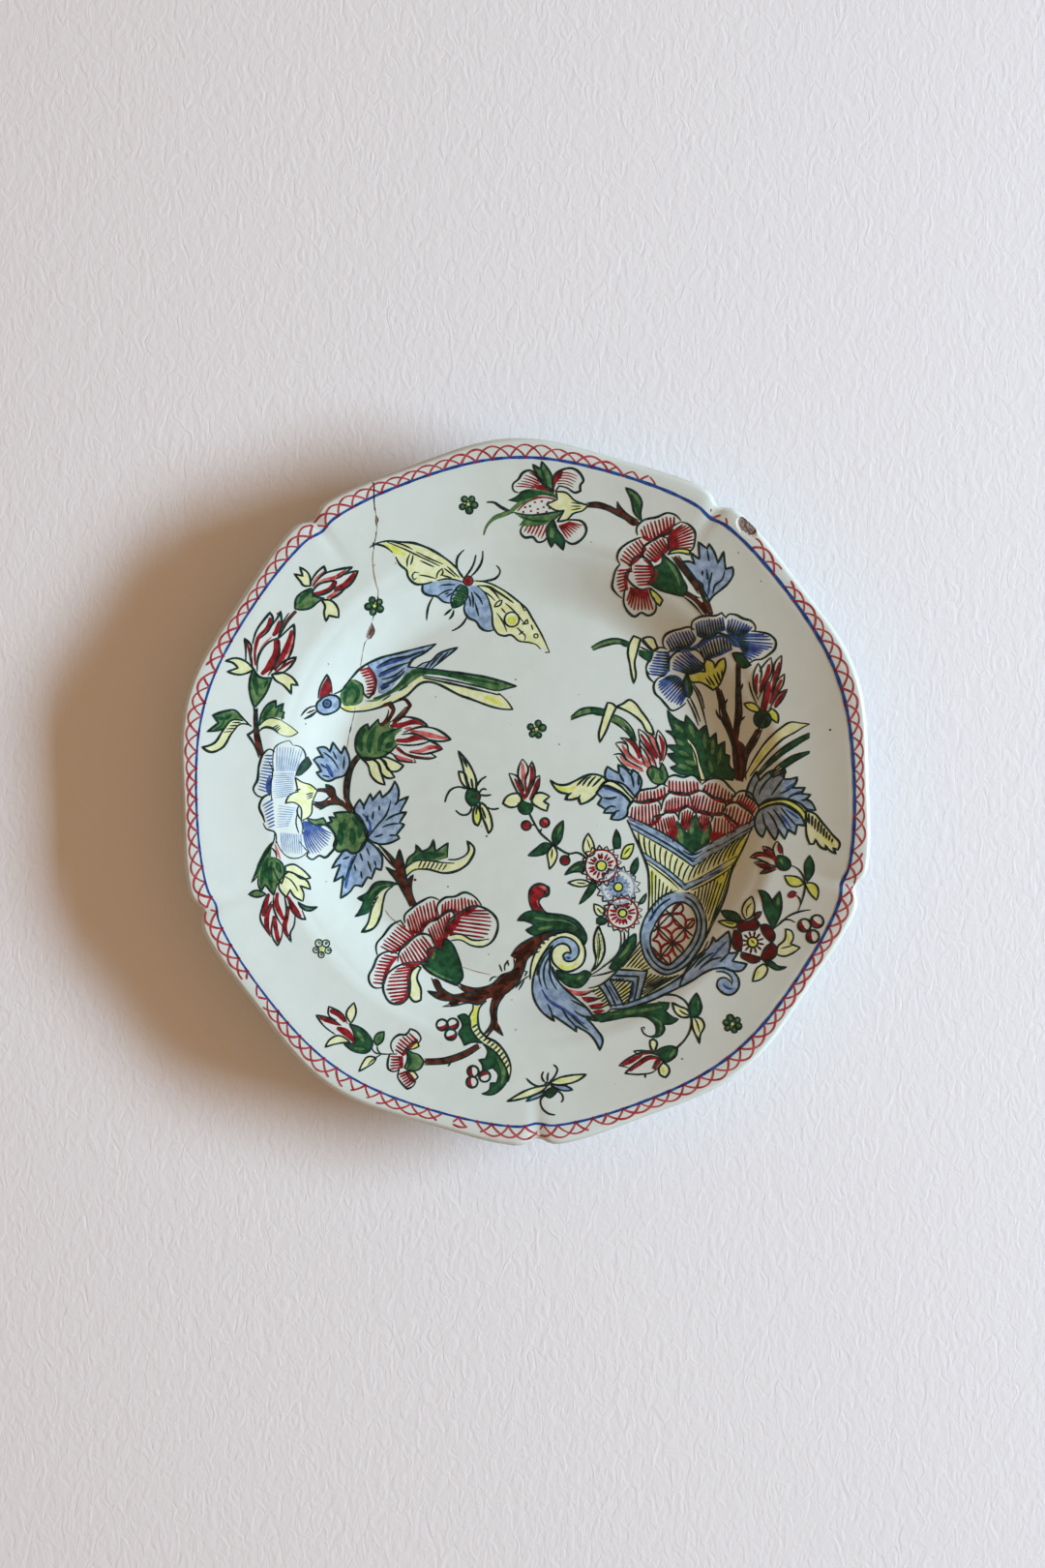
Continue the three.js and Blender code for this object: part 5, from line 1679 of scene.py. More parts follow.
# %% The middle spray
def middle_spray():
    line([(547, 840), (552, 850), (559, 861), (568, 869), (578, 877), (588, 882), (597, 881), (606, 887)],
        1.9, (1, 1, 1))
    for x, y, near in ((544, 853, (553, 852)), (563, 850, (558, 860)), (584, 889, (589, 882))):
        dot(crimson, x, y, 8.8, 9.4, 0, LIFT_SHADE)
        ring_mark(x, y, 4.8, 1.7)
        line([near, (x + 0.6 * (near[0] - x), y + 0.6 * (near[1] - y))], 1.6)
    line([(562, 846), (566, 851)], 3, paint=rose, lift=LIFT_SHADE + 0.01)
    leaf(deep_green, [(574, 874), (571, 866), (573, 857), (582, 848), (582, 858), (579, 869)])
    tone(leaf_green, [(580, 853), (576, 862)], 2.4)
    leaf(deep_green, [(571, 873), (562, 871), (555, 876), (546, 884), (556, 884), (566, 880)])
    leaf(straw, [(572, 873), (566, 881), (567, 891), (568, 898), (574, 890), (576, 882)],
        [(571, 877), (570, 887)])
    line([(569, 880), (570, 888)], 3, paint=yellow, lift=LIFT_TINT)
    shape(straw, [(520, 830), (523, 824), (530, 820), (538, 820), (539, 827), (534, 833), (527, 834)])
    shape(straw, [(551, 822), (559, 819), (565, 821), (568, 823), (562, 828), (567, 831), (565, 838),
        (556, 834), (550, 829)])
    wash(deep_green, [(536, 830), (540, 826), (546, 829), (551, 830), (551, 837), (546, 841), (539, 840)],
        LIFT_SHADE)
    line([(536, 829), (536, 836), (541, 841), (548, 840), (551, 834)], 1.6)
    for stroke, paint, width in (([(532, 804), (536, 812), (543, 826)], crimson, 4),
            ([(540, 788), (541, 800), (543, 818)], rose, 4.5),
            ([(549, 791), (550, 800), (548, 812), (543, 824)], crimson, 4.5),
            ([(557, 804), (553, 815), (548, 827)], crimson, 4)):
        tone(paint, stroke, width, (0.5, 1, 0.8))
    for stroke in ([(526, 799), (531, 811), (537, 822), (542, 828)],
            [(526, 799), (533, 801), (539, 809), (542, 818)],
            [(541, 818), (536, 806), (536, 794), (540, 784)],
            [(544, 818), (543, 806), (546, 794), (540, 784)],
            [(546, 794), (550, 787), (553, 797), (552, 808), (548, 816)],
            [(558, 801), (551, 806), (547, 814), (545, 824)],
            [(558, 801), (557, 812), (552, 822), (549, 830)]):
        line(stroke, 1.8)


middle_spray()
show_progress("the middle spray")

# %% The lower spray
def lower_spray():
    line([(686, 1028), (700, 1029), (711, 1038), (714, 1049), (714, 1062), (708, 1074), (699, 1083)], 1.8,
        (1, 1, 1))
    shape(straw, [(695, 1036), (699, 1047), (705, 1051), (714, 1050), (710, 1043), (703, 1040)])
    line([(702, 1043), (707, 1047), (713, 1049)], 1.4)
    shape(deep_green, [(720, 1026), (715, 1033), (712, 1041), (714, 1050), (720, 1050), (725, 1043),
        (724, 1034)], 1.7, [(leaf_green, [(721, 1034), (722, 1044)], 2.4)])
    shape(straw, [(715, 1051), (716, 1062), (721, 1073), (723, 1078), (724, 1069), (728, 1060),
        (725, 1053)])
    line([(717, 1051), (721, 1058), (723, 1067)], 1.4)
    line([(720, 1054), (722, 1065)], 3, paint=yellow, lift=LIFT_TINT)
    shape(deep_green, [(679, 1086), (686, 1082), (694, 1081), (700, 1083), (699, 1090), (692, 1096),
        (687, 1098), (682, 1092)], 1.8, [(leaf_green, [(698, 1084), (692, 1093)], 3)])
    shape(straw, [(676, 1088), (672, 1080), (672, 1075), (676, 1074), (679, 1077), (678, 1083)])
    shape(straw, [(685, 1098), (690, 1101), (692, 1107), (688, 1113), (683, 1111), (681, 1104)])
    line([(684, 1101), (686, 1109)], 3, paint=yellow, lift=LIFT_TINT)
    for stroke in ([(643, 1101), (652, 1096), (664, 1090)],
            [(651, 1107), (659, 1100), (668, 1094), (681, 1093)], [(662, 1089), (672, 1087), (679, 1089)],
            [(684, 1093), (679, 1098), (676, 1105)]):
        tone(crimson, stroke, 5, (0.5, 1, 0.6))
    for stroke in ([(680, 1091), (668, 1086), (655, 1086), (660, 1090)],
            [(684, 1091), (668, 1087), (652, 1092), (640, 1101), (650, 1103)],
            [(684, 1094), (671, 1091), (660, 1097), (646, 1109), (662, 1110), (676, 1107), (683, 1099)],
            [(667, 1109), (667, 1114)], [(674, 1104), (681, 1094)]):
        line(stroke, 1.7)


lower_spray()
show_progress("the lower spray")

# %% [markdown]
# A green leaf scrolls out under the horn and ends in a small curl. Its wash has one long outline, and a
# lighter stroke along the middle makes it look rolled.

# %% The scrolled leaf under the horn
def scrolled_leaf():
    wash(deep_green, [(606, 1049), (625, 1046), (650, 1041), (668, 1037), (690, 1035), (692, 1039),
        (688, 1045), (693, 1050), (701, 1053), (693, 1058), (686, 1057), (687, 1063), (681, 1071),
        (672, 1072), (678, 1066), (678, 1058), (672, 1052), (655, 1050), (636, 1053), (620, 1056)])
    tone(leaf_green, [(630, 1048), (656, 1045), (684, 1040)], 4, (0.3, 1, 0.5))
    tone(leaf_green, [(674, 1051), (683, 1059), (681, 1069)], 2.4)
    line([(620, 1056), (636, 1053), (655, 1050), (670, 1052), (678, 1060), (678, 1069), (672, 1071),
        (665, 1067), (663, 1062), (666, 1061), (666, 1064)], 1.7, (1, 1, 0.6))
    line([(680, 1035), (692, 1036), (688, 1045), (694, 1050), (701, 1053), (692, 1058), (686, 1058),
        (687, 1064), (681, 1071), (673, 1072)], 1.7)


scrolled_leaf()
show_progress("the scrolled leaf under the horn")

# %% [markdown]
# Two blue leaves and a yellow one spread from the horn's mouth to the left. The dark cuts in their edges
# are short strokes that start on the outline.

# %% The leaves beside the horn's mouth
def side_leaves():
    shape(blue, [(626, 806), (626, 796), (628, 792), (634, 796), (640, 799), (639, 790), (646, 794),
        (652, 801), (654, 795), (660, 800), (663, 806), (662, 814), (657, 824), (652, 818), (644, 810),
        (634, 807)], 1.9)
    for stroke in ([(640, 799), (645, 808)], [(652, 800), (654, 806), (655, 814)],
            [(660, 800), (660, 812)]):
        line(stroke, 2.2)
    shape(blue, [(624, 812), (620, 815), (616, 819), (622, 824), (618, 831), (626, 836), (624, 840),
        (636, 840), (631, 846), (640, 847), (648, 842), (649, 834), (651, 829), (645, 821), (636, 815)],
        1.9)
    tone(deep_blue, [(624, 814), (631, 815), (640, 820)], 3.5, (0.8, 1, 0.3))
    for stroke in ([(623, 824), (631, 825), (638, 823)], [(624, 839), (632, 833), (637, 834)],
            [(631, 846), (636, 839), (641, 837)]):
        line(stroke, 2.1)
    shape(straw, [(622, 811), (629, 807), (640, 811), (649, 820), (655, 826), (652, 829), (646, 823),
        (636, 816)])
    shape(straw, [(569, 806), (575, 810), (584, 811), (594, 807), (604, 802), (612, 800), (622, 802),
        (628, 806), (621, 812), (616, 821), (608, 828), (600, 831), (598, 824), (592, 826), (584, 826),
        (587, 820), (578, 818), (572, 812)], 2.1)
    line([(574, 812), (585, 816), (596, 813)], 4, (0.6, 1, 0.5), yellow, lift=LIFT_TINT)
    for stroke in ([(609, 801), (602, 806), (596, 812)], [(611, 802), (606, 806), (602, 812)],
            [(616, 802), (611, 807), (607, 813)], [(622, 803), (617, 808), (612, 813)],
            [(586, 827), (587, 822), (591, 819)], [(600, 821), (598, 826), (600, 831)]):
        line(stroke, 2.0)


side_leaves()
show_progress("the leaves beside the horn's mouth")

# %% [markdown]
# Above the horn stands a bouquet: a red carnation, a blue peony, two red buds, folded blades of grass and
# a broad green leaf. The peony's petals are only outlines filled with short blue strokes.

# %% The carnation of the bouquet
def high_carnation():
    line([(697, 575), (709, 590), (721, 606), (731, 624), (735, 636)], 5, (0.9, 1, 1.3), brown,
        lift=LIFT_WASH)
    line([(707, 612), (719, 620), (731, 634)], 5, (0.9, 1, 1.3), brown, lift=LIFT_WASH)
    for edge in ([(694, 575), (707, 592), (718, 607), (722, 614)],
            [(701, 574), (713, 590), (725, 607), (733, 622), (733, 634)],
            [(706, 616), (716, 624), (727, 637)], [(709, 610), (718, 616), (724, 618)]):
        line(edge, 1.8)
    tone(dark_brown, [(726, 622), (730, 634)], 4)
    line([(659, 553), (658, 546), (663, 539), (680, 534), (690, 530), (698, 532), (704, 538)], 2.1)
    petal_strokes(crimson, [(664, 554), (673, 558), (684, 552), (698, 541)],
        [(661, 548), (669, 540), (683, 535), (699, 533)], 10)
    line([(704, 539), (712, 542), (718, 549), (718, 560), (716, 567), (712, 570)], 2.1)
    petal_strokes(crimson, [(692, 550), (694, 560), (693, 569)],
        [(704, 542), (715, 546), (717, 558), (715, 567)], 9)
    wash(crimson, [(691, 553), (696, 546), (699, 556), (698, 566), (691, 570)], LIFT_SHADE)
    line([(704, 539), (695, 545), (691, 551), (683, 554), (672, 560), (665, 566), (665, 574), (675, 580)],
        2.0)
    line([(683, 554), (690, 556), (691, 564), (688, 572)], 1.8)
    petal_strokes(crimson, [(676, 581), (684, 573), (690, 563)], [(666, 573), (672, 563), (686, 555)], 8)
    line([(663, 555), (655, 558), (646, 563), (640, 569), (638, 577), (641, 583)], 2.1)
    petal_strokes(crimson, [(650, 585), (660, 576), (668, 566)], [(640, 579), (646, 567), (662, 556)], 8)
    line([(653, 590), (653, 580), (658, 575), (666, 576), (673, 582), (676, 590)], 2.0)
    petal_strokes(crimson, [(672, 584), (675, 594), (672, 605)], [(656, 583), (654, 592), (660, 606)], 7)
    tone(crimson, [(665, 578), (672, 583), (677, 592), (674, 602)], 4, (0.3, 1, 0.6))
    line([(641, 583), (637, 588), (634, 598), (633, 607), (637, 613), (643, 618)], 2.0)
    petal_strokes(crimson, [(651, 587), (647, 598), (648, 610)], [(638, 588), (637, 599), (641, 613)], 7)
    line([(654, 590), (646, 592), (650, 600), (656, 606), (663, 609), (670, 607)], 1.9)
    line([(647, 606), (645, 614), (645, 624), (650, 633), (656, 637), (663, 633), (670, 636), (677, 632),
        (678, 624), (675, 616)], 2.1)
    petal_strokes(crimson, [(651, 609), (660, 612), (670, 611)],
        [(647, 620), (654, 630), (665, 631), (677, 631)], 9)
    tone(crimson, [(651, 607), (660, 611), (670, 609)], 4, (0.6, 1, 0.6))
    shape(yellow, [(690, 573), (694, 569), (703, 567), (714, 569), (712, 573), (702, 571)], 1.6)
    shape(yellow, [(671, 607), (680, 614), (685, 620), (682, 626), (676, 620)], 1.6)
    shape(deep_green, [(684, 571), (690, 577), (698, 584), (705, 597), (710, 609), (706, 616), (697, 614),
        (683, 610), (670, 602), (676, 594), (677, 586), (683, 583)], 1.6)
    tone(leaf_green, [(688, 578), (697, 590), (703, 606)], 3, (0.4, 1, 0.4))


high_carnation()
show_progress("the carnation of the bouquet")

# %% The blue leaf of the bouquet
def high_blue_leaf():
    shape(blue, [(732, 623), (727, 616), (726, 604), (718, 598), (711, 590), (705, 581), (712, 580),
        (718, 583), (714, 571), (723, 578), (722, 560), (731, 567), (733, 562), (739, 572), (742, 582),
        (748, 570), (750, 588), (757, 586), (758, 592), (753, 602), (743, 611), (736, 617)], 1.9,
        [(deep_blue, [(730, 588), (733, 604), (731, 618)], 2.4)])
    for stroke in ([(749, 590), (746, 599), (739, 605), (737, 614)], [(726, 589), (726, 595)],
            [(731, 591), (731, 599)], [(736, 591), (734, 600), (732, 607)], [(731, 568), (733, 580)]):
        line(stroke, 1.7)


high_blue_leaf()
show_progress("the blue leaf of the bouquet")

# %% The blue peony
def blue_petal(edge, near, far, count, dark=0.55, width=2.3):
    """A peony petal: outline, blue strokes, and dark strokes rising from its base."""
    line(edge, 2.1)
    stripes(deep_blue, near, far, count, width, (1.25, 1, 0.75))
    tone(deep_blue, near, 3.6, (0.8, 1, 0.8))
    stripes(ink, near, far, count, 1.5, (1.4, 1, 0.4), LIFT_LINE, reach=dark)


def blue_peony():
    blue_petal([(688, 671), (685, 664), (687, 657), (695, 652), (703, 650), (713, 648), (718, 651)],
        [(693, 673), (701, 670), (711, 668), (719, 658)], [(688, 663), (694, 655), (704, 652), (716, 652)],
        10)
    blue_petal([(715, 652), (716, 642), (722, 638), (732, 636), (740, 636), (746, 633), (750, 638)],
        [(720, 656), (731, 658), (742, 652), (750, 650)], [(718, 644), (726, 640), (738, 639), (748, 637)],
        11, 0.7)
    blue_petal([(750, 639), (753, 635), (760, 635), (768, 639), (777, 642), (781, 648), (780, 653)],
        [(751, 650), (757, 656), (766, 656), (772, 654)], [(752, 640), (760, 639), (770, 643), (779, 648)],
        9, 0.6)
    blue_petal([(776, 652), (786, 653), (796, 656), (802, 663), (801, 670), (795, 676), (787, 681),
        (780, 682), (775, 685)], [(763, 654), (762, 661), (765, 667), (768, 673), (767, 678)],
        [(790, 655), (798, 660), (799, 666), (791, 673), (784, 678), (776, 683)], 11, 0.35)
    blue_petal([(672, 697), (668, 692), (669, 686), (673, 680), (674, 674), (682, 669), (690, 671)],
        [(690, 673), (691, 682), (690, 692), (685, 699)], [(679, 672), (675, 681), (671, 689), (673, 698)],
        9, 0.45)
    blue_petal([(692, 694), (691, 684), (696, 676), (704, 671), (714, 670), (722, 673), (727, 680)],
        [(709, 696), (723, 692), (728, 686)], [(694, 692), (695, 682), (702, 674), (712, 673)], 9, 0.45)
    blue_petal([(721, 668), (726, 661), (734, 658), (741, 654), (749, 656), (757, 662), (761, 668)],
        [(727, 682), (738, 678), (748, 674), (757, 670)], [(721, 668), (731, 661), (743, 657), (755, 662)],
        11, 0.8)
    blue_petal([(688, 698), (680, 701), (676, 707), (677, 716), (683, 722), (689, 729), (694, 734),
        (703, 731), (709, 726)], [(690, 699), (700, 700), (706, 706), (710, 718)],
        [(680, 704), (681, 714), (690, 724), (704, 730)], 12, 0.4)
    line([(668, 692), (670, 699), (677, 706)], 2.0)
    wash(deep_blue, [(697, 674), (712, 670), (722, 664), (736, 658), (750, 655), (763, 658), (769, 669),
        (758, 668), (748, 659), (734, 662), (724, 669), (710, 674)])
    for dark in ([(689, 675), (698, 670), (710, 668), (719, 661)], [(722, 657), (732, 659), (742, 654)],
            [(752, 656), (762, 660), (766, 668)], [(712, 694), (724, 692), (728, 684)]):
        tone(ink, dark, 2.6, (0.5, 1, 0.6))
    shape(deep_green, [(709, 697), (706, 706), (708, 718), (712, 721), (715, 716), (714, 706)], 1.5,
        [(leaf_green, [(709, 703), (711, 714)], 2.6)])
    shape(yellow, [(711, 697), (719, 694), (729, 694), (728, 685), (730, 681), (737, 684), (739, 690),
        (743, 683), (749, 680), (750, 688), (747, 699), (743, 708), (737, 713), (730, 708), (724, 705),
        (714, 704)], 1.8)
    for stroke in ([(729, 700), (735, 708)], [(732, 698), (739, 709)], [(737, 696), (743, 708)],
            [(741, 694), (745, 705)], [(746, 692), (747, 701)]):
        line(stroke, 1.7)
    shape(deep_green, [(757, 675), (766, 675), (772, 682), (776, 687), (768, 690), (762, 685)], 1.5)


blue_peony()
show_progress("the blue peony")

# %% The tall stems
def tall_stems():
    for path, width in (([(741, 710), (745, 724), (750, 742), (756, 758), (764, 776), (766, 805)], 7),
            ([(763, 684), (763, 720), (763, 742), (759, 766)], 5.5),
            ([(785, 752), (779, 764), (772, 776), (768, 786)], 5)):
        line(path, width, (0.7, 1, 1.2), brown, lift=LIFT_WASH)
    wash(brown, [(756, 764), (768, 768), (771, 786), (768, 808), (760, 806), (757, 784)])
    for path, width in (([(742, 714), (746, 728), (751, 746), (757, 762), (762, 780), (763, 806)], 3.4),
            ([(762, 686), (762, 716), (762, 744), (760, 760)], 2.4),
            ([(786, 754), (778, 767), (772, 779)], 2.2), ([(768, 776), (769, 790), (767, 806)], 2.4)):
        tone(dark_brown, path, width, (0.8, 1, 1))
    for edge in ([(740, 713), (743, 726), (744, 738), (751, 754), (757, 770), (759, 790), (757, 806)],
            [(745, 712), (749, 726), (750, 742), (757, 754)], [(749, 728), (752, 722)],
            [(745, 744), (741, 737), (740, 733)], [(761, 686), (761, 712), (760, 740), (758, 755)],
            [(765, 686), (765, 712), (766, 742), (762, 757)], [(765, 714), (768, 706)],
            [(765, 745), (770, 740)], [(782, 753), (776, 764), (769, 776), (766, 768)],
            [(788, 753), (781, 768), (773, 781), (771, 806)], [(779, 766), (782, 763)]):
        line(edge, 1.8)


tall_stems()
show_progress("the tall stems")

# %% The tall red bud
def tall_bud():
    for path, width in (([(783, 696), (781, 706), (782, 718)], 4),
            ([(795, 686), (793, 696), (788, 708), (786, 716)], 5),
            ([(795, 704), (793, 718), (789, 736)], 6.5), ([(806, 684), (803, 696), (798, 716)], 5),
            ([(808, 702), (802, 714), (797, 728)], 4.5), ([(812, 714), (806, 722), (801, 731)], 5)):
        tone(crimson, path, width, (0.5, 1, 0.7))
    for edge in ([(784, 685), (779, 696), (779, 710), (784, 724)], [(784, 685), (787, 693), (785, 706)],
            [(797, 679), (788, 689), (785, 694)], [(797, 679), (798, 692), (794, 702), (789, 711),
            (784, 722)], [(808, 677), (801, 685), (799, 697), (796, 706)],
            [(808, 677), (807, 690), (801, 707), (797, 720)],
            [(811, 696), (803, 704), (799, 716), (795, 727)], [(811, 696), (809, 708), (802, 718)],
            [(814, 712), (806, 716), (799, 726), (795, 734)], [(814, 712), (809, 722), (801, 732)],
            [(792, 704), (789, 720), (786, 734)], [(774, 704), (777, 716), (782, 727)]):
        line(edge, 1.7)
    shape(yellow, [(769, 727), (777, 726), (784, 731), (786, 736), (779, 735), (773, 732)], 1.6)
    shape(yellow, [(793, 736), (798, 732), (804, 738), (804, 747), (799, 744)], 1.6)
    dot(deep_green, 788, 743, 18, 17, 0, LIFT_SHADE)
    dot(ink, 787, 745, 13, 12, 0, LIFT_SHADE + 0.01)
    ring_mark(788, 743, 9, 1.5)


tall_bud()
show_progress("the tall red bud")

# %% The blades of grass
def grass(paint, upper, lower):
    wash(paint, upper + lower[::-1], smooth=False)
    line(upper, 1.8)
    line(lower, 1.8)


def grasses():
    grass(straw, [(770, 802), (780, 783), (792, 766), (806, 753), (818, 746), (827, 747), (837, 748)],
        [(775, 802), (786, 788), (798, 774), (810, 763), (821, 757), (829, 752), (837, 748)])
    line([(780, 790), (796, 768)], 3, paint=yellow, lift=LIFT_TINT)
    grass(deep_green, [(782, 800), (798, 782), (816, 768), (837, 757)],
        [(784, 802), (802, 785), (820, 772), (837, 762)])
    grass(deep_green, [(795, 800), (808, 788), (822, 780), (837, 776)],
        [(796, 803), (811, 793), (824, 785), (837, 778)])
    grass(deep_green, [(806, 802), (812, 794)], [(808, 803), (813, 797)])
    grass(leaf_green, [(611, 669), (624, 662), (638, 660), (650, 663)],
        [(613, 672), (626, 667), (640, 665), (649, 668)])
    wash(deep_green, [(641, 660), (651, 663), (650, 669), (642, 666)], LIFT_SHADE)
    wash(deep_green, [(661, 671), (669, 673), (676, 675), (673, 683), (665, 680), (660, 675)])
    line([(661, 668), (669, 672), (675, 675)], 1.6)
    line([(660, 676), (667, 681), (673, 684)], 1.6)
    shape(straw, [(655, 657), (651, 664), (649, 674), (651, 686), (653, 698), (655, 706), (657, 700),
        (656, 684), (659, 672), (662, 660)], 1.9)
    shape(straw, [(664, 660), (671, 658), (675, 659), (678, 665), (680, 670), (676, 673), (670, 667)], 1.8)
    line([(661, 660), (668, 667), (675, 674)], 1.5)
    grass(leaf_green, [(590, 741), (600, 733), (612, 731), (626, 733)],
        [(590, 744), (602, 739), (614, 737), (624, 739)])
    wash(deep_green, [(609, 731), (625, 733), (623, 740), (612, 737)], LIFT_SHADE)
    wash(leaf_green, [(634, 738), (642, 743), (650, 751), (656, 762), (658, 770), (652, 764), (645, 752),
        (636, 748), (631, 744)])
    line([(634, 738), (644, 743), (652, 751), (658, 766)], 1.6)
    line([(631, 745), (640, 750), (648, 757), (654, 765)], 1.6)
    tone(deep_green, [(646, 750), (652, 758), (656, 766)], 4, (0.4, 1, 0.8))
    shape(straw, [(628, 726), (633, 727), (637, 731), (632, 741), (627, 754), (620, 767), (619, 760),
        (622, 746), (625, 735)], 1.9)
    shape(straw, [(637, 730), (644, 727), (651, 723), (656, 726), (663, 735), (669, 743), (674, 752),
        (676, 759), (670, 757), (663, 746), (652, 737)], 1.9)


grasses()
show_progress("the blades of grass")

# %% The middle red bud
def middle_bud():
    for path, paint, width in (([(646, 764), (654, 768), (659, 776), (661, 784)], crimson, 5),
            ([(643, 769), (648, 778), (656, 785), (665, 790)], rose, 5),
            ([(641, 781), (647, 788), (657, 792), (665, 797)], rose, 4.5),
            ([(662, 758), (668, 767), (674, 776), (679, 784)], crimson, 4.5),
            ([(671, 757), (675, 767), (680, 780)], rose, 4.5), ([(666, 772), (672, 780), (678, 791)], rose,
            4.5), ([(663, 779), (668, 788), (672, 795)], rose, 4.5),
            ([(681, 759), (685, 770), (683, 786)], crimson, 4)):
        tone(paint, path, width, (0.4, 1, 0.7))
    for edge in ([(641, 762), (647, 763), (655, 766), (660, 773)],
            [(641, 762), (648, 769), (650, 778), (658, 786)], [(636, 768), (643, 767), (648, 770)],
            [(636, 768), (643, 777), (648, 785), (656, 790), (664, 794)],
            [(634, 780), (641, 779), (647, 786)], [(637, 781), (643, 789), (650, 795), (661, 798)],
            [(660, 753), (661, 762), (668, 773), (675, 783), (679, 794)],
            [(660, 753), (668, 759), (674, 770), (681, 783)],
            [(669, 756), (676, 762), (681, 774), (682, 790)], [(680, 754), (678, 764), (683, 780)],
            [(680, 754), (687, 764), (689, 773), (685, 787)], [(662, 770), (670, 783), (674, 794)],
            [(661, 764), (662, 776), (667, 792)]):
        line(edge, 1.7)
    shape(leaf_green, [(669, 797), (674, 791), (682, 795), (684, 788), (689, 797), (690, 803), (684, 810),
        (676, 809), (671, 803)], 1.6)
    for stroke in ([(675, 796), (674, 806)], [(683, 795), (684, 806)]):
        tone(deep_green, stroke, 4.5, (0.5, 1, 0.5))


middle_bud()
show_progress("the middle red bud")

# %% The broad green leaf
def broad_leaf():
    shape(deep_green, [(690, 734), (698, 742), (708, 747), (709, 739), (716, 747), (722, 756), (726, 752),
        (730, 749), (733, 764), (740, 757), (741, 771), (749, 766), (749, 779), (754, 781), (754, 791),
        (760, 800), (757, 806), (745, 804), (735, 802), (727, 806), (716, 801), (704, 800), (693, 793),
        (701, 790), (694, 784), (690, 779), (699, 778), (689, 770), (700, 770), (695, 760), (688, 755),
        (696, 756), (692, 745)], 1.6)
    for stroke in ([(698, 764), (707, 770)], [(701, 776), (712, 781)], [(698, 790), (716, 795)],
            [(697, 748), (706, 757)], [(728, 758), (729, 772)], [(737, 764), (736, 780)],
            [(745, 772), (742, 790)], [(733, 786), (736, 798)], [(712, 748), (718, 762)],
            [(708, 786), (720, 790)]):
        tone(leaf_green, stroke, 4.2, (0.4, 1, 0.4))
    line([(711, 764), (716, 772), (720, 784), (724, 796), (727, 809)], 4.4, (0.4, 1, 1.1), straw,
        lift=LIFT_SHADE + 0.01)
    line([(711, 763), (719, 773), (724, 790), (730, 808)], 1.5, lift=LIFT_TOP)
    line([(713, 768), (718, 779), (722, 797), (725, 808)], 1.5, lift=LIFT_TOP)
    for stem in ([(713, 705), (720, 716), (726, 733), (730, 749)], [(716, 706), (724, 718), (728, 733)],
            [(710, 722), (717, 736), (722, 750)], [(713, 720), (719, 733), (724, 746)]):
        line(stem, 1.7)
    line([(718, 712), (725, 728)], 2.6, paint=straw, lift=LIFT_WASH)


broad_leaf()
show_progress("the broad green leaf")

# %% [markdown]
# On the right a large blue leaf folds over the rim of the horn, and below it hangs a spray with one dark
# red flower.

# %% The blue leaf at the right
def right_leaf():
    shape(blue, [(771, 821), (775, 808), (782, 797), (785, 807), (791, 800), (798, 796), (799, 803),
        (805, 800), (811, 795), (810, 805), (816, 805), (824, 803), (822, 810), (818, 814), (832, 814),
        (828, 820), (838, 821), (833, 826), (836, 827), (843, 837), (834, 836), (827, 830), (815, 826),
        (803, 825), (790, 828), (785, 833), (779, 827)], 2.0)
    shape(blue, [(784, 838), (780, 850), (783, 860), (788, 865), (791, 858), (792, 853), (796, 861),
        (801, 868), (804, 861), (804, 856), (811, 867), (815, 857), (822, 862), (824, 852), (833, 853),
        (829, 845), (820, 837), (811, 832), (800, 831), (790, 834)], 2.0)
    for stroke in ([(824, 808), (812, 815)], [(830, 817), (818, 822)], [(826, 846), (812, 836)],
            [(818, 856), (806, 840)]):
        tone(deep_blue, stroke, 2.8, (0.5, 1, 0.5))
    for stroke in ([(784, 806), (780, 814), (778, 822)], [(798, 802), (790, 810), (784, 822)],
            [(809, 805), (802, 815), (797, 822)], [(818, 814), (811, 818), (806, 820)],
            [(828, 820), (820, 821), (814, 825)], [(834, 826), (828, 827)],
            [(791, 854), (789, 846), (788, 840)], [(804, 857), (799, 846), (793, 838)],
            [(814, 858), (806, 845), (799, 836)], [(823, 853), (814, 843), (807, 834)]):
        line(stroke, 1.9)
    rib_top = [(785, 833), (795, 828), (805, 826), (816, 827), (825, 832), (832, 840), (835, 850)]
    rib_bottom = [(787, 836), (797, 831), (808, 830), (818, 834), (826, 840), (831, 848), (834, 853)]
    wash(yellow, rib_top + rib_bottom[::-1], LIFT_SHADE)
    line(rib_top, 1.9)
    line(rib_bottom, 1.9)
    shape(straw, [(833, 838), (841, 840), (850, 850), (860, 862), (868, 873), (866, 878), (861, 876),
        (864, 882), (858, 879), (853, 873), (854, 878), (848, 875), (843, 867), (841, 872), (837, 872),
        (834, 864), (833, 852)], 2.0)
    line([(850, 862), (862, 874)], 4, (0.4, 1, 0.4), yellow, lift=LIFT_TINT)
    stripes(ink, [(834, 839), (844, 846), (854, 858), (862, 868)],
        [(835, 850), (843, 858), (853, 866), (861, 872)], 9, 1.9, (1, 1, 0.7), LIFT_LINE)


right_leaf()
show_progress("the blue leaf at the right")

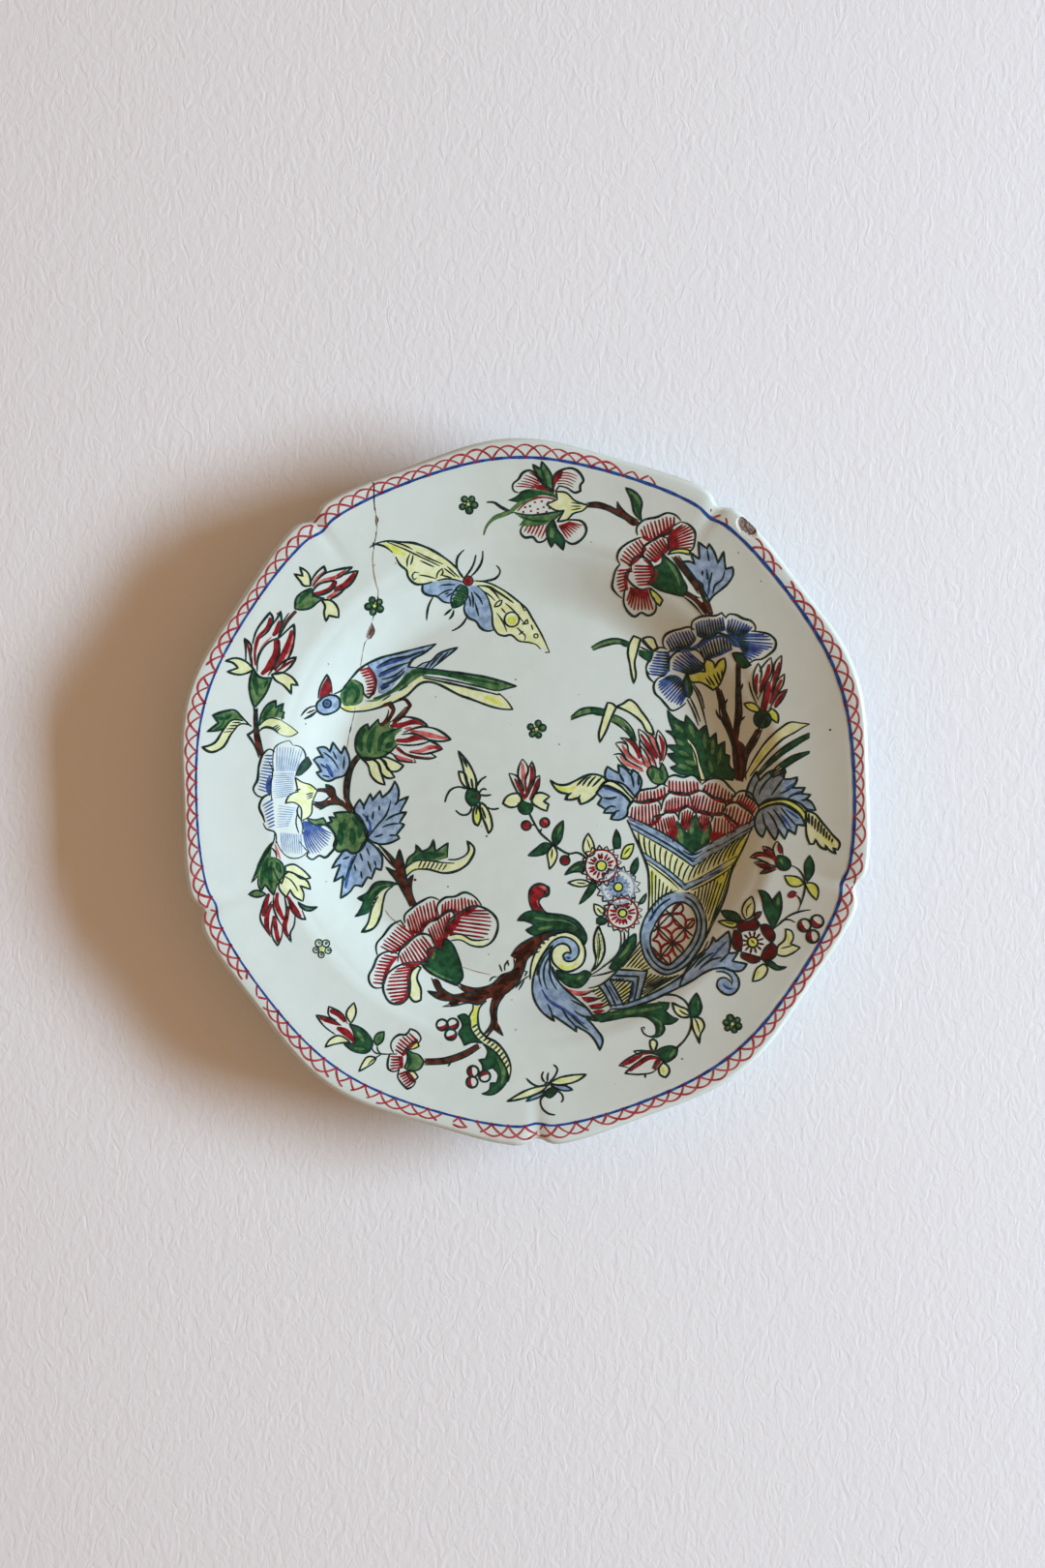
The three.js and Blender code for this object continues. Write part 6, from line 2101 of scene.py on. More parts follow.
# %% The spray at the right
def right_spray():
    for path, width in (([(804, 872), (807, 882)], 4), ([(790, 877), (799, 883)], 4),
            ([(778, 886), (790, 883), (801, 888), (803, 894)], 4.5), ([(782, 892), (797, 896)], 4),
            ([(788, 901), (796, 898), (803, 895)], 4.5)):
        tone(crimson, path, width, (0.5, 1, 0.7))
    for edge in ([(803, 869), (799, 877), (802, 886)], [(803, 869), (808, 876), (809, 884)],
            [(788, 874), (796, 877), (801, 882)], [(788, 874), (791, 881), (799, 885)],
            [(775, 886), (783, 881), (793, 882)], [(775, 886), (785, 888), (795, 893), (803, 895)],
            [(779, 891), (787, 890), (795, 892)], [(779, 891), (787, 896), (799, 898)],
            [(785, 903), (791, 898), (802, 896)], [(785, 903), (795, 901), (803, 898)]):
        line(edge, 1.7)
    shape(deep_green, [(804, 884), (811, 885), (816, 889), (817, 895), (812, 899), (806, 898), (802, 893)],
        1.6, [(leaf_green, [(806, 887), (809, 893)], 3)])
    line([(818, 894), (825, 898), (830, 905), (832, 916), (830, 927), (825, 941)], 1.8)
    line([(823, 925), (827, 930), (827, 935)], 1.6)
    dot(crimson, 818.5, 924.5, 10, 7, -0.4, LIFT_SHADE)
    line([(814, 925), (819, 921), (824, 923)], 1.5)
    leaf(deep_green, [(837, 884), (832, 892), (832, 902), (834, 911), (840, 903), (841, 893)])
    leaf(yellow, [(811, 905), (818, 905), (826, 907), (831, 913), (824, 916), (817, 915)])
    leaf(yellow, [(832, 913), (838, 912), (844, 915), (846, 922), (844, 930), (838, 924)])
    line([(838, 940), (826, 942), (816, 946), (809, 951)], 1.8)
    line([(822, 953), (812, 950), (804, 956), (798, 961)], 1.8)
    for x, y, turn in ((831.5, 956, 2.6), (844.5, 952, 2.2), (840, 967.5, 3.0)):
        berries([(x, y)], 6.6, turn)
    leaf(straw, [(812, 960), (818, 962), (820, 969), (817, 975), (827, 979), (819, 985), (810, 988),
        (803, 986), (804, 978), (811, 971)], [(807, 980), (819, 977)])
    line([(814, 964), (815, 972)], 3, paint=yellow, lift=LIFT_TINT)


right_spray()
show_progress("the spray at the right")

# %% The dark red flower
def dark_flower():
    leaf(straw, [(777, 926), (769, 934), (767, 942), (771, 950), (777, 947), (780, 937)],
        [(777, 933), (772, 939), (772, 947)])
    leaf(deep_green, [(745, 941), (753, 941), (762, 944), (767, 952), (758, 951), (751, 949)])
    leaf(yellow, [(742, 952), (751, 951), (763, 954), (760, 958), (751, 957)], [(750, 953), (759, 955)])
    shape(deep_green, [(784, 920), (790, 921), (798, 931), (806, 921), (808, 932), (806, 946), (799, 959),
        (795, 952), (790, 941), (788, 930)], 1.7, [(leaf_green, [(804, 927), (804, 935)], 4)])
    line([(798, 931), (802, 938)], 1.4)
    leaf(crimson, [(787, 942), (781, 944), (780, 951), (784, 948)])
    leaf(deep_green, [(789, 992), (797, 993), (804, 998), (813, 999), (803, 1002), (795, 998)])
    leaf(straw, [(789, 996), (782, 1001), (779, 1009), (778, 1014), (786, 1012), (792, 1006), (793, 999)])
    line([(784, 1003), (782, 1010)], 3, paint=yellow, lift=LIFT_TINT)
    for petal in ([(762, 955), (766, 950), (773, 952), (780, 948), (785, 954), (782, 960), (772, 961),
            (765, 963)], [(786, 956), (792, 955), (798, 960), (801, 968), (798, 974), (792, 969),
            (788, 963)], [(792, 978), (798, 974), (803, 980), (802, 987), (795, 992), (786, 991),
            (788, 985)], [(767, 984), (775, 986), (785, 989), (785, 993), (778, 995), (771, 992),
            (766, 988)], [(759, 961), (765, 962), (767, 972), (766, 983), (760, 981), (757, 972)]):
        shape(dark_crimson, petal, 1.5)
    for i in range(12):
        angle = i * math.pi / 6 + 0.2
        tone(dark_crimson, [(778 + 6 * math.cos(angle), 973.5 + 6 * math.sin(angle)),
            (778 + 12 * math.cos(angle), 973.5 + 12 * math.sin(angle))], 2.2, (1, 1, 0.6))
    dot(yellow, 778, 973.5, 10, 9.4, 0, LIFT_SHADE)
    ring_mark(778, 973.5, 5.4, 1.8)
    line([(776, 971), (780, 975)], 1.5, paint=crimson, lift=LIFT_TOP)


dark_flower()
show_progress("the dark red flower")

# %% [markdown]
# Two insects and five small flowers fill the empty places, as such painters did to hide flaws in the
# glaze. The flowers have the same form, so one function draws them all, with small differences.

# %% The green insect
def green_insect():
    shape(straw, [(474, 776), (478, 790), (481, 803), (487, 816), (492, 817), (492, 806), (488, 795),
        (481, 784)], 2.0)
    line([(478, 782), (483, 793)], 2.0)
    line([(487, 804), (489, 816)], 2.2)
    shape(straw, [(474, 797), (480, 799), (483, 807), (486, 816), (479, 811)], 1.8)
    shape(yellow, [(492, 831), (489, 842), (492, 852), (494, 853), (497, 845), (495, 835)], 2.0)
    line([(493, 833), (492, 842)], 1.8)
    shape(straw, [(496, 829), (497, 840), (502, 852), (505, 861), (508, 857), (508, 847), (505, 838),
        (500, 831)], 2.0)
    line([(498, 834), (502, 846)], 2.0)
    shape(deep_green, [(484, 815), (492, 816), (496, 822), (493, 830), (487, 833), (482, 826)], 1.8)
    dot(crimson, 494, 823, 2.8, 2.8, 0, LIFT_TOP)
    for leg in ([(482, 815), (474, 813), (466, 816), (462, 822), (460, 829)],
            [(488, 834), (484, 841), (478, 842), (471, 837)], [(493, 812), (497, 806), (503, 802)],
            [(495, 820), (500, 815), (503, 816)], [(496, 821), (502, 822), (508, 821)],
            [(503, 834), (509, 836), (516, 835)]):
        line(leg, 1.9, (1, 0.9, 0.8))


green_insect()
show_progress("the green insect")

# %% The blue insect
def blue_insect():
    shape(straw, [(568, 1119), (577, 1114), (590, 1111), (606, 1110), (598, 1116), (586, 1120),
        (576, 1121)], 1.8)
    tone(yellow, [(574, 1117), (584, 1116)], 2.6, (0.4, 1, 0.4))
    shape(straw, [(566, 1121), (555, 1123), (543, 1127), (532, 1133), (524, 1138), (536, 1136), (550, 1132),
        (562, 1126)], 1.8)
    shape(blue, [(569, 1121), (577, 1121), (585, 1122), (592, 1126), (584, 1127), (576, 1125)], 1.7)
    shape(blue, [(565, 1127), (556, 1130), (549, 1133), (544, 1138), (551, 1136), (560, 1132)], 1.7)
    shape(deep_green, [(565, 1127), (571, 1124), (577, 1126), (573, 1131), (568, 1134), (564, 1132)], 1.7)
    dot(crimson, 565, 1120, 4.4, 4, 0, LIFT_SHADE)
    ring_mark(565.5, 1120, 2, 1.4)
    for leg in ([(563, 1122), (555, 1122), (549, 1119), (544, 1114)],
            [(563, 1118), (560, 1112), (562, 1107)], [(566, 1117), (566, 1112), (567, 1108)],
            [(568, 1118), (574, 1111), (576, 1104), (572, 1100)],
            [(576, 1127), (581, 1131), (582, 1136), (580, 1139)],
            [(564, 1131), (559, 1136), (560, 1144), (566, 1150), (574, 1152)]):
        line(leg, 1.8, (0.9, 1, 0.8))


blue_insect()
show_progress("the blue insect")

# %% The small scattered flowers
def scattered_florets():
    for x, y, turn, petal in ((484, 521, 0.2, deep_green), (387, 626, 0.5, deep_green),
            (554.5, 753.5, -1.4, deep_green), (757, 1058, 0.3, deep_green), (333, 980, 0.4, None)):
        floret(x, y, 6.5, turn, 6 if x > 700 else 5, petal)


scattered_florets()
show_progress("the small scattered flowers")

# %% [markdown]
# The border is a blue band line with a net of red arches standing on it, all done by eye with a full
# brush. Each arch starts at one foot and ends two feet further on, so that it crosses its neighbours. The
# net has worn away at the upper right and has lost flakes elsewhere. The gaps stay as the photograph
# shows them.

# %% Where the border lies
BORDER_INSET = 6.3
EDGE_FOLLOWED = 0.42


def to_pixels(spots):
    """Where the camera sees these (x, y) spots of the glaze, in pixels of the photograph."""
    scale = (CAMERA_HEIGHT - face_height(spots)) / FOCAL_PIXELS
    x = PHOTO_WIDTH / 2 + (spots[:, 0] - CAMERA_X) / scale
    y = PHOTO_HEIGHT / 2 - (spots[:, 1] - CAMERA_Y) / scale
    return np.column_stack([x, y])


def border_pixels(angles, up):
    """Pixels of spots a given height above the border line, which follows the edge, but more gently."""
    even = PLATE_RADIUS - OVAL * np.cos(2 * angles)
    radius = even + (edge_radius(angles) - even) * EDGE_FOLLOWED - BORDER_INSET + up
    return to_pixels(np.column_stack([radius * np.cos(angles), radius * np.sin(angles)]))


there = to_pixels(on_plate([(300, 700)]))[0]
print("pixel 300, 700 goes to the glaze and comes back as", np.round(there, 1))

# %% Worn stretches
WORN = [(57, 63, 0.12), (63, 67, 0.25), (67, 74, 0.84), (39, 40.6, 0.5), (48.0, 52.8, 0.3), (53.5, 56, 0.8),
    (158.4, 160, 0.8), (213.6, 215.4, 0.6), (216, 219, 0.72), (235.5, 237, 0.8), (238.5, 244, 0.86),
    (255, 257.4, 0.35), (260.2, 262.2, 0.45), (281, 283.4, 0.9), (350, 351.6, 0.86)]
WORN_WAVER = 0.06


def kept_runs(angles, share):
    """The unworn stretches of an arch, from the angle and share of the height of its points.

    Each row of WORN gives two angles in degrees and the share of the height above which the net is gone.
    """
    degrees = np.degrees(angles) % 360
    kept = np.ones(len(angles), dtype=bool)
    for start, end, most in WORN:
        edge = most + WORN_WAVER * np.sin(degrees * 9)
        kept &= ~((degrees > start) & (degrees < end) & (share > edge))
    runs = []
    run = []
    for i, ok in enumerate(kept):
        if ok:
            run.append(i)
        elif run:
            runs.append(run)
            run = []
    runs.append(run)
    return [run for run in runs if len(run) > 2]


print("the net is worn in", len(WORN), "places")

# %% The border line and its net
NET_HEIGHT = 4.3
NET_STEP = math.radians(2.86)
STRETCH = 12
OVERLAP = 0.6
ARCH_POINTS = 13


def border():
    """The blue line in overlapping stretches, then the red arches with a full dot at many of their feet."""
    for turn in np.arange(0, 360, STRETCH):
        angles = np.radians(np.linspace(turn - OVERLAP, turn + STRETCH + OVERLAP, 12))
        width = 2.9 + 0.7 * math.cos(math.radians(turn - 20))
        line(border_pixels(angles, 0.0), width, (0.9, 1, 0.9), border_blue)
    feet = np.arange(0, 2 * math.pi - 0.02, NET_STEP) + math.radians(1.2)
    feet = feet + np.array([hand.uniform(-0.005, 0.005) for _ in feet])
    tops = [hand.uniform(0.92, 1.08) for _ in feet]
    for i, foot in enumerate(feet):
        end = feet[(i + 2) % len(feet)] + (2 * math.pi if i + 2 >= len(feet) else 0)
        share = np.linspace(0, 1, ARCH_POINTS)
        angles = foot + (end - foot) * (share + 0.03 * np.sin(math.pi * share))
        rise = np.sin(math.pi * share) ** 0.82
        swelling = 0.9 + 0.14 * np.cos(LOBES * WAVES_PER_LOBE * angle_from_notch(angles))
        points = border_pixels(angles, NET_HEIGHT * tops[i] * rise * swelling)
        heavy = hand.random()
        for run in kept_runs(angles, rise):
            line(points[run], 1.9 + 0.7 * heavy, (0.9, 0.9, 1.0), border_red, lift=LIFT_SHADE)
        if heavy > 0.35 and kept_runs(angles[:4], rise[:4]):
            x, y = points[0]
            dot(crimson, x, y, 3.6, 2.8, hand.uniform(0, 3), LIFT_TOP)


border()
show_progress("the border line and its net")

# %% [markdown]
# A long crack runs in from the edge at the upper left. Where its edges have crumbled it is an open
# groove, and elsewhere only a brown stain shows through the glaze. Tools of the right shape are cut out
# of the skin, as the blow and the wear did on the real plate. Each tool carries the material of the face
# that it leaves behind.

# %% Tools for the chips
BROKEN_GLAZE_SLOT = 2
POROUS_CLAY_SLOT = 3
STAINED_SLOT = 4
CHIP_POINTS = 26
cutter_points = []
cutter_faces = []
cutter_slots = []
grain = random.Random(11)


def above_glaze(pixels, height):
    """Points at a height over the glaze, in millimetres, seen at these pixels."""
    spots = on_plate(pixels)
    return np.column_stack([spots, face_height(spots) + height])


def even_outline(outline):
    """A closed outline with a fixed number of points, so that rings can be joined."""
    curve = smooth_curve(outline, closed=True, gap=0.4)
    return curve[np.linspace(0, len(curve), CHIP_POINTS, endpoint=False).astype(int)]


def chip_ring(outline, share, height, rough):
    """One ring of a chip: the outline drawn in to a share of its size, with ragged points."""
    middle = outline.mean(axis=0)
    ragged = np.array([share * grain.uniform(1 - rough, 1 + rough) for _ in outline])[:, None]
    points = above_glaze(middle + (outline - middle) * ragged, height)
    points[:, 2] += [grain.uniform(-1, 1) * rough * abs(height) for _ in outline]
    return points


def cut_chip(rings, floor_depth):
    """rings lists (outline, share, height, roughness, slot of the face under it), from the top down."""
    start = len(cutter_points)
    count = CHIP_POINTS
    for outline, share, height, rough, _ in rings:
        cutter_points.extend(chip_ring(outline, share, height, rough).tolist())
    middle = rings[-1][0].mean(axis=0)[None]
    cutter_points.extend(above_glaze(middle, rings[0][2]).tolist())
    cutter_points.extend(above_glaze(middle, -floor_depth).tolist())
    top = start + len(rings) * count
    for i in range(count):
        j = (i + 1) % count
        cutter_faces.append((top, start + j, start + i))
        cutter_slots.append(rings[0][4])
        for row in range(len(rings) - 1):
            a = start + row * count
            cutter_faces.append((a + i, a + j, a + count + j, a + count + i))
            cutter_slots.append(rings[row][4])
        last = start + (len(rings) - 1) * count
        cutter_faces.append((last + i, last + j, top + 1))
        cutter_slots.append(rings[-1][4])


print("each ring of a chip has", CHIP_POINTS, "points")

# %% A tool for the crack
GROOVE_OVER = 0.5


def cut_groove(points, width, depth):
    """A wedge along the crack, width in pixels where it meets the glaze and depth in millimetres."""
    path = smooth_curve(points, gap=1.6)
    count = len(path)
    ahead = np.gradient(path, axis=0)
    ahead /= np.hypot(ahead[:, 0], ahead[:, 1])[:, None]
    side = np.column_stack([ahead[:, 1], -ahead[:, 0]])
    ends = np.minimum(1, np.minimum(np.arange(count), np.arange(count)[::-1]) * 0.3 + 0.25)
    ragged = ends * np.array([grain.uniform(0.7, 1.3) for _ in path])
    half = (width / 2 * (depth + GROOVE_OVER) / depth * ragged)[:, None]
    start = len(cutter_points)
    cutter_points.extend(above_glaze(path + side * half, GROOVE_OVER).tolist())
    cutter_points.extend(above_glaze(path - side * half, GROOVE_OVER).tolist())
    cutter_points.extend(above_glaze(path, -depth).tolist())
    for i in range(count - 1):
        a = start + i
        b = a + count
        c = b + count
        cutter_faces.extend([(b, b + 1, a + 1, a), (c + 1, c, a, a + 1), (c, c + 1, b + 1, b)])
        cutter_slots.extend([STAINED_SLOT] * 3)
    end = count - 1
    cutter_faces.append((start + 2 * count, start + count, start))
    cutter_faces.append((start + 2 * count + end, start + end, start + count + end))
    cutter_slots.extend([STAINED_SLOT] * 2)


print("a groove is a wedge that stands", GROOVE_OVER, "mm over the glaze")

# %% [markdown]
# Three chips show: one on the rim at the upper right, and two beside the crack, near the edge and on the
# wall. In each the glaze broke off first, with a pale edge, and the clay under it crumbled deeper. Small
# flecks of glaze are gone elsewhere.

# %% The chips of this plate
rim_chip_edge = even_outline([(760.5, 538), (763, 534), (768, 532), (775, 536), (781, 541), (785, 547),
    (784, 553), (779, 556), (771, 555), (765, 551), (761, 545)])
rim_chip_body = even_outline([(763.5, 537), (767, 533), (771, 536), (775, 539), (779, 542), (782, 547),
    (779, 552), (775, 552.5), (771, 550), (766.5, 547), (763.5, 542)])
cut_chip([(rim_chip_edge, 1.0, 1.2, 0.0, BROKEN_GLAZE_SLOT),
    (rim_chip_edge, 1.0, 0.02, 0.03, BROKEN_GLAZE_SLOT),
    (rim_chip_body, 1.04, -0.35, 0.05, POROUS_CLAY_SLOT),
    (rim_chip_body, 0.86, -0.95, 0.1, POROUS_CLAY_SLOT), (rim_chip_body, 0.6, -0.9, 0.22, POROUS_CLAY_SLOT),
    (rim_chip_body, 0.3, -1.1, 0.22, POROUS_CLAY_SLOT)], 0.9)
wall_chip = even_outline([(384, 643), (386.5, 647), (387.5, 653), (385, 658), (381, 661), (378.3, 659),
    (379.5, 653), (381.5, 648)])
cut_chip([(wall_chip, 1.0, 1.0, 0.0, BROKEN_GLAZE_SLOT), (wall_chip, 1.0, 0.02, 0.05, POROUS_CLAY_SLOT),
    (wall_chip, 0.78, -0.4, 0.12, POROUS_CLAY_SLOT), (wall_chip, 0.45, -0.55, 0.2, STAINED_SLOT)], 0.7)
small_chip = even_outline([(388, 532), (391.3, 536.5), (390.3, 541), (389.2, 545), (388, 540)])
cut_chip([(small_chip, 1.0, 1.0, 0.0, BROKEN_GLAZE_SLOT), (small_chip, 1.0, 0.02, 0.05, STAINED_SLOT),
    (small_chip, 0.6, -0.4, 0.15, STAINED_SLOT)], 0.5)
for x, y, wide in ((559, 1016, 1.5), (625, 997, 1.7), (763, 571, 1.2), (786, 600.5, 1.4), (339, 686, 1.3)):
    fleck = even_outline([(x - wide, y - 0.6), (x, y - wide), (x + wide, y), (x + 0.3, y + wide)])
    cut_chip([(fleck, 1.0, 0.6, 0.0, BROKEN_GLAZE_SLOT), (fleck, 1.0, 0.02, 0.1, BROKEN_GLAZE_SLOT),
        (fleck, 0.5, -0.25, 0.2, POROUS_CLAY_SLOT)], 0.3)
print("the chips take", len(cutter_faces), "faces to cut")

# %% The open stretches of the crack
cut_groove([(383, 494), (386, 501), (386.6, 515), (387.2, 525), (388.4, 531)], 1.25, 0.5)
cut_groove([(389.4, 547), (388, 556), (386.6, 563), (385.8, 570)], 1.1, 0.45)
cut_groove([(390.5, 615), (390, 622), (388, 632), (385.4, 639), (384.6, 641.6)], 1.2, 0.45)
cut_groove([(380, 660.6), (377.8, 663), (376, 668), (374.8, 675)], 1.0, 0.35)
cut_groove([(369.6, 712), (369, 722), (367, 730)], 1.5, 0.4)
cut_groove([(363.8, 747), (362.6, 752), (360.8, 759)], 1.2, 0.35)
print("with the crack the tools have", len(cutter_faces), "faces")

# %% Cut the damage
def cut_damage():
    """Takes the tools out of the skin, and gives the glaze its true normals again beside the cuts."""
    mesh = bpy.data.meshes.new("damage_tools")
    mesh.from_pydata((np.array(cutter_points) * MM).tolist(), [], cutter_faces)
    mesh.polygons.foreach_set("material_index", cutter_slots)
    tools = bpy.data.objects.new("damage_tools", mesh)
    bpy.context.scene.collection.objects.link(tools)
    cut = plate.modifiers.new("damage", "BOOLEAN")
    cut.operation = "DIFFERENCE"
    cut.solver = "MANIFOLD"
    cut.material_mode = "INDEX"
    cut.object = tools
    bpy.context.view_layer.update()
    result = bpy.data.meshes.new_from_object(plate.evaluated_get(bpy.context.evaluated_depsgraph_get()))
    plate.modifiers.clear()
    before = plate.data
    plate.data = result
    bpy.data.meshes.remove(before)
    bpy.data.objects.remove(tools)
    bpy.data.meshes.remove(mesh)
    result.name = "plate_skin"
    spots = np.array([v.co[:] for v in result.vertices]) / MM
    on_face = np.abs(spots[:, 2] - face_height(spots[:, :2])) < 0.01
    true_normals = face_normals(spots[:, :2])
    normals = []
    for face in result.polygons:
        glazed = face.material_index == GLAZE_SLOT and face.normal.z > 0.5
        for v in face.vertices:
            normals.append(tuple(true_normals[v]) if glazed and on_face[v] else (0, 0, 0))
    result.normals_split_custom_set(normals)
    return len(result.polygons)


print("skin with its damage:", cut_damage(), "faces")

# %% [markdown]
# Tea, food and water have soaked into the crack, so a thin brown line joins its open stretches. A
# darker line laid over the open stretches themselves is painted shade in the grooves, over their stain.
# The kiln and years of use left small dark specks. All are drawn as strokes and dots, because each has
# its own place.

# %% Stains, painted shade in the crack, and specks
def crack_stains_and_shade():
    for points, width in (([(388.6, 531), (389.6, 540), (389.4, 548)], 0.9),
            ([(385.8, 569), (385.2, 578), (386.4, 592), (388.6, 603), (391, 612), (390.4, 616)], 1.1),
            ([(374.8, 675), (372.6, 688)], 0.9), ([(367, 730), (366, 738), (363.8, 747)], 0.8),
            ([(360.8, 759), (359.6, 767), (358.4, 776)], 0.8), ([(357.5, 850), (359, 862), (362, 880)],
            0.8), ([(398, 940), (404, 948), (411, 954), (416, 960)], 1.0),
            ([(478, 999), (490, 1003), (507, 1007)], 0.9)):
        line(points, width, (0.7, 1, 0.7), crack_stain, lift=LIFT_SHADE)
    # Painted shade: dark lines over the open grooves, where the inside of the crack falls in shade, over
    # its stain.
    for points in ([(386.8, 499), (386.7, 508), (386.6, 519)], [(385.8, 560), (386.4, 566)],
            [(391, 616), (390, 624), (387, 636)]):
        line(points, 1.0, (0.7, 1, 0.7), dark_brown, lift=LIFT_TOP + 0.02)
    for x, y, wide in ((533, 702, 2.2), (316, 748, 2.0), (578, 769, 2.0), (409, 582, 1.6), (387, 584, 1.6)):
        dot(crack_stain, x, y, wide, wide * 0.8, 0.4, LIFT_WASH)
    for x, y, wide in ((337, 911, 1.3), (529, 1033, 1.3), (533, 1064, 1.5), (705, 1094, 2.0),
            (463, 916, 1.8), (503, 864, 2.2), (858, 754, 2.4), (795, 700, 1.3), (611, 560, 1.2)):
        dot(ink, x, y, wide, wide * 0.9, 0.2, LIFT_WASH)


crack_stains_and_shade()
show_progress("stains and specks")

# %% [markdown]
# Each colour of the painting now becomes one piece. A piece for each motif would need several colours in
# each, and a piece for each stroke would make hundreds. One piece for each colour is how a painter thinks
# of it too.

# %% One piece for each colour
def paint_object(paint):
    spots = np.vstack(paint.spots)
    lifts = np.concatenate(paint.lifts)
    normals = face_normals(spots)
    places = np.column_stack([spots, face_height(spots)]) + normals * lifts[:, None]
    mesh = bpy.data.meshes.new(paint.name)
    mesh.from_pydata((places * MM).tolist(), [], paint.faces)
    mesh.polygons.foreach_set("use_smooth", [True] * len(paint.faces))
    mesh.normals_split_custom_set_from_vertices(normals.tolist())
    piece = bpy.data.objects.new(paint.name, mesh)
    bpy.context.scene.collection.objects.link(piece)
    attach(piece, "root")
    print(paint.name, len(paint.faces), "faces")
    return piece


painted = {paint.name: paint_object(paint) for paint in paints if paint.count}

# %% [markdown]
# Every finish below is a small net of nodes: noises for the colour and the relief, and a shader that
# takes them. One function turns a colour written as hex into linear light. One adds a node and another
# feeds its inputs. The scale of each noise comes from the real size of what it stands for, in
# millimetres.

# %% Colours and nodes
def linear(hex_colour):
    """An sRGB hex value as the linear colour that a shader takes."""
    parts = [int(hex_colour[i : i + 2], 16) / 255 for i in (1, 3, 5)]
    return [c / 12.92 if c <= 0.04045 else ((c + 0.055) / 1.055) ** 2.4 for c in parts] + [1.0]


def scale_for(size):
    """The scale of a noise whose patches are this many millimetres across."""
    return 1 / (size * MM)


def feed(node, inputs):
    """Sets inputs of a node, by name or number, to values or to links from other nodes."""
    for name, value in inputs.items():
        if isinstance(value, bpy.types.NodeSocket):
            node.id_data.links.new(value, node.inputs[name])
        else:
            node.inputs[name].default_value = value


def add_node(tree, kind, settings=None, inputs=None):
    """Adds one node, with its settings and with values or links for its inputs."""
    node = tree.nodes.new(kind)
    for name, value in (settings or {}).items():
        setattr(node, name, value)
    feed(node, inputs or {})
    return node


def new_material(name):
    """A fresh material, with its net of nodes, its shader and the place of each point on the object."""
    material = bpy.data.materials.new(name)
    material.use_nodes = True
    tree = material.node_tree
    where = add_node(tree, "ShaderNodeTexCoord").outputs["Object"]
    return material, tree, tree.nodes["Principled BSDF"], where


print("mid grey #808080 is", round(linear("#808080")[0], 3), "in linear light")

# %% [markdown]
# The colours are metal oxides in a little glass: copper for the greens, cobalt for the blues, iron for
# the reds and browns, antimony for the yellows. They are brushed on with water and fired, so a field has
# thin and thick puddles about 2.4 mm across. Two tones with a noise between them give that. An even
# colour would look printed.

# %% Brushed enamel
PAINT_COLOURS = {"ink_lines": ("#04181A", "#0F3C3C"), "crimson_strokes": ("#5C0A14", "#96202C"),
    "dark_crimson_petals": ("#3C060C", "#62101A"), "rose_strokes": ("#A43C40", "#CC7672"),
    "deep_green_leaves": ("#023420", "#1E5638"), "light_green_leaves": ("#2C5A36", "#648252"),
    "pale_blue_washes": ("#7089A6", "#9CB2CC"), "deep_blue_strokes": ("#1C3674", "#3E5E98"),
    "pale_yellow_washes": ("#CDD298", "#DAE0BC"), "strong_yellow_strokes": ("#BDC44C", "#D2DC74"),
    "brown_branches": ("#280F0C", "#5E2C22"), "dark_brown_shading": ("#1A0A08", "#301410"),
    "blue_border_line": ("#0C3074", "#22549C"), "red_border_net": ("#8E2A34", "#B55058"),
    "brown_stains": ("#7C6450", "#A08A76"),}
PUDDLE_SIZE = 2.381
PIGMENT_GRAIN = 0.3846
ENAMEL_ROUGHNESS = 0.22
ENAMEL_IOR = 1.4


def brushed_enamel(name, dark, light):
    """Fired oxide colour. It shines like the glaze that it has sunk into, only a little duller."""
    material, tree, shader, where = new_material(name)
    puddles = add_node(tree, "ShaderNodeTexNoise", None, {"Vector": where, "Scale": scale_for(PUDDLE_SIZE),
        "Detail": 4.0})
    depth = add_node(tree, "ShaderNodeMapRange", None, {"Value": puddles.outputs["Fac"], "From Min": 0.36,
        "From Max": 0.64})
    colour = add_node(tree, "ShaderNodeMix", {"data_type": "RGBA"},
        {0: depth.outputs["Result"], 6: linear(dark), 7: linear(light)})
    grains = add_node(tree, "ShaderNodeTexNoise", None, {"Vector": where, "Scale": scale_for(PIGMENT_GRAIN),
        "Detail": 2.0})
    relief = add_node(tree, "ShaderNodeBump", None, {"Height": grains.outputs["Fac"], "Strength": 0.12,
        "Distance": 0.0001})
    feed(shader, {"Base Color": colour.outputs[2], "Normal": relief.outputs["Normal"],
        "Roughness": ENAMEL_ROUGHNESS, "IOR": ENAMEL_IOR})
    return material


for name, piece in painted.items():
    piece.data.materials.append(brushed_enamel(name, *PAINT_COLOURS[name]))
print("fired", len(painted), "colours")

# %% [markdown]
# Tin glaze is a lead glass made white with tin oxide. It is smooth and shiny, with a faint green-blue
# cast, tiny dark specks and pinholes, and soft waves from the brush or the dip. The specks are really 0.1
# to 0.3 mm wide. They come from a cell pattern: a few of its cells are chosen, and each of those gets a
# spot.

# %% Specks and pores
def speck_mask(tree, where, spacing, size, amount):
    """1 inside specks, with their spacing and size in millimetres and the share of cells that have one."""
    cells = add_node(tree, "ShaderNodeTexVoronoi", {"feature": "F1"},
        {"Vector": where, "Scale": scale_for(spacing)})
    near = add_node(tree, "ShaderNodeMapRange", None,
        {"Value": cells.outputs["Distance"], "From Min": size / spacing, "From Max": 0.4 * size / spacing})
    pick = add_node(tree, "ShaderNodeSeparateColor", None, {"Color": cells.outputs["Color"]})
    chosen = add_node(tree, "ShaderNodeMath", {"operation": "LESS_THAN"},
        {0: pick.outputs["Red"], 1: amount})
    both = add_node(tree, "ShaderNodeMath", {"operation": "MULTIPLY"},
        {0: near.outputs["Result"], 1: chosen.outputs["Value"]})
    return both.outputs["Value"]


print("specks 6.5 mm apart make", round((PLATE_RADIUS / 6.5) ** 2 * math.pi), "cells on the plate")

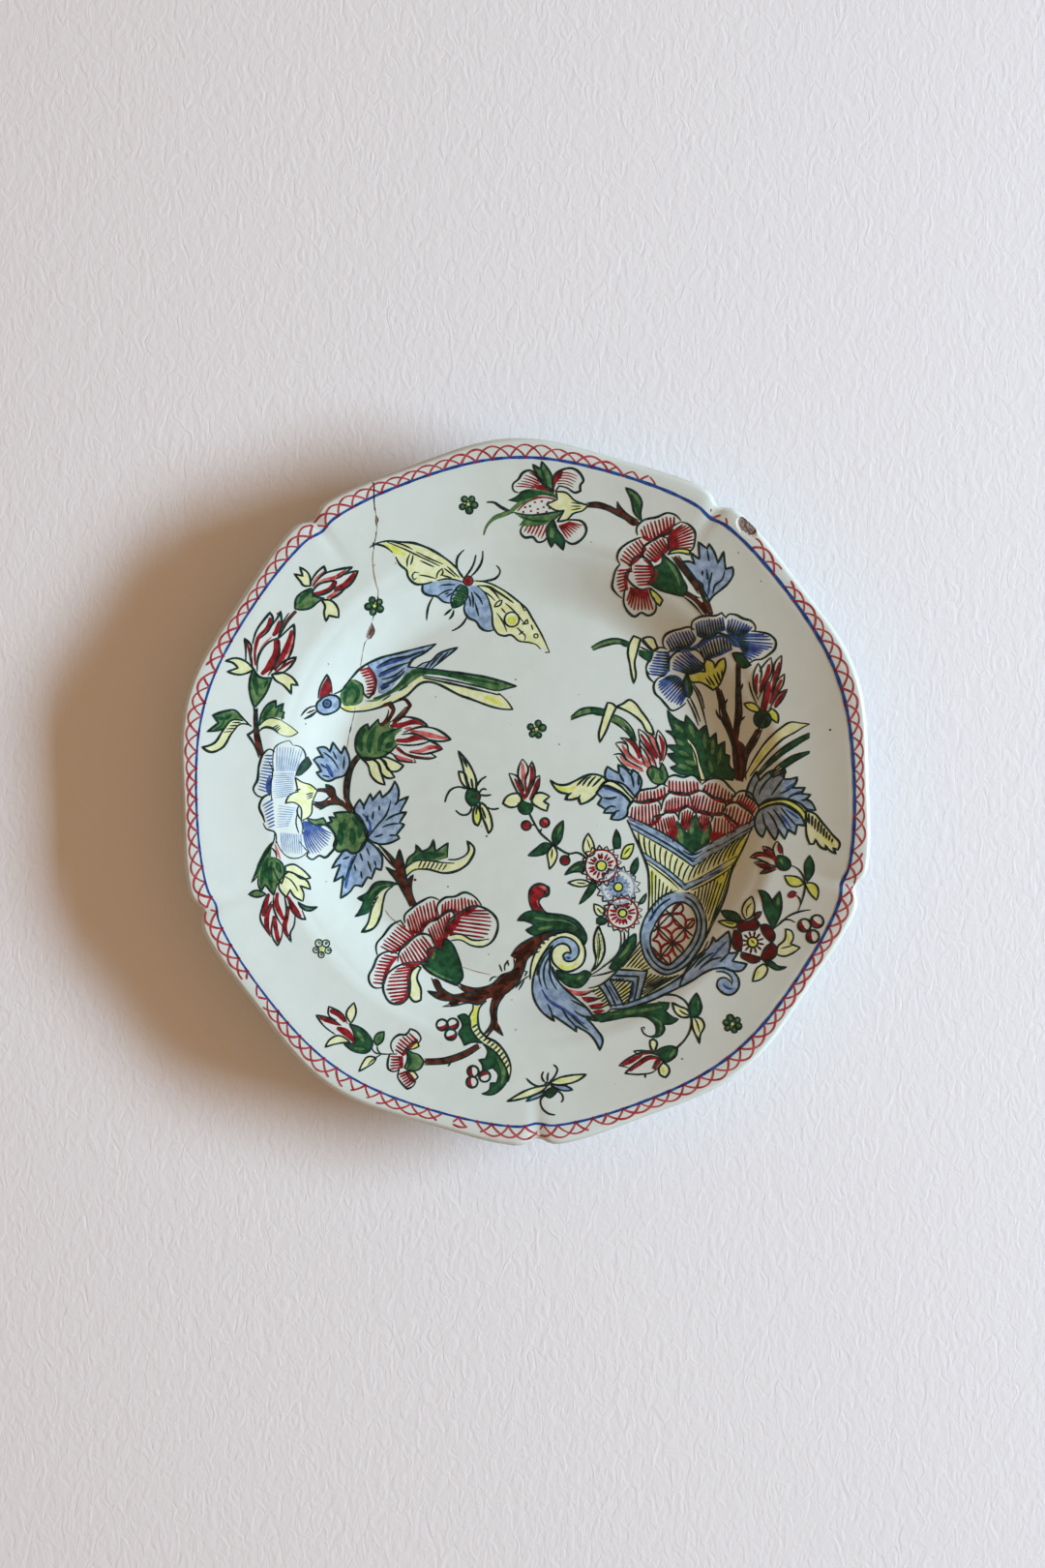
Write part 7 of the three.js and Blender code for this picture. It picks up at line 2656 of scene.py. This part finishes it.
# %% Tin glaze
CLOUD_SIZE = 45.45
MILK_SIZE = 6.25
GLAZE_WAVE = 18.18
GLAZE_IOR = 1.52


def tin_glaze():
    """Dipped lead and tin glaze. Clouds and milky patches keep the white alive, waves bend the light."""
    material, tree, shader, where = new_material("tin_glaze")
    clouds = add_node(tree, "ShaderNodeTexNoise", None, {"Vector": where, "Scale": scale_for(CLOUD_SIZE),
        "Detail": 5.0, "Roughness": 0.6})
    cloudy = add_node(tree, "ShaderNodeMapRange", None, {"Value": clouds.outputs["Fac"], "From Min": 0.3,
        "From Max": 0.7})
    milky = add_node(tree, "ShaderNodeTexNoise", None, {"Vector": where, "Scale": scale_for(MILK_SIZE),
        "Detail": 4.0})
    milk = add_node(tree, "ShaderNodeMapRange", None, {"Value": milky.outputs["Fac"], "From Min": 0.42,
        "From Max": 0.75, "To Max": 0.5})
    # Painted shade: the crown of the lip turns brown-grey in patches, as the edge's thickness looks in
    # shade, along with worn glaze.
    lip = add_node(tree, "ShaderNodeAttribute", {"attribute_name": LIP_SHADE_AND_WEAR})
    patchy = add_node(tree, "ShaderNodeMapRange", None, {"Value": clouds.outputs["Fac"], "From Min": 0.35,
        "From Max": 0.65, "To Max": 0.75})
    shaded_worn_lip = add_node(tree, "ShaderNodeMath", {"operation": "MULTIPLY"},
        {0: lip.outputs["Fac"], 1: patchy.outputs["Result"]})
    colour = linear("#C7D1CB")
    for amount, over in ((cloudy.outputs["Result"], "#CED8D5"), (milk.outputs["Result"], "#D2DAD6"),
            (speck_mask(tree, where, 6.5, 0.22, 0.3), "#7E786A"), (speck_mask(tree, where, 17, 0.4, 0.25),
            "#8F8068"), (shaded_worn_lip.outputs["Value"], "#A89A86")):
        mix = add_node(tree, "ShaderNodeMix", {"data_type": "RGBA"},
            {0: amount, 6: colour, 7: linear(over)})
        colour = mix.outputs[2]
    worn = add_node(tree, "ShaderNodeMapRange", None, {"Value": clouds.outputs["Fac"], "From Min": 0.35,
        "From Max": 0.7, "To Min": 0.13, "To Max": 0.2})
    waves = add_node(tree, "ShaderNodeTexNoise", None, {"Vector": where, "Scale": scale_for(GLAZE_WAVE),
        "Detail": 2.0})
    relief = add_node(tree, "ShaderNodeBump", None, {"Height": waves.outputs["Fac"], "Strength": 0.25,
        "Distance": 0.0006})
    feed(shader, {"Base Color": colour, "Roughness": worn.outputs["Result"], "IOR": GLAZE_IOR,
        "Normal": relief.outputs["Normal"]})
    return material


glaze = tin_glaze()
print("the glaze is a net of", len(glaze.node_tree.nodes), "nodes")

# %% [markdown]
# Where the glaze is gone the body shows: a porous, sandy earthenware, dark with old dirt in the chips and
# paler on the ground foot ring. It is rough, so it stays dull beside the glaze. The broken edge of the
# glaze is pale and smoother. The plate's five finishes go into its slots, which the cut has already dealt
# out to its faces.

# %% Bare clay
SAND_SIZE = 0.6667
PORE_SPACING = 0.6
PORE_SIZE = 0.22


def porous_clay(name, dark, light, pores, roughness=0.9):
    """Fired and broken clay. Its sand gives a dry, mottled look, and its pores are small dark pits."""
    material, tree, shader, where = new_material(name)
    sand = add_node(tree, "ShaderNodeTexNoise", None, {"Vector": where, "Scale": scale_for(SAND_SIZE),
        "Detail": 5.0, "Roughness": 0.7})
    mottle = add_node(tree, "ShaderNodeMapRange", None, {"Value": sand.outputs["Fac"], "From Min": 0.35,
        "From Max": 0.62})
    body = add_node(tree, "ShaderNodeMix", {"data_type": "RGBA"},
        {0: mottle.outputs["Result"], 6: linear(dark), 7: linear(light)})
    holes = speck_mask(tree, where, PORE_SPACING, PORE_SIZE, pores)
    colour = add_node(tree, "ShaderNodeMix", {"data_type": "RGBA"},
        {0: holes, 6: body.outputs[2], 7: linear("#2A2420")})
    relief = add_node(tree, "ShaderNodeBump", None, {"Height": sand.outputs["Fac"], "Strength": 0.7,
        "Distance": 0.0003})
    feed(shader, {"Base Color": colour.outputs[2], "Normal": relief.outputs["Normal"],
        "Roughness": roughness})
    return material


finishes = {GLAZE_SLOT: glaze, CLAY_SLOT: porous_clay("ground_earthenware", "#A5856A", "#C9A98C", 0.3),
    BROKEN_GLAZE_SLOT: porous_clay("broken_glaze", "#B4AEA2", "#DAD9D2", 0.1, 0.45),
    POROUS_CLAY_SLOT: porous_clay("porous_earthenware", "#5A4A42", "#9A8880", 0.6),
    STAINED_SLOT: porous_clay("stained_earthenware", "#2C1A14", "#5E4438", 0.2),}
for slot, finish in finishes.items():
    if slot < len(plate.data.materials):
        plate.data.materials[slot] = finish
    else:
        plate.data.materials.append(finish)
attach(plate, "root")
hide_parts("plate")
print("the plate's finishes:", [finish.name for finish in plate.data.materials])

# %% [markdown]
# The plate lies on embossed paper. A wide round sheet of it stands in for the table, and it turns up into
# a wall far out, as a studio backdrop does, so that low views have a plain pale ground too. A profile
# swept round the plate makes both in one go. It is the stage, not a part of the object.

# %% Table and backdrop
BACKDROP_PROFILE = [(0.4, 0.0), (1.2, 0.0), (3.4, 0.0), (3.9, 0.07), (4.25, 0.27), (4.45, 0.6), (4.5, 1.0),
    (4.5, 2.1)]
BACKDROP_STEPS = 96


def backdrop_mesh():
    """The profile of distance and height, in metres, swept round the plate."""
    points = [(0, 0, 0)]
    faces = []
    for distance, height in BACKDROP_PROFILE:
        for step in range(BACKDROP_STEPS):
            angle = 2 * math.pi * step / BACKDROP_STEPS
            points.append((distance * math.cos(angle), distance * math.sin(angle), height))
    for step in range(BACKDROP_STEPS):
        beside = (step + 1) % BACKDROP_STEPS
        faces.append((0, 1 + step, 1 + beside))
        for row in range(len(BACKDROP_PROFILE) - 1):
            near = 1 + row * BACKDROP_STEPS
            far = near + BACKDROP_STEPS
            faces.append((near + step, far + step, far + beside, near + beside))
    mesh = bpy.data.meshes.new("table")
    mesh.from_pydata(points, [], faces)
    mesh.polygons.foreach_set("use_smooth", [True] * len(faces))
    return mesh


table = bpy.data.objects.new("table", backdrop_mesh())
bpy.context.scene.collection.objects.link(table)
print("the backdrop has", len(table.data.polygons), "faces")

# %% [markdown]
# The paper was pressed between rollers that left wrinkles about 5 mm apart, which only low light brings
# out. Beyond half a metre the sheet turns to a plain pale tone, but only for the camera, for reflections
# and for clear things. So side views have an even background, and the sheet still takes the plate's
# shadow.

# %% Embossed paper
WRINKLE_SIZE = 5.263
PLAIN_FROM = 0.45
PLAIN_TO = 1.25


def embossed_paper():
    """Uncoated pressed paper: pale, dull, with soft wrinkles that catch the light on one side."""
    material, tree, shader, where = new_material("embossed_paper")
    stretched = add_node(tree, "ShaderNodeMapping", None, {"Vector": where, "Scale": (1.6, 0.8, 1.0)})
    wrinkles = add_node(tree, "ShaderNodeTexNoise", None,
        {"Vector": stretched.outputs["Vector"], "Scale": scale_for(WRINKLE_SIZE), "Detail": 5.0,
        "Distortion": 1.4})
    relief = add_node(tree, "ShaderNodeBump", None, {"Height": wrinkles.outputs["Fac"], "Strength": 0.35,
        "Distance": 0.0006})
    feed(shader, {"Base Color": linear("#E6E5E9"), "Roughness": 0.9, "Normal": relief.outputs["Normal"]})
    distance = add_node(tree, "ShaderNodeVectorMath", {"operation": "LENGTH"}, {0: where})
    far = add_node(tree, "ShaderNodeMapRange", {"interpolation_type": "SMOOTHSTEP"},
        {"Value": distance.outputs["Value"], "From Min": PLAIN_FROM, "From Max": PLAIN_TO})
    rays = add_node(tree, "ShaderNodeLightPath").outputs
    seen = rays["Is Camera Ray"]
    for other in ("Is Glossy Ray", "Is Transmission Ray"):
        either = add_node(tree, "ShaderNodeMath", {"operation": "MAXIMUM"}, {0: seen, 1: rays[other]})
        seen = either.outputs["Value"]
    share = add_node(tree, "ShaderNodeMath", {"operation": "MULTIPLY"}, {0: seen, 1: far.outputs["Result"]})
    pale = add_node(tree, "ShaderNodeEmission", None, {"Color": linear("#DDDADB"), "Strength": 1.0})
    blend = add_node(tree, "ShaderNodeMixShader", None,
        {0: share.outputs["Value"], 1: shader.outputs["BSDF"], 2: pale.outputs["Emission"]})
    feed(tree.nodes["Material Output"], {"Surface": blend.outputs["Shader"]})
    return material


table.data.materials.append(embossed_paper())
print("the sheet turns plain between", PLAIN_FROM, "and", PLAIN_TO, "m from the plate's middle")

# %% [markdown]
# The light of the photo comes in low from the right, through a wide window, and the room gives a warm dim
# light from everywhere else. One area lamp and the world stand in for them. The lamp's cool tint and the
# warm one of the room are linear values, matched to the lit table and to the shadow at the left of the
# plate.

# %% Light
WINDOW_PLACE = (2.41, 0.05, 0.97)
WINDOW_WIDTH = 1.5
WINDOW_HEIGHT = 0.45
WINDOW_SPREAD = math.radians(70)
WINDOW_WATTS = 22
WINDOW_TINT = (0.647, 0.848, 1.0)
ROOM_TINT = (0.448, 0.281, 0.155, 1.0)

window = bpy.data.lights.new("window", "AREA")
window.shape = "RECTANGLE"
window.size = WINDOW_WIDTH
window.size_y = WINDOW_HEIGHT
window.spread = WINDOW_SPREAD
window.energy = WINDOW_WATTS
window.color = WINDOW_TINT
window_object = bpy.data.objects.new("window", window)
window_object.location = WINDOW_PLACE
aim = Vector((0, 0, 0)) - window_object.location
window_object.rotation_euler = aim.to_track_quat("-Z", "Y").to_euler()
bpy.context.scene.collection.objects.link(window_object)

world = bpy.data.worlds.new("room")
world.use_nodes = True
feed(world.node_tree.nodes["Background"], {"Color": ROOM_TINT, "Strength": 1.0})
bpy.context.scene.world = world
print("the window stands", round(aim.length, 2), "m from the plate")
